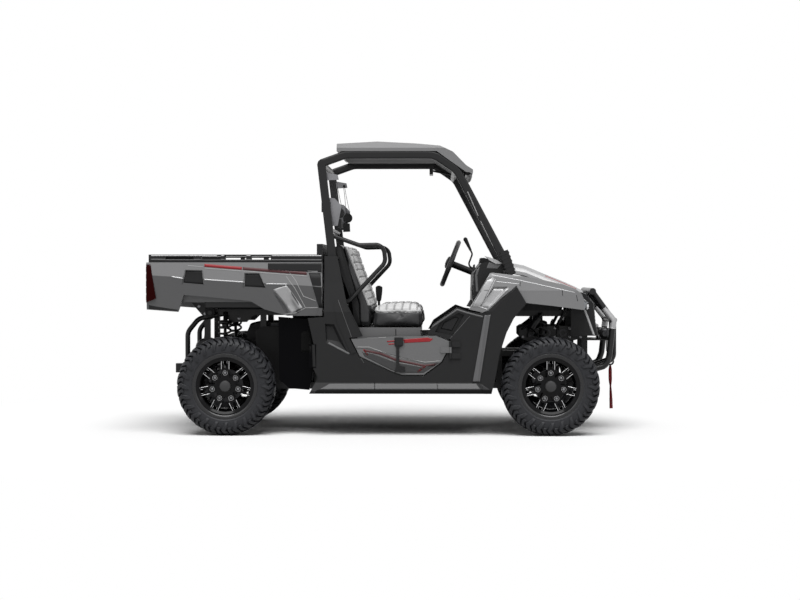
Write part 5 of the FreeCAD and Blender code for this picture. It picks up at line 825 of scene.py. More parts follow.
SEAT_NET, SEAT_SWELL, SEAT_SLACK, SEAT_ROUND, SEAM_SIZE = 0.008, 0.012, 0.010, 0.020, 0.0055
STUFFING_FRAMES = 20
SEAT_SPANS = {"passenger": (-0.628, 0.155), "driver": (0.165, 0.628)}
CUSHION_LOW, PALE_LEVEL, CHANNEL_STEP, CHANNEL_END = 0.7136, 0.816, 0.052, 0.075
PALE_INSET, PIPING_ROOM = -0.030, 0.012
CUSHION_OUTLINE = [(-0.078, 0.722), (0.05, 0.722), (0.20, 0.722), (0.243, 0.728), (0.248, 0.78),
                   (0.246, 0.828), (0.226, 0.852), (0.14, 0.861), (0.0, 0.858), (-0.064, 0.850),
                   (-0.081, 0.835), (-0.082, 0.78)]
BACK_OUTLINE = [(-0.290, 1.243), (-0.277, 1.262), (-0.242, 1.244), (-0.226, 1.196), (-0.206, 1.139),
                (-0.162, 1.026), (-0.112, 0.895), (-0.104, 0.86), (-0.104, 0.79), (-0.108, 0.728),
                (-0.140, 0.724), (-0.166, 0.728), (-0.168, 0.79), (-0.174, 0.865), (-0.204, 0.962),
                (-0.252, 1.12)]
BACK_TOP, BACK_FOOT = np.array((-0.198, 1.1495)), np.array((-0.0967, 0.8895))
BACK_RUN = unit(BACK_FOOT - BACK_TOP)
BACK_FRONT = np.array((-BACK_RUN[1], BACK_RUN[0]))


def cushion_held(p):
    return p[:, 2] < CUSHION_LOW + 0.016


def back_held(p):
    return (p[:, [0, 2]] - BACK_TOP) @ BACK_FRONT < -0.060


def cushion_panel(p, span):
    return 1.0 * (p[:, 2] > PALE_LEVEL)


def back_panel(p, span):
    return 1.0 * (((p[:, [0, 2]] - BACK_TOP) @ BACK_FRONT > PALE_INSET) & (p[:, 2] > 0.86))


def lines_apart(value, step):
    """Distance to the nearest of evenly spaced lines."""
    return np.abs((value / step + 0.5) % 1.0 - 0.5) * step


def cushion_seams(p, span):
    """The piping at the pale panel's edge, and channels across the panel that stop short of its ends."""
    edge = np.abs(p[:, 2] - PALE_LEVEL)
    inside = np.minimum(p[:, 1] - span[0], span[1] - p[:, 1]) - CHANNEL_END
    bent = p[:, 0] + 0.10 * np.clip(-inside, 0, 1)
    channel = np.where(p[:, 2] > PALE_LEVEL + PIPING_ROOM, lines_apart(bent - 0.01, CHANNEL_STEP), 1.0)
    return np.minimum(edge, channel)


def back_seams(p, span):
    """The piping at the pale panel's edge and level channels up the back."""
    flat = p[:, [0, 2]] - BACK_TOP
    edge = np.abs(flat @ BACK_FRONT - PALE_INSET)
    channel = np.where(edge > PIPING_ROOM, lines_apart(flat @ BACK_RUN, CHANNEL_STEP), 1.0)
    return np.minimum(edge, np.where(flat @ BACK_FRONT > PALE_INSET, channel, 1.0))


seats = [cushion("cushion_" + who, CUSHION_OUTLINE, span, cushion_held, cushion_seams, cushion_panel)
         for who, span in SEAT_SPANS.items()]
backs = [cushion("backrest_" + who, BACK_OUTLINE, span, back_held, back_seams, back_panel)
         for who, span in SEAT_SPANS.items()]
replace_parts(seats[0], "seat_cushions")
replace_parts(backs[0], "seat_backs")


# Pull strap. Below: its lean forward at each drop, and its turn about its own line, in degrees, at each drop
STRAP_EXIT, STRAP_LENGTH, STRAP_WIDTH, STRAP_THICK = (1.5507, 0.0, 0.4334), 0.300, 0.025, 0.004
STRAP_LEAN = [(0.0, 0.0), (0.0, 0.05), (0.001, 0.12), (0.004, 0.19), (0.006, 0.25), (0.007, 0.30)]
STRAP_TURN = ([0.0, 0.03, 0.09, 0.14, 0.20, 0.30], [20, 62, 70, 18, 40, 52])


def strap_line():
    """Points on the strap's middle, read from a soft curve through its route."""
    curve = bpy.data.curves.new("strap_route", "CURVE")
    curve.dimensions = "3D"
    curve.resolution_u = 12
    spline = curve.splines.new("NURBS")
    spline.points.add(len(STRAP_LEAN) - 1)
    for point, (lean, drop) in zip(spline.points, STRAP_LEAN):
        point.co = (STRAP_EXIT[0] + lean, STRAP_EXIT[1], STRAP_EXIT[2] - drop, 1)
    spline.order_u = 3
    spline.use_endpoint_u = True
    holder = bpy.data.objects.new("strap_route", curve)
    line = positions(bpy.data.meshes.new_from_object(holder))
    bpy.data.objects.remove(holder)
    return line


def swung(section, turn):
    """A section turned in its own plane, once for each row of turn: (x cos - y sin, x sin + y cos)."""
    return np.stack([section[:, 0] * np.cos(turn) - section[:, 1] * np.sin(turn),
                     section[:, 0] * np.sin(turn) + section[:, 1] * np.cos(turn)], axis=-1)


def pull_strap():
    """A flat webbing strap with rounded edges that turns about its own line as it hangs, folded and stitched
    at its lower end."""
    line = strap_line()
    flat = circle(1.0, 16)
    flat = np.sign(flat) * np.abs(flat) ** 0.4 * (STRAP_THICK / 2, STRAP_WIDTH / 2)
    turn = np.radians(np.interp(STRAP_EXIT[2] - line[:, 2], *STRAP_TURN))[:, None]
    strap = piece("winch_pull_strap", swept(line, swung(flat, turn), (0, 1, 0)), "strap", smooth=60)
    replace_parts(strap, "winch_strap")
    last = turn[-14:]
    fold = swung(flat * (1.7, 1.04), last)
    hem = piece("strap_hem", swept(line[-14:], fold, (0, 1, 0)), "strap", smooth=60)
    across = np.concatenate([-np.sin(last), np.cos(last), 0 * last], axis=1)[1:-1]
    out = np.concatenate([np.cos(last), np.sin(last), 0 * last], axis=1)[1:-1]
    thread = [tube(line[-13:-1] + across * side * STRAP_WIDTH * 0.38 + out * face * STRAP_THICK * 0.95,
                   0.0005, 6) for side in (-1, 1) for face in (-1, 1)]
    stitch = piece("strap_stitching", thread, "pale_mark_and_highlight", smooth=60)


pull_strap()


# Marks and trim on the bed, sides, doors and fenders, at their places in the photograph
OUTSIDE = -0.87
BED_Y, SIDE_Y, ROCKER_Y, DOOR_Y, FENDER_Y, BASE_Y = -0.752, -0.768, -0.793, -0.787, -0.766, -0.62


def marks(name, node, material, depth, lines=(), fields=(), body="chassis", far=None, slot="dark_plastic"):
    """Bands along lines of pixels, and fields between two lines of pixels, pressed onto a panel at this depth
    as one piece on each side. far names the far side's body where it isn't the same one."""
    shapes = [ribbon(seen_line(pixels, depth), width, OUTSIDE) for width, pixels in lines]
    shapes += [patch(seen_line(low, depth), seen_line(high, depth), OUTSIDE) for low, high in fields]
    laid_on(name, shapes, node, material, body, far)


def bed_marks(name, material, lines=(), fields=(), **more):
    marks(name, "bed_side_right", material, BED_Y, lines, fields, "cargo_bed", **more)


def side_marks(name, material, lines=(), fields=(), depth=SIDE_Y, **more):
    marks(name, "side_panel_right", material, depth, lines, fields, **more)


def door_marks(name, material, lines=(), fields=(), **more):
    marks(name, "door_right", material, DOOR_Y, lines, fields, "door_right", "door_left", **more)


def fender_marks(name, material, lines=(), fields=(), **more):
    marks(name, "fender_right", material, FENDER_Y, lines, fields, **more)


bed_marks("bed_top_band", "dark_plastic",
          fields=[([(268, 270.4), (323, 272.2)], [(268, 263.2), (323, 263.2)])])
bed_marks("bed_front_moulding", "dark_plastic",
          fields=[([(318.9, 308), (323.3, 308)], [(308.6, 272.8), (323.3, 273.2)])])
bed_marks("bed_insets", "dark_plastic",
          fields=[([(183.2, 282.6), (203.8, 284.4)], [(185.8, 270.4), (202.8, 271.2)]),
                  ([(244.8, 286.4), (265.2, 287.6)], [(245.4, 273.8), (259.4, 274)])])
bed_marks("bed_inset_rims", "grey_mark", [(0.004, [(202.8, 270.6), (204, 284.8)]),
                                          (0.004, [(245.2, 273.4), (244.5, 286.6)]),
                                          (0.004, [(185.8, 270), (202.8, 270.6)]),
                                          (0.004, [(245.2, 273.4), (259.7, 273.6), (265.6, 287.8)])])
bed_marks("bed_stripe", "red_mark", [(0.020, [(204.5, 265.3), (223, 266.9), (242, 268.4)])])
bed_marks("bed_stripe_dark", "maroon_mark", [(0.020, [(243, 268.5), (275, 271), (307, 273.5)])])
bed_marks("bed_stripe_edge", "pale_mark_and_highlight",
          [(0.004, [(204.5, 268.2), (242, 271), (307.5, 276.2)]), (0.0035, [(188, 265.6), (203, 266.8)])])
# Painted highlights: bright lines along the crease where it catches the light
bed_marks("bed_crease_highlight", "painted_highlight_silver",
          [(0.007, [(171.8, 276.6), (184, 278.6)]), (0.007, [(204.4, 279.5), (245, 282.2)]),
           (0.006, [(266, 283.8), (287.4, 284.2)])])
bed_marks("bed_pinstripes", "pale_mark_and_highlight",
          [(0.0042, [(288, 270.4), (296, 281), (303.4, 296.2), (316, 301)]),
           (0.0042, [(286, 276), (295, 288.4), (305.5, 307.8)]),
           (0.0042, [(280, 315), (295, 313), (305.5, 307.9), (318, 307.6)])])
bed_marks("bed_rear_foot", "black_plastic",
          fields=[([(148.6, 309), (177.4, 311)], [(148.6, 305.2), (177.4, 309.8)])])
# Painted highlight: the lit facet beside the wheel arch
bed_marks("bed_flare_highlight", "pale_silver_and_highlight",
          fields=[([(273.4, 289.5), (290.6, 313.4)], [(287, 285.4), (302.6, 307.6)])])

# Painted reflection along the rocker's upward-leaning face
side_marks("rocker_reflection_band", "rocker_painted_reflection", depth=ROCKER_Y,
           fields=[([(318.4, 389.8), (490, 389.8)], [(329.8, 383.4), (480, 383.4)])])
# Painted shade: a deep black band along the rocker's underside
side_marks("rocker_underside_shade", "deep_black_and_shade", depth=ROCKER_Y,
           fields=[([(314, 393.5), (494, 393.5)], [(317, 390), (491, 390)])])
side_marks("rocker_splits", "deep_black_and_shade", [(0.005, [(374.6, 382.8), (374.6, 393.2)]),
                                           (0.005, [(436.8, 382.8), (438.6, 393.2)])], depth=ROCKER_Y)
side_marks("cowl_strip", "dull_paint", slot="silver_paint",
           fields=[([(484.4, 315.2), (472.8, 381.6)], [(490.4, 314.8), (479.8, 381.6)])])
# Painted highlights: grey lines where the cowl's edge, the scoop's lip and the panel's creases catch the
# light
side_marks("cowl_edge_highlight", "grey_and_highlight",
           [(0.011, [(429.6, 328.4), (457.2, 309.6), (467, 312.8), (483, 317)])])
side_marks("scoop_lip_highlight", "grey_and_highlight", [(0.012, [(328.4, 342.8), (349.4, 354)])])
side_marks("panel_crease_highlights", "grey_and_highlight",
           [(0.003, [(338, 300), (357, 352), (364, 363)]), (0.003, [(448.6, 340.4), (470, 316)])])

door_marks("door_stripe", "red_mark",
           [(0.009, [(387, 341.7), (405, 340.3)]), (0.008, [(388.5, 344.4), (402, 343.4)]),
            (0.010, [(363.4, 349.6), (367.6, 355.4)]), (0.014, [(424.8, 366.4), (417.6, 372.2)])],
           [([(404, 343.2), (429.6, 341.8), (432.6, 339.8)], [(404, 339.4), (427, 337.6), (432.6, 338.8)])])
door_marks("door_lower_band", "maroon_mark",
           [(0.016, [(364, 350.6), (380, 353.6), (397, 360.4), (424, 366), (437, 364.6)])])
door_marks("door_low_field", "low_paint",
           fields=[([(364.4, 356.6), (391.8, 370.4), (401, 373), (423.6, 373), (438.6, 363.4)],
                    [(362, 352), (372, 353), (396, 361.6), (424, 367), (438.6, 363)])])
# Painted highlights: pale lines along the top edge of the dark band and along the door's top edge
door_marks("door_edge_highlights", "pale_mark_and_highlight",
           [(0.0038, [(357.4, 347.2), (369, 347.2), (396, 357), (425, 362.4), (440, 361)]),
            (0.003, [(353.8, 338.6), (386, 337.4)])])

# Painted highlights: lighter fields on the fender's lit bevel and pocket facets, and bright lines along its
# edges
fender_marks("fender_highlight_fields", "pale_silver_and_highlight",
             fields=[([(468.6, 306.9), (480.6, 307)], [(489.6, 274.4), (494.8, 278.6)]),
                     ([(480, 306.2), (489.4, 309.6)], [(493.4, 288.4), (509.6, 288)])])
fender_marks("fender_edge_highlights", "painted_highlight_silver",
             [(0.005, [(489.8, 274.4), (468.6, 306.8)]), (0.0045, [(495.6, 279), (482, 306)]),
              (0.005, [(491, 274.6), (521, 280.6), (575, 292.6)]), (0.006, [(478.6, 306.4), (487.4, 309.4)]),
              (0.004, [(496, 281.6), (519.4, 284)])])
fender_marks("fender_seams", "deep_black_and_shade",
             [(0.0035, [(520.4, 282), (520, 286.2)]), (0.0035, [(562.2, 290.4), (562.5, 295.6)]),
              (0.0035, [(576.4, 295.2), (577.6, 301.2)]), (0.004, [(487.8, 276.4), (470.2, 304.6)])])
# A red line on the sloping side of the hood's raised middle
BULGE_FACE = unit((0.0, -0.482, 0.876))
line_x = np.linspace(*seen_line([(545, 277.4), (576, 286.8)], -0.17)[:, 0], 24)
line_z = np.interp(line_x, (1.0, 1.1, 1.2, 1.3), (1.106, 1.065, 1.025, 0.981)) - 0.011
hood_path = np.stack([line_x, -0.170 + 0 * line_x, line_z], axis=1) + 0.0004 * BULGE_FACE
piece("hood_line", both([swept(hood_path, circle(1.0, 8) * (0.0035, 0.0010), BULGE_FACE)]), "red_mark",
      "hood", 60)
marks("seat_base_split", "seat_base", "deep_black_and_shade", BASE_Y, [(0.005, [(395.8, 328.8), (395.8, 335.4)])])

# Dark trays behind the openings of the cowl sides
KICK_WINDOW = [(0.3278, 0.6882), (0.3623, 0.7507), (0.4873, 0.8152), (0.5239, 0.8015), (0.4485, 0.6647)]


def tray(outline, rim, floor, wall=0.004):
    """An open tray: rings of the outline from the rim in to the floor, and back round the outside."""
    ring = closed_ring(outline)
    middle = ring.mean(0)
    levels = [(1.0, floor + wall), (1.0, rim), (0.985, rim), (0.965, floor), (0.5, floor), (0.0, floor)]
    levels = [(0.0, floor + wall), (0.5, floor + wall)] + levels
    points = np.array([np.insert(middle + (ring - middle) * share, 1, level, axis=1) for share,
                       level in levels])
    return points.reshape(-1, 3), grid_faces(len(levels), len(ring), False, True)


def pressed_panel(outline, level, rise):
    """A low raised panel on a tray's floor."""
    ring = np.array(outline)
    middle = ring.mean(0)
    small = even_line(np.concatenate([middle + (ring - middle) * 0.62,
                                      (middle + (ring - middle) * 0.62)[:1]]), 0.02)[:-1]
    return plate(small, level + 0.002, level - rise, 0.006)


# Painted shade: a deep black field where the liner's recess lies in shade
marks("liner_recess_shade", "rear_liners", "deep_black_and_shade", -0.762,
      fields=[([(300, 353), (311.5, 353)], [(300, 334), (303, 331), (308, 331), (311.5, 334)])],
      slot="black_plastic")
# Painted highlight: a lighter strip on the liner's curved right edge
marks("liner_edge_highlight", "rear_liners", "dark_plastic", -0.762,
      [(0.020, [(311, 318), (313.5, 345), (314.5, 372), (312, 391)])], slot="black_plastic")
sill = bar((-1.20, -0.655, 0.885), (-0.66, -0.655, 0.885), 0.085, 0.05, 0.006)
struts = [bar((x, -0.655, 0.87), (x, 0.655, 0.87), 0.04, 0.05, 0.004, (1, 0, 0))
          for x in (-1.15, -0.93, -0.70)]
piece("bed_sills", both([sill]) + struts, "black_steel", "cargo_bed")
piece("kick_trays", both([tray(KICK_WINDOW, -0.7665, -0.738), pressed_panel(KICK_WINDOW, -0.738, 0.008)]),
      "black_plastic")


# Cab: roof lining, pillars, belts, seat shells, steering wheel and dash
CAGE_Y, PILLAR_FACE_Y = 0.655, -0.668


def lofted(rows):
    """A skin over rows of points, all of one length, each row a closed ring. The ends close in their
    middles."""
    rows = np.asarray(rows, float)
    ends = [np.broadcast_to(rows[k].mean(0), rows[:1].shape) for k in (0, -1)]
    rows = np.concatenate([ends[0], rows, ends[1]])
    return rows.reshape(-1, 3), grid_faces(rows.shape[0], rows.shape[1], False, True)


def sheet_along(line, half, thick, wave):
    """A sheet across the vehicle, from -half to half, whose section is a line of (x, z). wave lowers each
    point by a function of its place across."""
    line = even_line(line, 0.02)
    across = np.linspace(-half, half, 97)
    dip = wave(across)
    lower = np.stack([np.broadcast_to(line[:, :1], (len(line), 97)), np.broadcast_to(across, (len(line), 97)),
                      line[:, 1:] - thick - dip], axis=-1)
    upper = lower[:, ::-1] + (0, 0, thick)
    upper[..., 2] = line[:, 1:] + 0 * across
    return lofted(np.concatenate([lower, upper], axis=1))


ROOF_LINING = [(-0.300, 1.884), (0.330, 1.884), (0.415, 1.828), (0.525, 1.752)]
lining = sheet_along(ROOF_LINING, 0.625, 0.004, lambda y: 0.008 * np.clip(np.sin(y * 38) * 3, 0, 1))
piece("roof_lining", lining, "black_plastic")
LIP_PATH = np.stack([0.566 - 0.02 * np.linspace(-1, 1, 31) ** 4, np.linspace(-0.63, 0.63, 31),
                     np.full(31, 1.738)], axis=1)
piece("roof_front_lip", swept(LIP_PATH, circle(0.017, 16, 0.6), (0, 0, 1)), "black_plastic", smooth=60)

# A painted highlight on the rear edge of the front pillars, ribbed pads inside them and clamped feet
marks("pillar_edge_highlight", "rops_front", "pale_mark_and_highlight", PILLAR_FACE_Y, [(0.005, [(467.6, 191.6), (478.2, 216)]),
                                                                (0.005, [(480.6, 221.2), (497.2, 255.2)])],
      slot="black_steel")
pad_ends = seen_line([(463.6, 193), (474.8, 216.6)], 0.625)
pad_line = np.linspace((pad_ends[0, 0], 0.624, pad_ends[0, 1]), (pad_ends[1, 0], 0.624, pad_ends[1, 1]), 90)
pad_width = 0.021 + 0.0035 * np.sign(np.sin(np.linspace(0, 52 * math.pi, 90)))
pad_ring = np.stack([pad_width[:, None] * circle(1.0, 10)[None, :, 0],
                     0.008 * np.broadcast_to(circle(1.0, 10)[:, 1], (90, 10))], axis=-1)
piece("pillar_pads", both([swept(pad_line, pad_ring, (0, 1, 0))]), "black_plastic", smooth=30)
foot_line = seen_line([(503.4, 251), (511.4, 274)], -CAGE_Y)
foot = [bar((foot_line[0, 0], -CAGE_Y, foot_line[0, 1]), (foot_line[1, 0], -CAGE_Y, foot_line[1, 1]), 0.060,
            0.058, 0.005)]
for share in (0.12, 0.30, 0.48, 0.66, 0.84):
    low = foot_line[0] + (foot_line[1] - foot_line[0]) * (share - 0.04)
    high = foot_line[0] + (foot_line[1] - foot_line[0]) * (share + 0.04)
    foot.append(bar((low[0], -CAGE_Y, low[1]), (high[0], -CAGE_Y, high[1]), 0.067, 0.065, 0.003))
piece("pillar_clamps", both(foot), "black_steel")


def bolt_head(centre, axis, radius=0.008, depth=0.006):
    """A flanged hexagon bolt: a washer and a six-sided head with a shallow crown."""
    flange = [(0, -0.002), (radius * 1.35, -0.002), (radius * 1.35, 0.0008), (radius * 1.15, 0.0016),
              (0, 0.0016)]
    head = [(0, 0.001), (radius, 0.001), (radius, depth - 0.001), (radius * 0.85, depth), (0, depth + 0.0004)]
    return [turned(flange, centre, axis, 16), turned(head, centre, axis, 6)]


# Belts: bracket, reel, guide and the runs between them
def belt_run(points, width=0.046, thick=0.0022):
    """Flat webbing along a line, with its width across the vehicle and rounded edges."""
    ring = circle(1.0, 12)
    ring = np.sign(ring) * np.abs(ring) ** 0.5 * (thick / 2, width / 2)
    return swept(smooth_line(points, 30), ring, (0, 1, 0))


BELT_Y = -0.598
REEL_PROFILE = [(0, -0.026), (0.030, -0.026), (0.034, -0.022), (0.034, -0.012), (0.029, -0.010),
                (0.029, 0.010), (0.034, 0.012), (0.034, 0.022), (0.030, 0.026), (0, 0.026)]
reel_at, guide_at = seen(339.5, 213, BELT_Y), seen(335.5, 177, BELT_Y)
reel = turned(REEL_PROFILE, (reel_at[0], BELT_Y, reel_at[1]), sides=32)
case_low, case_high = seen(338.5, 228, BELT_Y), seen(338, 219, BELT_Y)
case = bar((case_low[0], BELT_Y, case_low[1]), (case_high[0], BELT_Y, case_high[1]), 0.050, 0.050, 0.006)
guide = tube([(guide_at[0], BELT_Y - 0.030, guide_at[1]), (guide_at[0], BELT_Y - 0.028, guide_at[1] - 0.012),
              (guide_at[0], BELT_Y + 0.028, guide_at[1] - 0.012), (guide_at[0], BELT_Y + 0.030, guide_at[1])],
             0.006, 10, (1, 0, 0))
piece("belt_reels", both([reel, case, guide]), "black_plastic")
plate_at = seen_line([(322, 197), (335, 198.5), (342, 206), (338, 226), (331, 226), (329, 208), (322, 206)],
                     BELT_Y)
hanger_at = seen_line([(322, 172), (338, 175), (339, 180), (322, 181)], BELT_Y)
piece("belt_brackets", both([plate(plate_at, BELT_Y - 0.034, BELT_Y - 0.029, 0.001),
                             plate(hanger_at, BELT_Y - 0.036, BELT_Y - 0.031, 0.001)]), "bolt")
rise = [(guide_at[0] - 0.004, BELT_Y, guide_at[1] - 0.012), (guide_at[0] + 0.006, BELT_Y, guide_at[1] - 0.09),
        (reel_at[0] - 0.012, BELT_Y, reel_at[1] + 0.030)]
drop = [(guide_at[0] + 0.004, BELT_Y, guide_at[1] - 0.012), (guide_at[0] + 0.020, BELT_Y, guide_at[1] - 0.10),
        (reel_at[0] + 0.018, BELT_Y, reel_at[1] + 0.026)]
piece("belt_runs", both([belt_run(rise), belt_run(drop)]), "webbing", smooth=60)

# Moulded shells behind the backrests
SHELL = [(-0.352, 1.214), (-0.340, 1.252), (-0.305, 1.266), (-0.288, 1.250), (-0.252, 1.13), (-0.206, 0.962),
         (-0.176, 0.865), (-0.170, 0.728), (-0.206, 0.724), (-0.222, 0.86), (-0.262, 0.97), (-0.322, 1.13)]
shells = [plate(closed_ring(SHELL), low + 0.004, high - 0.004, 0.012) for low, high in SEAT_SPANS.values()]
piece("backrest_shells", shells, "dark_plastic", smooth=35)
belts_low = belt_run([(-0.075, 0.160, 0.722), (-0.070, 0.160, 0.80), (-0.069, 0.160, 0.88)], 0.030, 0.004)
piece("buckle_stalks", belts_low, "black_plastic", smooth=60)
BUCKLE = [(-0.092, 0.968), (-0.086, 0.984), (-0.052, 0.984), (-0.044, 0.968), (-0.050, 0.905),
          (-0.058, 0.880), (-0.080, 0.880), (-0.088, 0.905)]
piece("buckles", [plate(smooth_line(BUCKLE, 40, True), 0.142, 0.172, 0.006)], "black_plastic", smooth=35)
piece("buckle_buttons", [plate(np.array([(-0.080, 0.984), (-0.058, 0.984), (-0.058, 0.989), (-0.080, 0.989)]),
                               0.149, 0.165, 0.001)], "red_lens")

# Steering wheel: padded grip, thicker at the thumbs, with stitching, hub pad and disc
STEER_AT, STEER_AXIS, STEER_R = np.array((0.4377, 0.370, 1.1476)), unit((0.931, 0, -0.365)), 0.160


def wheel_ring(radius, turn):
    """Points round the steering wheel: its middle plus radius times the turned direction."""
    across = np.array((0.0, 1.0, 0.0))
    rise = unit(np.cross(STEER_AXIS, across))
    return STEER_AT + radius * (np.cos(turn)[:, None] * across + np.sin(turn)[:, None] * rise)


turns = np.linspace(0, 2 * math.pi, 144, endpoint=False)
swell = 0.0172 + 0.0016 * np.clip(np.cos(2 * turns) * 4 - 2.6, 0, 1) - 0.0006 * (np.arange(144) % 12 == 0)
piece("steering_grip", tube(wheel_ring(STEER_R, turns), swell, 20, STEER_AXIS, True), "grip",
      "steering_wheel", 60)
seam_turns = np.linspace(0, 2 * math.pi, 720, endpoint=False)
seam = wheel_ring(STEER_R - 0.0166, seam_turns) + 0.0006 * np.sin(seam_turns * 180)[:, None] * STEER_AXIS
piece("grip_stitching", tube(seam, 0.0009, 5, STEER_AXIS, True), "grey_mark", "steering_wheel", 60)
hub = [(0, -0.034), (0.030, -0.033), (0.043, -0.026), (0.047, -0.014), (0.047, 0.004), (0.036, 0.012),
       (0, 0.012)]
piece("steering_hub_pad", turned(hub, STEER_AT, STEER_AXIS, 40), "black_plastic", "steering_wheel", 30)
badge = [(0, -0.036), (0.018, -0.036), (0.020, -0.034), (0.020, -0.030), (0, -0.030)]
piece("steering_hub_disc", turned(badge, STEER_AT, STEER_AXIS, 32), "dull_paint", "steering_wheel", 30)

# Dash: silver side, pale edge and pointed bezel
DASH_Y = -0.628
marks("dash_sides", "dash", "dull_paint", DASH_Y,
      fields=[([(486.5, 268.4), (497.5, 269)], [(488.8, 262.2), (502.5, 264)])], slot="black_plastic")
marks("dash_pale_edge", "dash", "grey_and_highlight", DASH_Y, [(0.016, [(478.6, 266.8), (476.2, 276), (477.2, 292)])],
      slot="black_plastic")
fin = seen_line([(484.6, 256), (491, 257.6), (498.5, 261), (503.5, 264), (496, 264), (489.5, 260.6)], DASH_Y)
piece("dash_bezels", both([plate(fin, DASH_Y - 0.012, DASH_Y + 0.05, 0.003)]), "pale_silver_and_highlight")


# Nose: lamps, grille, guard fittings, winch and the plates of the front frame
LAMP_LEAN = 0.16


def lamp_place(y, z, out=0.0):
    """A place on the near lamp's front face: x falls with the distance from the middle."""
    return np.array((1.3528 + LAMP_LEAN * (y + 0.5) + out, y - LAMP_LEAN * out, z))


def rounded_rod(a, b, radius, sides=14):
    """A round bar from a to b with softly rounded ends."""
    a, b = np.asarray(a, float), np.asarray(b, float)
    reach = np.linalg.norm(b - a)
    t = np.array([0, 0.2, 0.6, 1.0]) * radius / reach
    along = np.concatenate([t, np.linspace(t[-1], 1 - t[-1], 4)[1:-1], 1 - t[::-1]])
    width = radius * np.concatenate([[0.5, 0.75, 0.95, 1.0], [1.0, 1.0], [1.0, 0.95, 0.75, 0.5]])
    up = (0, 0, 1) if abs((b - a)[2]) < 0.9 * reach else (1, 0, 0)
    return tube(a + along[:, None] * (b - a), width, sides, up)


rim = [lamp_place(y, z, 0.002) for y, z in [(-0.440, 0.834), (-0.612, 0.834), (-0.612, 0.868),
                                            (-0.440, 0.873)]]
rim_line = closed_ring(rim, 0.012)
piece("lamp_frames", both([tube(rim_line, 0.0042, 10, (1, 0, 0), True)]), "black_plastic", smooth=60)
LAMP_AXIS = (1.0, -LAMP_LEAN, 0.0)
bowl = [(0, 0.001), (0.010, 0.001), (0.0155, 0.004), (0.0185, 0.0065), (0.020, 0.006), (0.020, -0.004),
        (0, -0.004)]
dome = [(0, 0.0095), (0.005, 0.0088), (0.009, 0.006), (0.0105, 0.001), (0, 0.001)]
lamp_spots = [lamp_place(y, 0.852, 0.001) for y in (-0.478, -0.528, -0.578)]
piece("lamp_bowls", both([turned(bowl, p, LAMP_AXIS, 36) for p in lamp_spots]), "reflector", smooth=30)
piece("lamp_domes", both([turned(dome, p, LAMP_AXIS, 28) for p in lamp_spots]), "led", smooth=60)
brow = np.array([lamp_place(y, 0.8775 - 0.02 * abs(y + 0.44), 0.0) for y in np.linspace(-0.442, -0.606, 18)])
brow_ring = circle(1.0, 12) * (0.0045, 0.0032)
piece("lamp_brows", both([swept(brow, brow_ring, (1, 0, 0))]), "led", smooth=60)
marks("lamp_side_lines", "headlights", "pale_mark_and_highlight", -0.62,
      [(0.006, [(577.5, 293), (588, 301.5)]), (0.005, [(581, 291.8), (590.4, 299.8)])], slot="clear_lens")
marks("fascia_strips", "fascia", "pale_silver_and_highlight", -0.432, [(0.016, [(583.5, 306.4), (594.9, 338.2)])],
      slot="silver_paint")

# Grille behind the opening of the nose: slats that bow forward, and thin uprights
slat_y = np.linspace(-0.305, 0.305, 41)
slats = []
for z in np.linspace(0.742, 0.868, 8):
    slat_line = np.stack([1.398 + 0.012 * (1 - (slat_y / 0.305) ** 2), slat_y, z + 0 * slat_y], axis=1)
    slats.append(swept(slat_line, circle(1.0, 10) * (0.010, 0.0028), (0, 0, 1)))
for y in np.linspace(-0.28, 0.28, 15):
    slats.append(tube([(1.394, y, 0.730), (1.396, y, 0.77), (1.396, y, 0.84), (1.394, y, 0.880)], 0.0026, 8,
                      (1, 0, 0)))
piece("grille", slats, "black_plastic", smooth=60)
chin = np.stack([1.4535 - 0.03 * np.abs(np.linspace(-1, 1, 33)) ** 3, np.linspace(-0.33, 0.33, 33),
                 0.715 + 0 * slat_y[:33]], axis=1)
piece("grille_chin", swept(chin, circle(1.0, 12) * (0.007, 0.011), (0, 0, 1)), "pale_silver_and_highlight", smooth=60)

# Guard: painted highlights on its bends, pale tubes laid round them
bend_highlight = smooth_line([(1.478, -0.330, 0.838), (1.508, -0.330, 0.800), (1.5405, -0.330, 0.757),
                      (1.5405, -0.330, 0.722), (1.5375, -0.330, 0.700)], 30)
piece("guard_bend_highlights", both([tube(bend_highlight, 0.0225 + 0.0014 * (np.arange(30) % 29 == 0), 20, (0, 1, 0))]),
      "pale_silver_and_highlight", smooth=50)

# Winch: rope on the drum, end caps, bolts and roller guide
WINCH_X, WINCH_Z, DRUM_R, ROPE_R = 1.498, 0.6608, 0.032, 0.0032
turn = np.linspace(0, 2 * math.pi * 13, 13 * 20)
wound = np.stack([WINCH_X + (DRUM_R + ROPE_R * 0.8) * np.cos(turn), -0.084 + 0.168 * turn / turn[-1],
                  WINCH_Z + (DRUM_R + ROPE_R * 0.8) * np.sin(turn)], axis=1)
piece("winch_rope", tube(wound, ROPE_R, 7, (0, 1, 0)), "grey_and_highlight", smooth=60)
cap = [(0, 0.062), (0.018, 0.062), (0.021, 0.058), (0.0235, 0.050), (0.030, 0.048), (0.0335, 0.043),
       (0.0335, -0.002), (0, -0.002)]
grooved = [(r + (0.0012 if 0 < i < 7 and i % 2 else 0), h) for i, (r, h) in enumerate(cap)]
piece("winch_caps", [turned(grooved, (WINCH_X, -0.150, WINCH_Z), (0, -1, 0), 40),
                     turned(grooved, (WINCH_X, 0.150, WINCH_Z), (0, 1, 0), 40)], "cast_metal", smooth=30)
case_bolts = [bolt_head((WINCH_X + dx, -0.1502, WINCH_Z + dz), (0, -1, 0), 0.004, 0.004)
              for dx in (-0.0295, 0.0295) for dz in (-0.0295, 0.0295)]
piece("winch_bolts", both(sum(case_bolts, [])), "bolt")
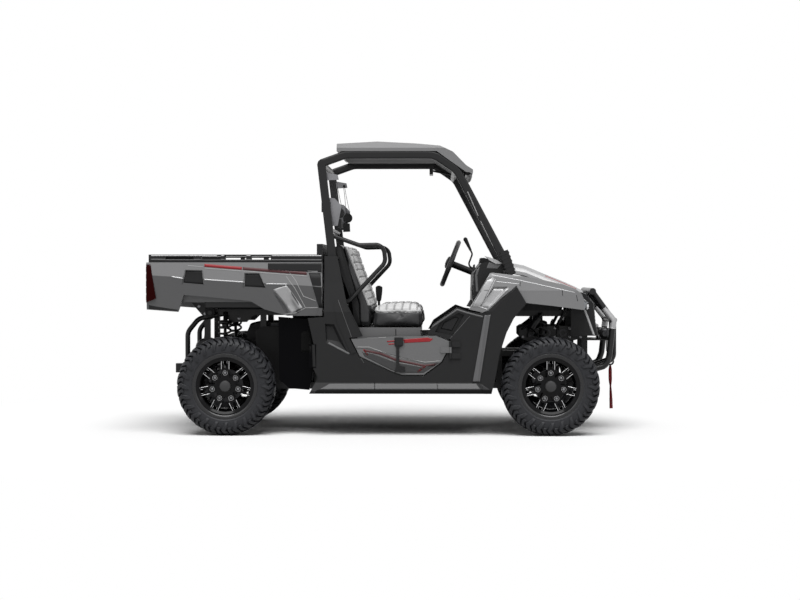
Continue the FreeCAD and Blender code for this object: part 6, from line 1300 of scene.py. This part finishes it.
rollers = [rounded_rod((1.553, -0.085, z), (1.553, 0.085, z), 0.010) for z in (0.5615, 0.6015)]
rollers += [rounded_rod((1.547, s * 0.078, 0.556), (1.547, s * 0.078, 0.607), 0.009) for s in (-1, 1)]
piece("winch_rollers", rollers, "cast_metal", smooth=50)
guide_frame = [bar((1.540, s * 0.094, 0.545), (1.540, s * 0.094, 0.618), 0.006, 0.024, 0.002, (1, 0, 0))
               for s in (-1, 1)]
guide_frame += [bar((1.540, -0.094, z), (1.540, 0.094, z), 0.006, 0.024, 0.002, (1, 0, 0))
                for z in (0.548, 0.615)]
piece("winch_guide_frame", guide_frame, "black_steel")


# Front frame: pressed plates with the rims of their holes, stays, bolts, hoses and shock tanks
PLATE_Y = -0.262
FRONT_PLATE = [(0.905, 0.700), (0.930, 0.716), (1.300, 0.716), (1.345, 0.690), (1.352, 0.640), (1.300, 0.622),
               (1.240, 0.606), (1.180, 0.628), (1.060, 0.628), (0.990, 0.604), (0.930, 0.622), (0.905, 0.650)]
front_plate = plate(closed_ring(FRONT_PLATE), PLATE_Y - 0.003, PLATE_Y + 0.003, 0.002)
piece("front_frame_plates", both([front_plate]), "black_steel", smooth=30)
stays = [rounded_rod((1.155, -0.262, 0.700), (1.230, -0.300, 0.842), 0.011),
         rounded_rod((0.918, -0.262, 0.690), (1.030, -0.330, 0.770), 0.009),
         rounded_rod((1.030, -0.330, 0.770), (1.062, -0.335, 0.800), 0.009)]
piece("front_stays", both(stays), "black_steel")
hub_rims = [turned([(0.016, -0.004), (0.026, -0.004), (0.027, 0.004), (0.016, 0.004), (0.016, -0.004)],
                   (x, -0.2665, 0.668), sides=32) for x in (0.985, 1.095, 1.205, 1.290)]
piece("front_plate_rims", both(hub_rims), "cast_metal", smooth=30)
plate_bolts = [bolt_head((x, -0.2655, z), (0, -1, 0), 0.007) for x in (0.930, 1.040, 1.150, 1.250, 1.325)
               for z in (0.700, 0.640)]
piece("front_plate_bolts", both(sum(plate_bolts, [])), "bolt")
hose = smooth_line([(1.175, -0.270, 0.690), (1.170, -0.330, 0.745), (1.155, -0.430, 0.700),
                    (1.140, -0.520, 0.560), (1.135, -0.560, 0.450)], 60)
pulled = smooth_line([(0.960, -0.268, 0.640), (0.975, -0.330, 0.700), (1.020, -0.420, 0.660),
                      (1.060, -0.480, 0.560)], 50)
piece("front_hoses", both([tube(hose, 0.0052 + 0.0010 * (np.arange(60) % 6 == 0), 10, (0, 1, 0)),
                           tube(pulled, 0.0048, 10, (0, 1, 0))]), "black_plastic", smooth=60)
tanks = [turned([(0, -0.060), (0.022, -0.060), (0.026, -0.055), (0.026, 0.048), (0.022, 0.054),
                 (0.014, 0.060), (0, 0.060)], (1.010, -0.300, 0.735), (0.55, 0, 0.83), 28)]
piece("shock_tanks", both(tanks), "spring_steel", smooth=30)

# Radiator: a finned face, tanks and a fan ring
fins = [bar((1.2815, y, 0.345), (1.2815, y, 0.805), 0.0016, 0.004, 0.0004, (1, 0, 0))
        for y in np.linspace(-0.172, 0.172, 44)]
piece("radiator_fins", fins, "cast_metal")
ends = [bar((1.248, s * 0.196, 0.335), (1.248, s * 0.196, 0.817), 0.020, 0.062, 0.006, (1, 0, 0))
        for s in (-1, 1)]
piece("radiator_tanks", ends, "black_plastic")
shroud = [turned([(0.136, -0.030), (0.150, -0.030), (0.152, 0.0), (0.146, 0.006), (0.136, 0.004),
                  (0.136, -0.030)], (1.216, 0.0, 0.600), (1, 0, 0), 64)]
blade = plate(np.array([(-0.020, 0.03), (0.012, 0.03), (0.044, 0.128), (-0.016, 0.130)]), -0.002, 0.002,
              0.001, 0)
blade = moved(blade, (1.198, 0.0, 0.600))
shroud += around(blade, 7, (1.198, 0.0, 0.600), (1, 0, 0))
shroud += [turned([(0, -0.016), (0.036, -0.016), (0.038, 0.010), (0, 0.014)], (1.198, 0.0, 0.600), (1, 0, 0),
                  32)]
piece("radiator_fan", shroud, "black_plastic", smooth=40)


# Bed, tail and underside: painted highlights on the rail tops and lips, ribs, tail lamps, engine parts,
# brakes and steering rack
# Painted highlights: pale bands where the dark rails' top and lip catch the light
marks("rail_top_highlights", "bed_rails", "pale_silver_and_highlight", -0.71, [(0.012, [(150.6, 255.2), (322.5, 255.3)])],
      body="cargo_bed")
marks("rail_lip_highlights", "bed_rails", "grey_and_highlight", -0.71, [(0.009, [(150.6, 259.5), (322.5, 260.0)])],
      body="cargo_bed")

# Bed floor ribs and tie-down rings
ribs = [bar((-1.500, y, 0.9226), (-0.560, y, 0.9226), 0.030, 0.007, 0.002, (0, 0, 1))
        for y in np.linspace(-0.48, 0.48, 9)]
piece("bed_floor_ribs", ribs, "dark_plastic", "cargo_bed")
rings = []
for x in (-1.35, -0.62):
    for y in (-0.575, 0.575):
        rings.append(tube(hoop((x, y, 0.940), 0.026, 32), 0.0038, 8, (0, 1, 0), True))
piece("bed_tie_rings", rings, "bolt", "cargo_bed")

# Tailgate: handle, pressed ribs and bolts; bars and rims of the tail lamps
TAIL_FACE = -1.5785
handle = smooth_line([(TAIL_FACE, -0.078, 1.105), (TAIL_FACE - 0.006, -0.074, 1.105),
                      (TAIL_FACE - 0.006, 0.0, 1.107), (TAIL_FACE - 0.006, 0.074, 1.105),
                      (TAIL_FACE, 0.078, 1.105)], 40)
piece("tailgate_handle", swept(handle, circle(1.0, 12) * (0.004, 0.013), (0, 0, 1)), "black_plastic",
      "tailgate", 60)
gate_ribs = []
for y in np.linspace(-0.50, 0.50, 9):
    gate_ribs.append(bar((TAIL_FACE - 0.0005, y, 0.930), (TAIL_FACE - 0.0005, y, 1.060), 0.036, 0.006, 0.0028,
                         (1, 0, 0)))
piece("tailgate_ribs", gate_ribs, "silver_paint", "tailgate", 40)
gate_bolts = sum([bolt_head((TAIL_FACE - 0.0002, y, z), (-1, 0, 0), 0.007) for y in (-0.615, 0.615)
                  for z in (0.92, 1.13)], [])
piece("tailgate_bolts", gate_bolts, "bolt", "tailgate")
lens_bars = [bar((-1.5855, -0.732, z - 0.016), (-1.5855, -0.732, z + 0.016), 0.050, 0.004, 0.0018,
                 (1, 0, 0)) for z in np.linspace(0.915, 1.100, 5)]
piece("tail_lamp_bars", both(lens_bars), "red_lens", "cargo_bed")
marks("tail_lamp_rims", "tail_lights", "maroon_mark", -0.764,
      [(0.006, [(149.2, 265.6), (152.6, 265.8), (156, 297.6), (153.4, 300.6), (149, 301)])], body="cargo_bed",
      slot="red_lens")

# Engine bay: drive cover with bolts and rings, air box, muffler and hoses
cover = smooth_line([(-0.905, 0.410), (-0.880, 0.540), (-0.800, 0.610), (-0.690, 0.600), (-0.610, 0.520),
                     (-0.590, 0.400), (-0.660, 0.320), (-0.780, 0.300), (-0.870, 0.330)], 72, True)
piece("drive_cover", [plate(cover, -0.244, -0.305, 0.014)], "black_plastic", smooth=40)
cover_bolts = [bolt_head((x, -0.2985, z), (0, -1, 0), 0.006) for x,
               z in cover[::9] * 0.94 + np.array((-0.748, 0.455)) * 0.06]
piece("drive_cover_bolts", sum(cover_bolts, []), "bolt")
cover_fins = [turned([(r, -0.304), (r + 0.004, -0.309), (r + 0.008, -0.304), (r + 0.004, -0.300),
                      (r, -0.304)], (-0.748, 0.0, 0.455), (0, 1, 0), 64) for r in (0.035, 0.058, 0.081)]
piece("drive_cover_rings", cover_fins, "cast_metal", smooth=60)
box_line = smooth_line([(-0.960, 0.600), (-0.955, 0.700), (-0.900, 0.742), (-0.640, 0.742), (-0.600, 0.700),
                        (-0.600, 0.640), (-0.700, 0.612)], 64, True)
piece("air_box", [plate(box_line, -0.235, 0.100, 0.016)], "black_plastic", smooth=40)
muffler = turned([(0, -0.170), (0.052, -0.170), (0.060, -0.160), (0.062, -0.150), (0.062, 0.150),
                  (0.060, 0.160), (0.052, 0.170), (0, 0.170)], (-1.270, 0.0, 0.560), (0, 1, 0), 40)
bands = [turned([(0.0615, -0.008), (0.0655, -0.008), (0.0655, 0.008), (0.0615, 0.008), (0.0615, -0.008)],
                (-1.270, y, 0.560), (0, 1, 0), 40) for y in (-0.11, 0.11)]
tail_pipe = tube(smooth_line([(-1.285, 0.150, 0.560), (-1.290, 0.215, 0.545), (-1.340, 0.235, 0.520),
                              (-1.400, 0.236, 0.512)], 30), 0.019, 16, (0, 0, 1))
hangers = [bar((-1.270, y, 0.622), (-1.262, y, 0.690), 0.016, 0.005, 0.001, (0, 1, 0)) for y in (-0.11, 0.11)]
piece("muffler", [muffler] + bands + [tail_pipe] + hangers, "cast_metal", smooth=40)
hose_a = smooth_line([(-0.930, -0.200, 0.640), (-1.010, -0.220, 0.610), (-1.060, -0.190, 0.540),
                      (-1.060, -0.120, 0.470)], 44)
piece("intake_hose", tube(hose_a, 0.024 + 0.0022 * np.sin(np.arange(44) * 1.5), 18, (0, 1, 0)),
      "black_plastic", smooth=60)
hose_b = smooth_line([(-0.560, -0.225, 0.640), (-0.520, -0.235, 0.560), (-0.560, -0.240, 0.470),
                      (-0.640, -0.242, 0.380)], 40)
piece("coolant_hose", tube(hose_b, 0.013, 14, (0, 1, 0)), "black_plastic", smooth=60)

# Shaft boots, brake discs and calipers, steering rack with its tie rods
boots = []
for x, inner, outer in ((X_FRONT, 0.135, 0.530), (X_REAR, 0.125, 0.520)):
    for y, way in ((-inner, -1), (-outer, 1)):
        steps = np.arange(9)
        ring_r = 0.046 - 0.0028 * steps + 0.005 * (steps % 2)
        profile = [(0.012, -0.002)] + [(r, 0.009 * i) for i, r in enumerate(ring_r)] + [(0.012, 0.080)]
        drop_z = AXLE_Z + (0.370 - AXLE_Z) * (0.55 - abs(y)) / 0.42
        boots.append(turned(profile, (x, y, drop_z), (0, way, 0), 24))
piece("shaft_boots", both(boots), "black_plastic", smooth=60)

RIM_SIDE = {"right": -1, "left": 1}
for side, s in RIM_SIDE.items():
    for end, x in (("front", X_FRONT), ("rear", X_REAR)):
        y = s * 0.664
        disc = [(0.046, -0.003), (0.050, -0.0035), (0.108, -0.0035), (0.110, -0.003), (0.110, 0.003),
                (0.108, 0.0035), (0.050, 0.0035), (0.046, 0.003), (0.046, -0.003)]
        wheel = end + "_wheel_" + side
        # The disc's holes as deep black plugs: painted shade where the holes are
        holes = around(turned([(0, -0.0042), (0.0042, -0.0042), (0.0042, 0.0042), (0, 0.0042)],
                              (x + 0.083, y, AXLE_Z), sides=10), 18, (x, y, AXLE_Z))
        piece("brake_disc_" + end + "_" + side, turned(disc, (x, y, AXLE_Z), sides=72), "cast_metal", wheel,
              30)
        piece("brake_disc_hole_shade_" + end + "_" + side, holes, "deep_black_and_shade", wheel, 30)
        grip_line = smooth_line([(x - 0.118, 0.345), (x - 0.122, 0.398), (x - 0.092, 0.430),
                                 (x - 0.062, 0.414), (x - 0.078, 0.372), (x - 0.088, 0.335)], 40, True)
        body = "knuckle_" + side if end == "front" else "chassis"
        caliper = [plate(grip_line, y - s * 0.022, y + s * 0.020, 0.006)]
        caliper += [turned([(0, 0), (0.014, 0), (0.015, 0.003), (0.015, 0.010), (0, 0.011)],
                           (x - 0.098, y - s * 0.021, 0.385), (0, -s, 0), 20)]
        piece("brake_caliper_" + end + "_" + side, caliper, "cast_metal", body, 40)
ends_line = [(1.003, -0.598, 0.312), (0.985, -0.470, 0.335), (0.975, -0.240, 0.372)]
tie = rounded_rod(ends_line[1], ends_line[2], 0.009)
piece("steering_rack", [rounded_rod((0.972, -0.245, 0.374), (0.972, 0.245, 0.374), 0.020)] + both([tie]),
      "black_steel")
rack_steps = np.arange(11)
gaiter = [(0.010, -0.002)] + [(0.024 - 0.0010 * i + 0.004 * (i % 2), 0.011 * i)
                              for i in rack_steps] + [(0.008, 0.118)]
piece("rack_gaiters", both([turned(gaiter, (0.972, -0.240, 0.373), (0.02, -1, -0.15), 20)]), "black_plastic",
      smooth=60)

# Dash: gauge, vents, switches and glove box lid; pedals and mats
GAUGE_AT, GAUGE_AXIS = (0.604, 0.0, 1.085), (-1, 0, 0.07)
gauge = [(0, 0.004), (0.036, 0.004), (0.040, 0.012), (0.046, 0.014), (0.052, 0.010), (0.054, 0.0), (0, 0.0)]
piece("gauge_ring", turned(gauge, GAUGE_AT, GAUGE_AXIS, 56), "dark_plastic", smooth=40)
piece("gauge_glass", turned([(0, 0.0075), (0.038, 0.0065), (0.038, 0.003), (0, 0.003)], GAUGE_AT, GAUGE_AXIS,
                            56), "screen")
ticks = [bar((0.5962, 0.0, 1.085 + r0), (0.5962, 0.0, 1.085 + r1), 0.0008, 0.0016, 0.0002, (0, 1, 0)) for r0,
         r1 in ((0.027, 0.034),)]
piece("gauge_ticks", around(ticks[0], 24, (0.5962, 0.0, 1.085), (1, 0, 0)), "pale_mark_and_highlight")
vents = []
for y in (-0.52, -0.14, 0.14):
    outline = np.array([(y + a, 1.020 + b) for a, b in ((-0.045, -0.02), (0.045, -0.02), (0.045, 0.02),
                                                        (-0.045, 0.02))])
    vents.append(plate(outline, 0.598, 0.5915, 0.003, 0))
    vents += [bar((0.5905, y - 0.038, z), (0.5905, y + 0.038, z), 0.0025, 0.005, 0.001, (1, 0, 0))
              for z in (1.008, 1.016, 1.024, 1.032)]
piece("dash_vents", vents, "black_plastic")
keys = []
for row_y in np.linspace(0.075, 0.165, 4):
    outline = np.array([(row_y + a, 0.965 + b) for a, b in ((-0.009, -0.016), (0.009, -0.016), (0.009, 0.016),
                                                            (-0.009, 0.016))])
    keys.append(plate(outline, 0.596, 0.577, 0.003, 0))
piece("dash_switches", keys, "grip")
lid = np.array([(-0.53, 0.905), (-0.21, 0.905), (-0.20, 0.915), (-0.20, 0.985), (-0.21, 0.995),
                (-0.53, 0.995), (-0.54, 0.985), (-0.54, 0.915)])
piece("glove_lid", [plate(lid, 0.600, 0.5775, 0.004, 0)], "dark_plastic")
pedals = []
for y, wide in ((0.30, 0.030), (0.40, 0.046)):
    pad = np.array([(y - wide, 0.42), (y + wide, 0.42), (y + wide, 0.50), (y - wide, 0.50)])
    pedals.append(plate(pad, 0.552, 0.560, 0.003, 0))
    pedals += [bar((0.5508, y - wide * 0.8, z), (0.5508, y + wide * 0.8, z), 0.004, 0.004, 0.001, (1, 0, 0))
               for z in np.linspace(0.432, 0.488, 5)]
    pedals.append(tube(smooth_line([(0.560, y, 0.47), (0.600, y, 0.53), (0.640, y, 0.62)], 14), 0.007, 10,
                       (0, 1, 0)))
piece("pedals", pedals, "black_steel")
mats = []
for y in (-0.39, 0.39):
    for x in np.linspace(0.18, 0.52, 12):
        mats.append(bar((x, y - 0.16, 0.3435), (x, y + 0.16, 0.3435), 0.012, 0.004, 0.0015, (0, 0, 1)))
piece("floor_mat_ribs", mats, "black_plastic")

# Low ribs pressed into the roof
ROOF_X, ROOF_Z = (-0.28, -0.052, 0.20, 0.365), (1.942, 1.9548, 1.941, 1.9255)
rib_x = np.linspace(-0.270, 0.350, 40)
rib_paths = [np.stack([rib_x, y + 0 * rib_x, np.interp(rib_x, ROOF_X, ROOF_Z)], axis=1)
             for y in (-0.42, -0.21, 0.0, 0.21, 0.42)]
piece("roof_ribs", [swept(path, circle(1.0, 12) * (0.020, 0.0024)) for path in rib_paths], "silver_paint")

# Rear frame: guard brackets, pressed plates round the shock mounts, and their bolts
guard_plate = seen_line([(191.5, 303), (203.5, 316.5), (206, 317), (212, 313), (212, 303)], -0.354)
piece("rear_guard_plates", both([plate(guard_plate, -0.357, -0.351, 0.001)]), "black_steel")
shock_plate = seen_line([(221, 309), (221, 314.5), (226, 318), (232, 322), (247, 322), (252, 317), (257, 314),
                         (257, 309)], -0.30)
piece("rear_shock_plates", both([plate(shock_plate, -0.303, -0.297, 0.001)]), "black_steel")
fixings = [(p, -0.3575) for p in seen_line([(205, 313.5), (199, 306)], -0.357)]
fixings += [(p, -0.3035) for p in seen_line([(224, 312), (239, 318.5), (254, 312)], -0.30)]
heads = sum([bolt_head((p[0], y, p[1]), (0, -1, 0), 0.008) for p, y in fixings], [])
piece("rear_frame_bolts", both(heads), "bolt")
lower_plate = seen_line([(256, 330), (262, 326), (290, 326), (293, 334), (290, 372), (280, 384), (262, 384),
                         (256, 372)], -0.315)
piece("engine_side_plates", both([plate(closed_ring(lower_plate),
                                        -0.320, -0.314, 0.002)]), "black_plastic")
# Floor, light and camera
def make_stage():
    """A white floor that keeps the shadow near the vehicle and is plain white beyond, and a white
    surround."""
    bpy.ops.mesh.primitive_plane_add(size=80, location=(0, 0, 0))
    floor = bpy.context.object
    floor.name = "floor"
    m, tree, shader = new_material("floor_white", (0.95, 0.95, 0.95), 0.8, Specular_IOR_Level=0.0)
    floor.data.materials.append(m)
    split = tree.nodes.new("ShaderNodeSeparateXYZ")
    tree.links.new(object_place(tree), split.inputs["Vector"])
    squares = [math_node(tree, "MULTIPLY", split.outputs[k], split.outputs[k]) for k in ("X", "Y")]
    radius = math_node(tree, "SQRT", math_node(tree, "ADD", *squares))
    edge = tree.nodes.new("ShaderNodeMapRange")
    edge.interpolation_type = "SMOOTHSTEP"
    edge.inputs["From Min"].default_value = SHADOW_REACH[0]
    edge.inputs["From Max"].default_value = SHADOW_REACH[1]
    tree.links.new(radius, edge.inputs["Value"])
    path = tree.nodes.new("ShaderNodeLightPath")
    rays = math_node(tree, "ADD", path.outputs["Is Camera Ray"], path.outputs["Is Glossy Ray"])
    rays = math_node(tree, "MINIMUM", math_node(tree, "ADD", rays, path.outputs["Is Transmission Ray"]), 1.0)
    tree.links.new(mixed(tree, rays, (FLOOR_BOUNCE,) * 3, (0.95,) * 3), shader.inputs["Base Color"])
    white = tree.nodes.new("ShaderNodeEmission")
    white.inputs["Color"].default_value = (1, 1, 1, 1)
    mix = tree.nodes.new("ShaderNodeMixShader")
    tree.links.new(math_node(tree, "MULTIPLY", edge.outputs["Result"], rays), mix.inputs["Fac"])
    tree.links.new(shader.outputs["BSDF"], mix.inputs[1])
    tree.links.new(white.outputs["Emission"], mix.inputs[2])
    tree.links.new(mix.outputs["Shader"], tree.nodes["Material Output"].inputs["Surface"])
    world = bpy.data.worlds.new("studio")
    world.use_nodes = True
    tree = world.node_tree
    soft = tree.nodes["Background"]
    soft.inputs["Color"].default_value = (1, 1, 1, 1)
    soft.inputs["Strength"].default_value = WORLD_LEVEL
    white = tree.nodes.new("ShaderNodeBackground")
    white.inputs["Color"].default_value = (1, 1, 1, 1)
    white.inputs["Strength"].default_value = 1.0
    path = tree.nodes.new("ShaderNodeLightPath")
    rays = math_node(tree, "ADD", path.outputs["Is Camera Ray"], path.outputs["Is Glossy Ray"])
    rays = math_node(tree, "MINIMUM", math_node(tree, "ADD", rays, path.outputs["Is Transmission Ray"]), 1.0)
    mix = tree.nodes.new("ShaderNodeMixShader")
    tree.links.new(rays, mix.inputs["Fac"])
    tree.links.new(soft.outputs["Background"], mix.inputs[1])
    tree.links.new(white.outputs["Background"], mix.inputs[2])
    tree.links.new(mix.outputs["Shader"], tree.nodes["World Output"].inputs["Surface"])
    bpy.context.scene.world = world


def aimed(name, data, place, aim):
    """A lamp or camera at a place, looking at another."""
    o = bpy.data.objects.new(name, data)
    bpy.context.scene.collection.objects.link(o)
    o.location = place
    o.rotation_euler = (Vector(aim) - Vector(place)).to_track_quat("-Z", "Y").to_euler()
    return o


def area_light(name, place, aim, size, power):
    data = bpy.data.lights.new(name, "AREA")
    data.shape = "RECTANGLE"
    data.size, data.size_y = size
    data.energy = power
    return aimed(name, data, place, aim)


def make_lights():
    """A broad even light from above, and weak soft boxes that draw the edges."""
    sky = bpy.data.lights.new("overhead", "SUN")
    sky.angle = math.radians(SKY_ANGLE)
    sky.energy = SKY_LEVEL
    aimed("overhead", sky, (0.0, -3.0, 6.0), (0.0, 0.0, 0.6))
    area_light("side_key", (-4.5, -7.5, 4.6), (0, -0.5, 0.8), (5, 2.5), KEY_POWER)
    area_light("side_fill", (5.5, -7.0, 3.4), (0.5, -0.5, 0.8), (4, 2.5), FILL_POWER)
    area_light("rim_back", (0.5, 7.0, 4.0), (0, 0, 0.8), (7, 3), BACK_POWER)


def make_camera():
    data = bpy.data.cameras.new("camera")
    data.sensor_width = 36
    data.lens = data.sensor_width / 2 / math.tan(math.radians(VIEW_DEGREES) / 2)
    data.clip_end = 200
    bpy.context.scene.camera = aimed("camera", data, CAMERA_AT, CAMERA_AIM)


SHADOW_REACH = (2.4, 4.2)
WORLD_LEVEL, SKY_LEVEL, SKY_ANGLE, FLOOR_BOUNCE = 0.17, 3.0, 46.0, 0.36
KEY_POWER, FILL_POWER, BACK_POWER = 60, 35, 60
make_stage()
make_lights()
make_camera()
bpy.context.scene.view_settings.view_transform = "Standard"
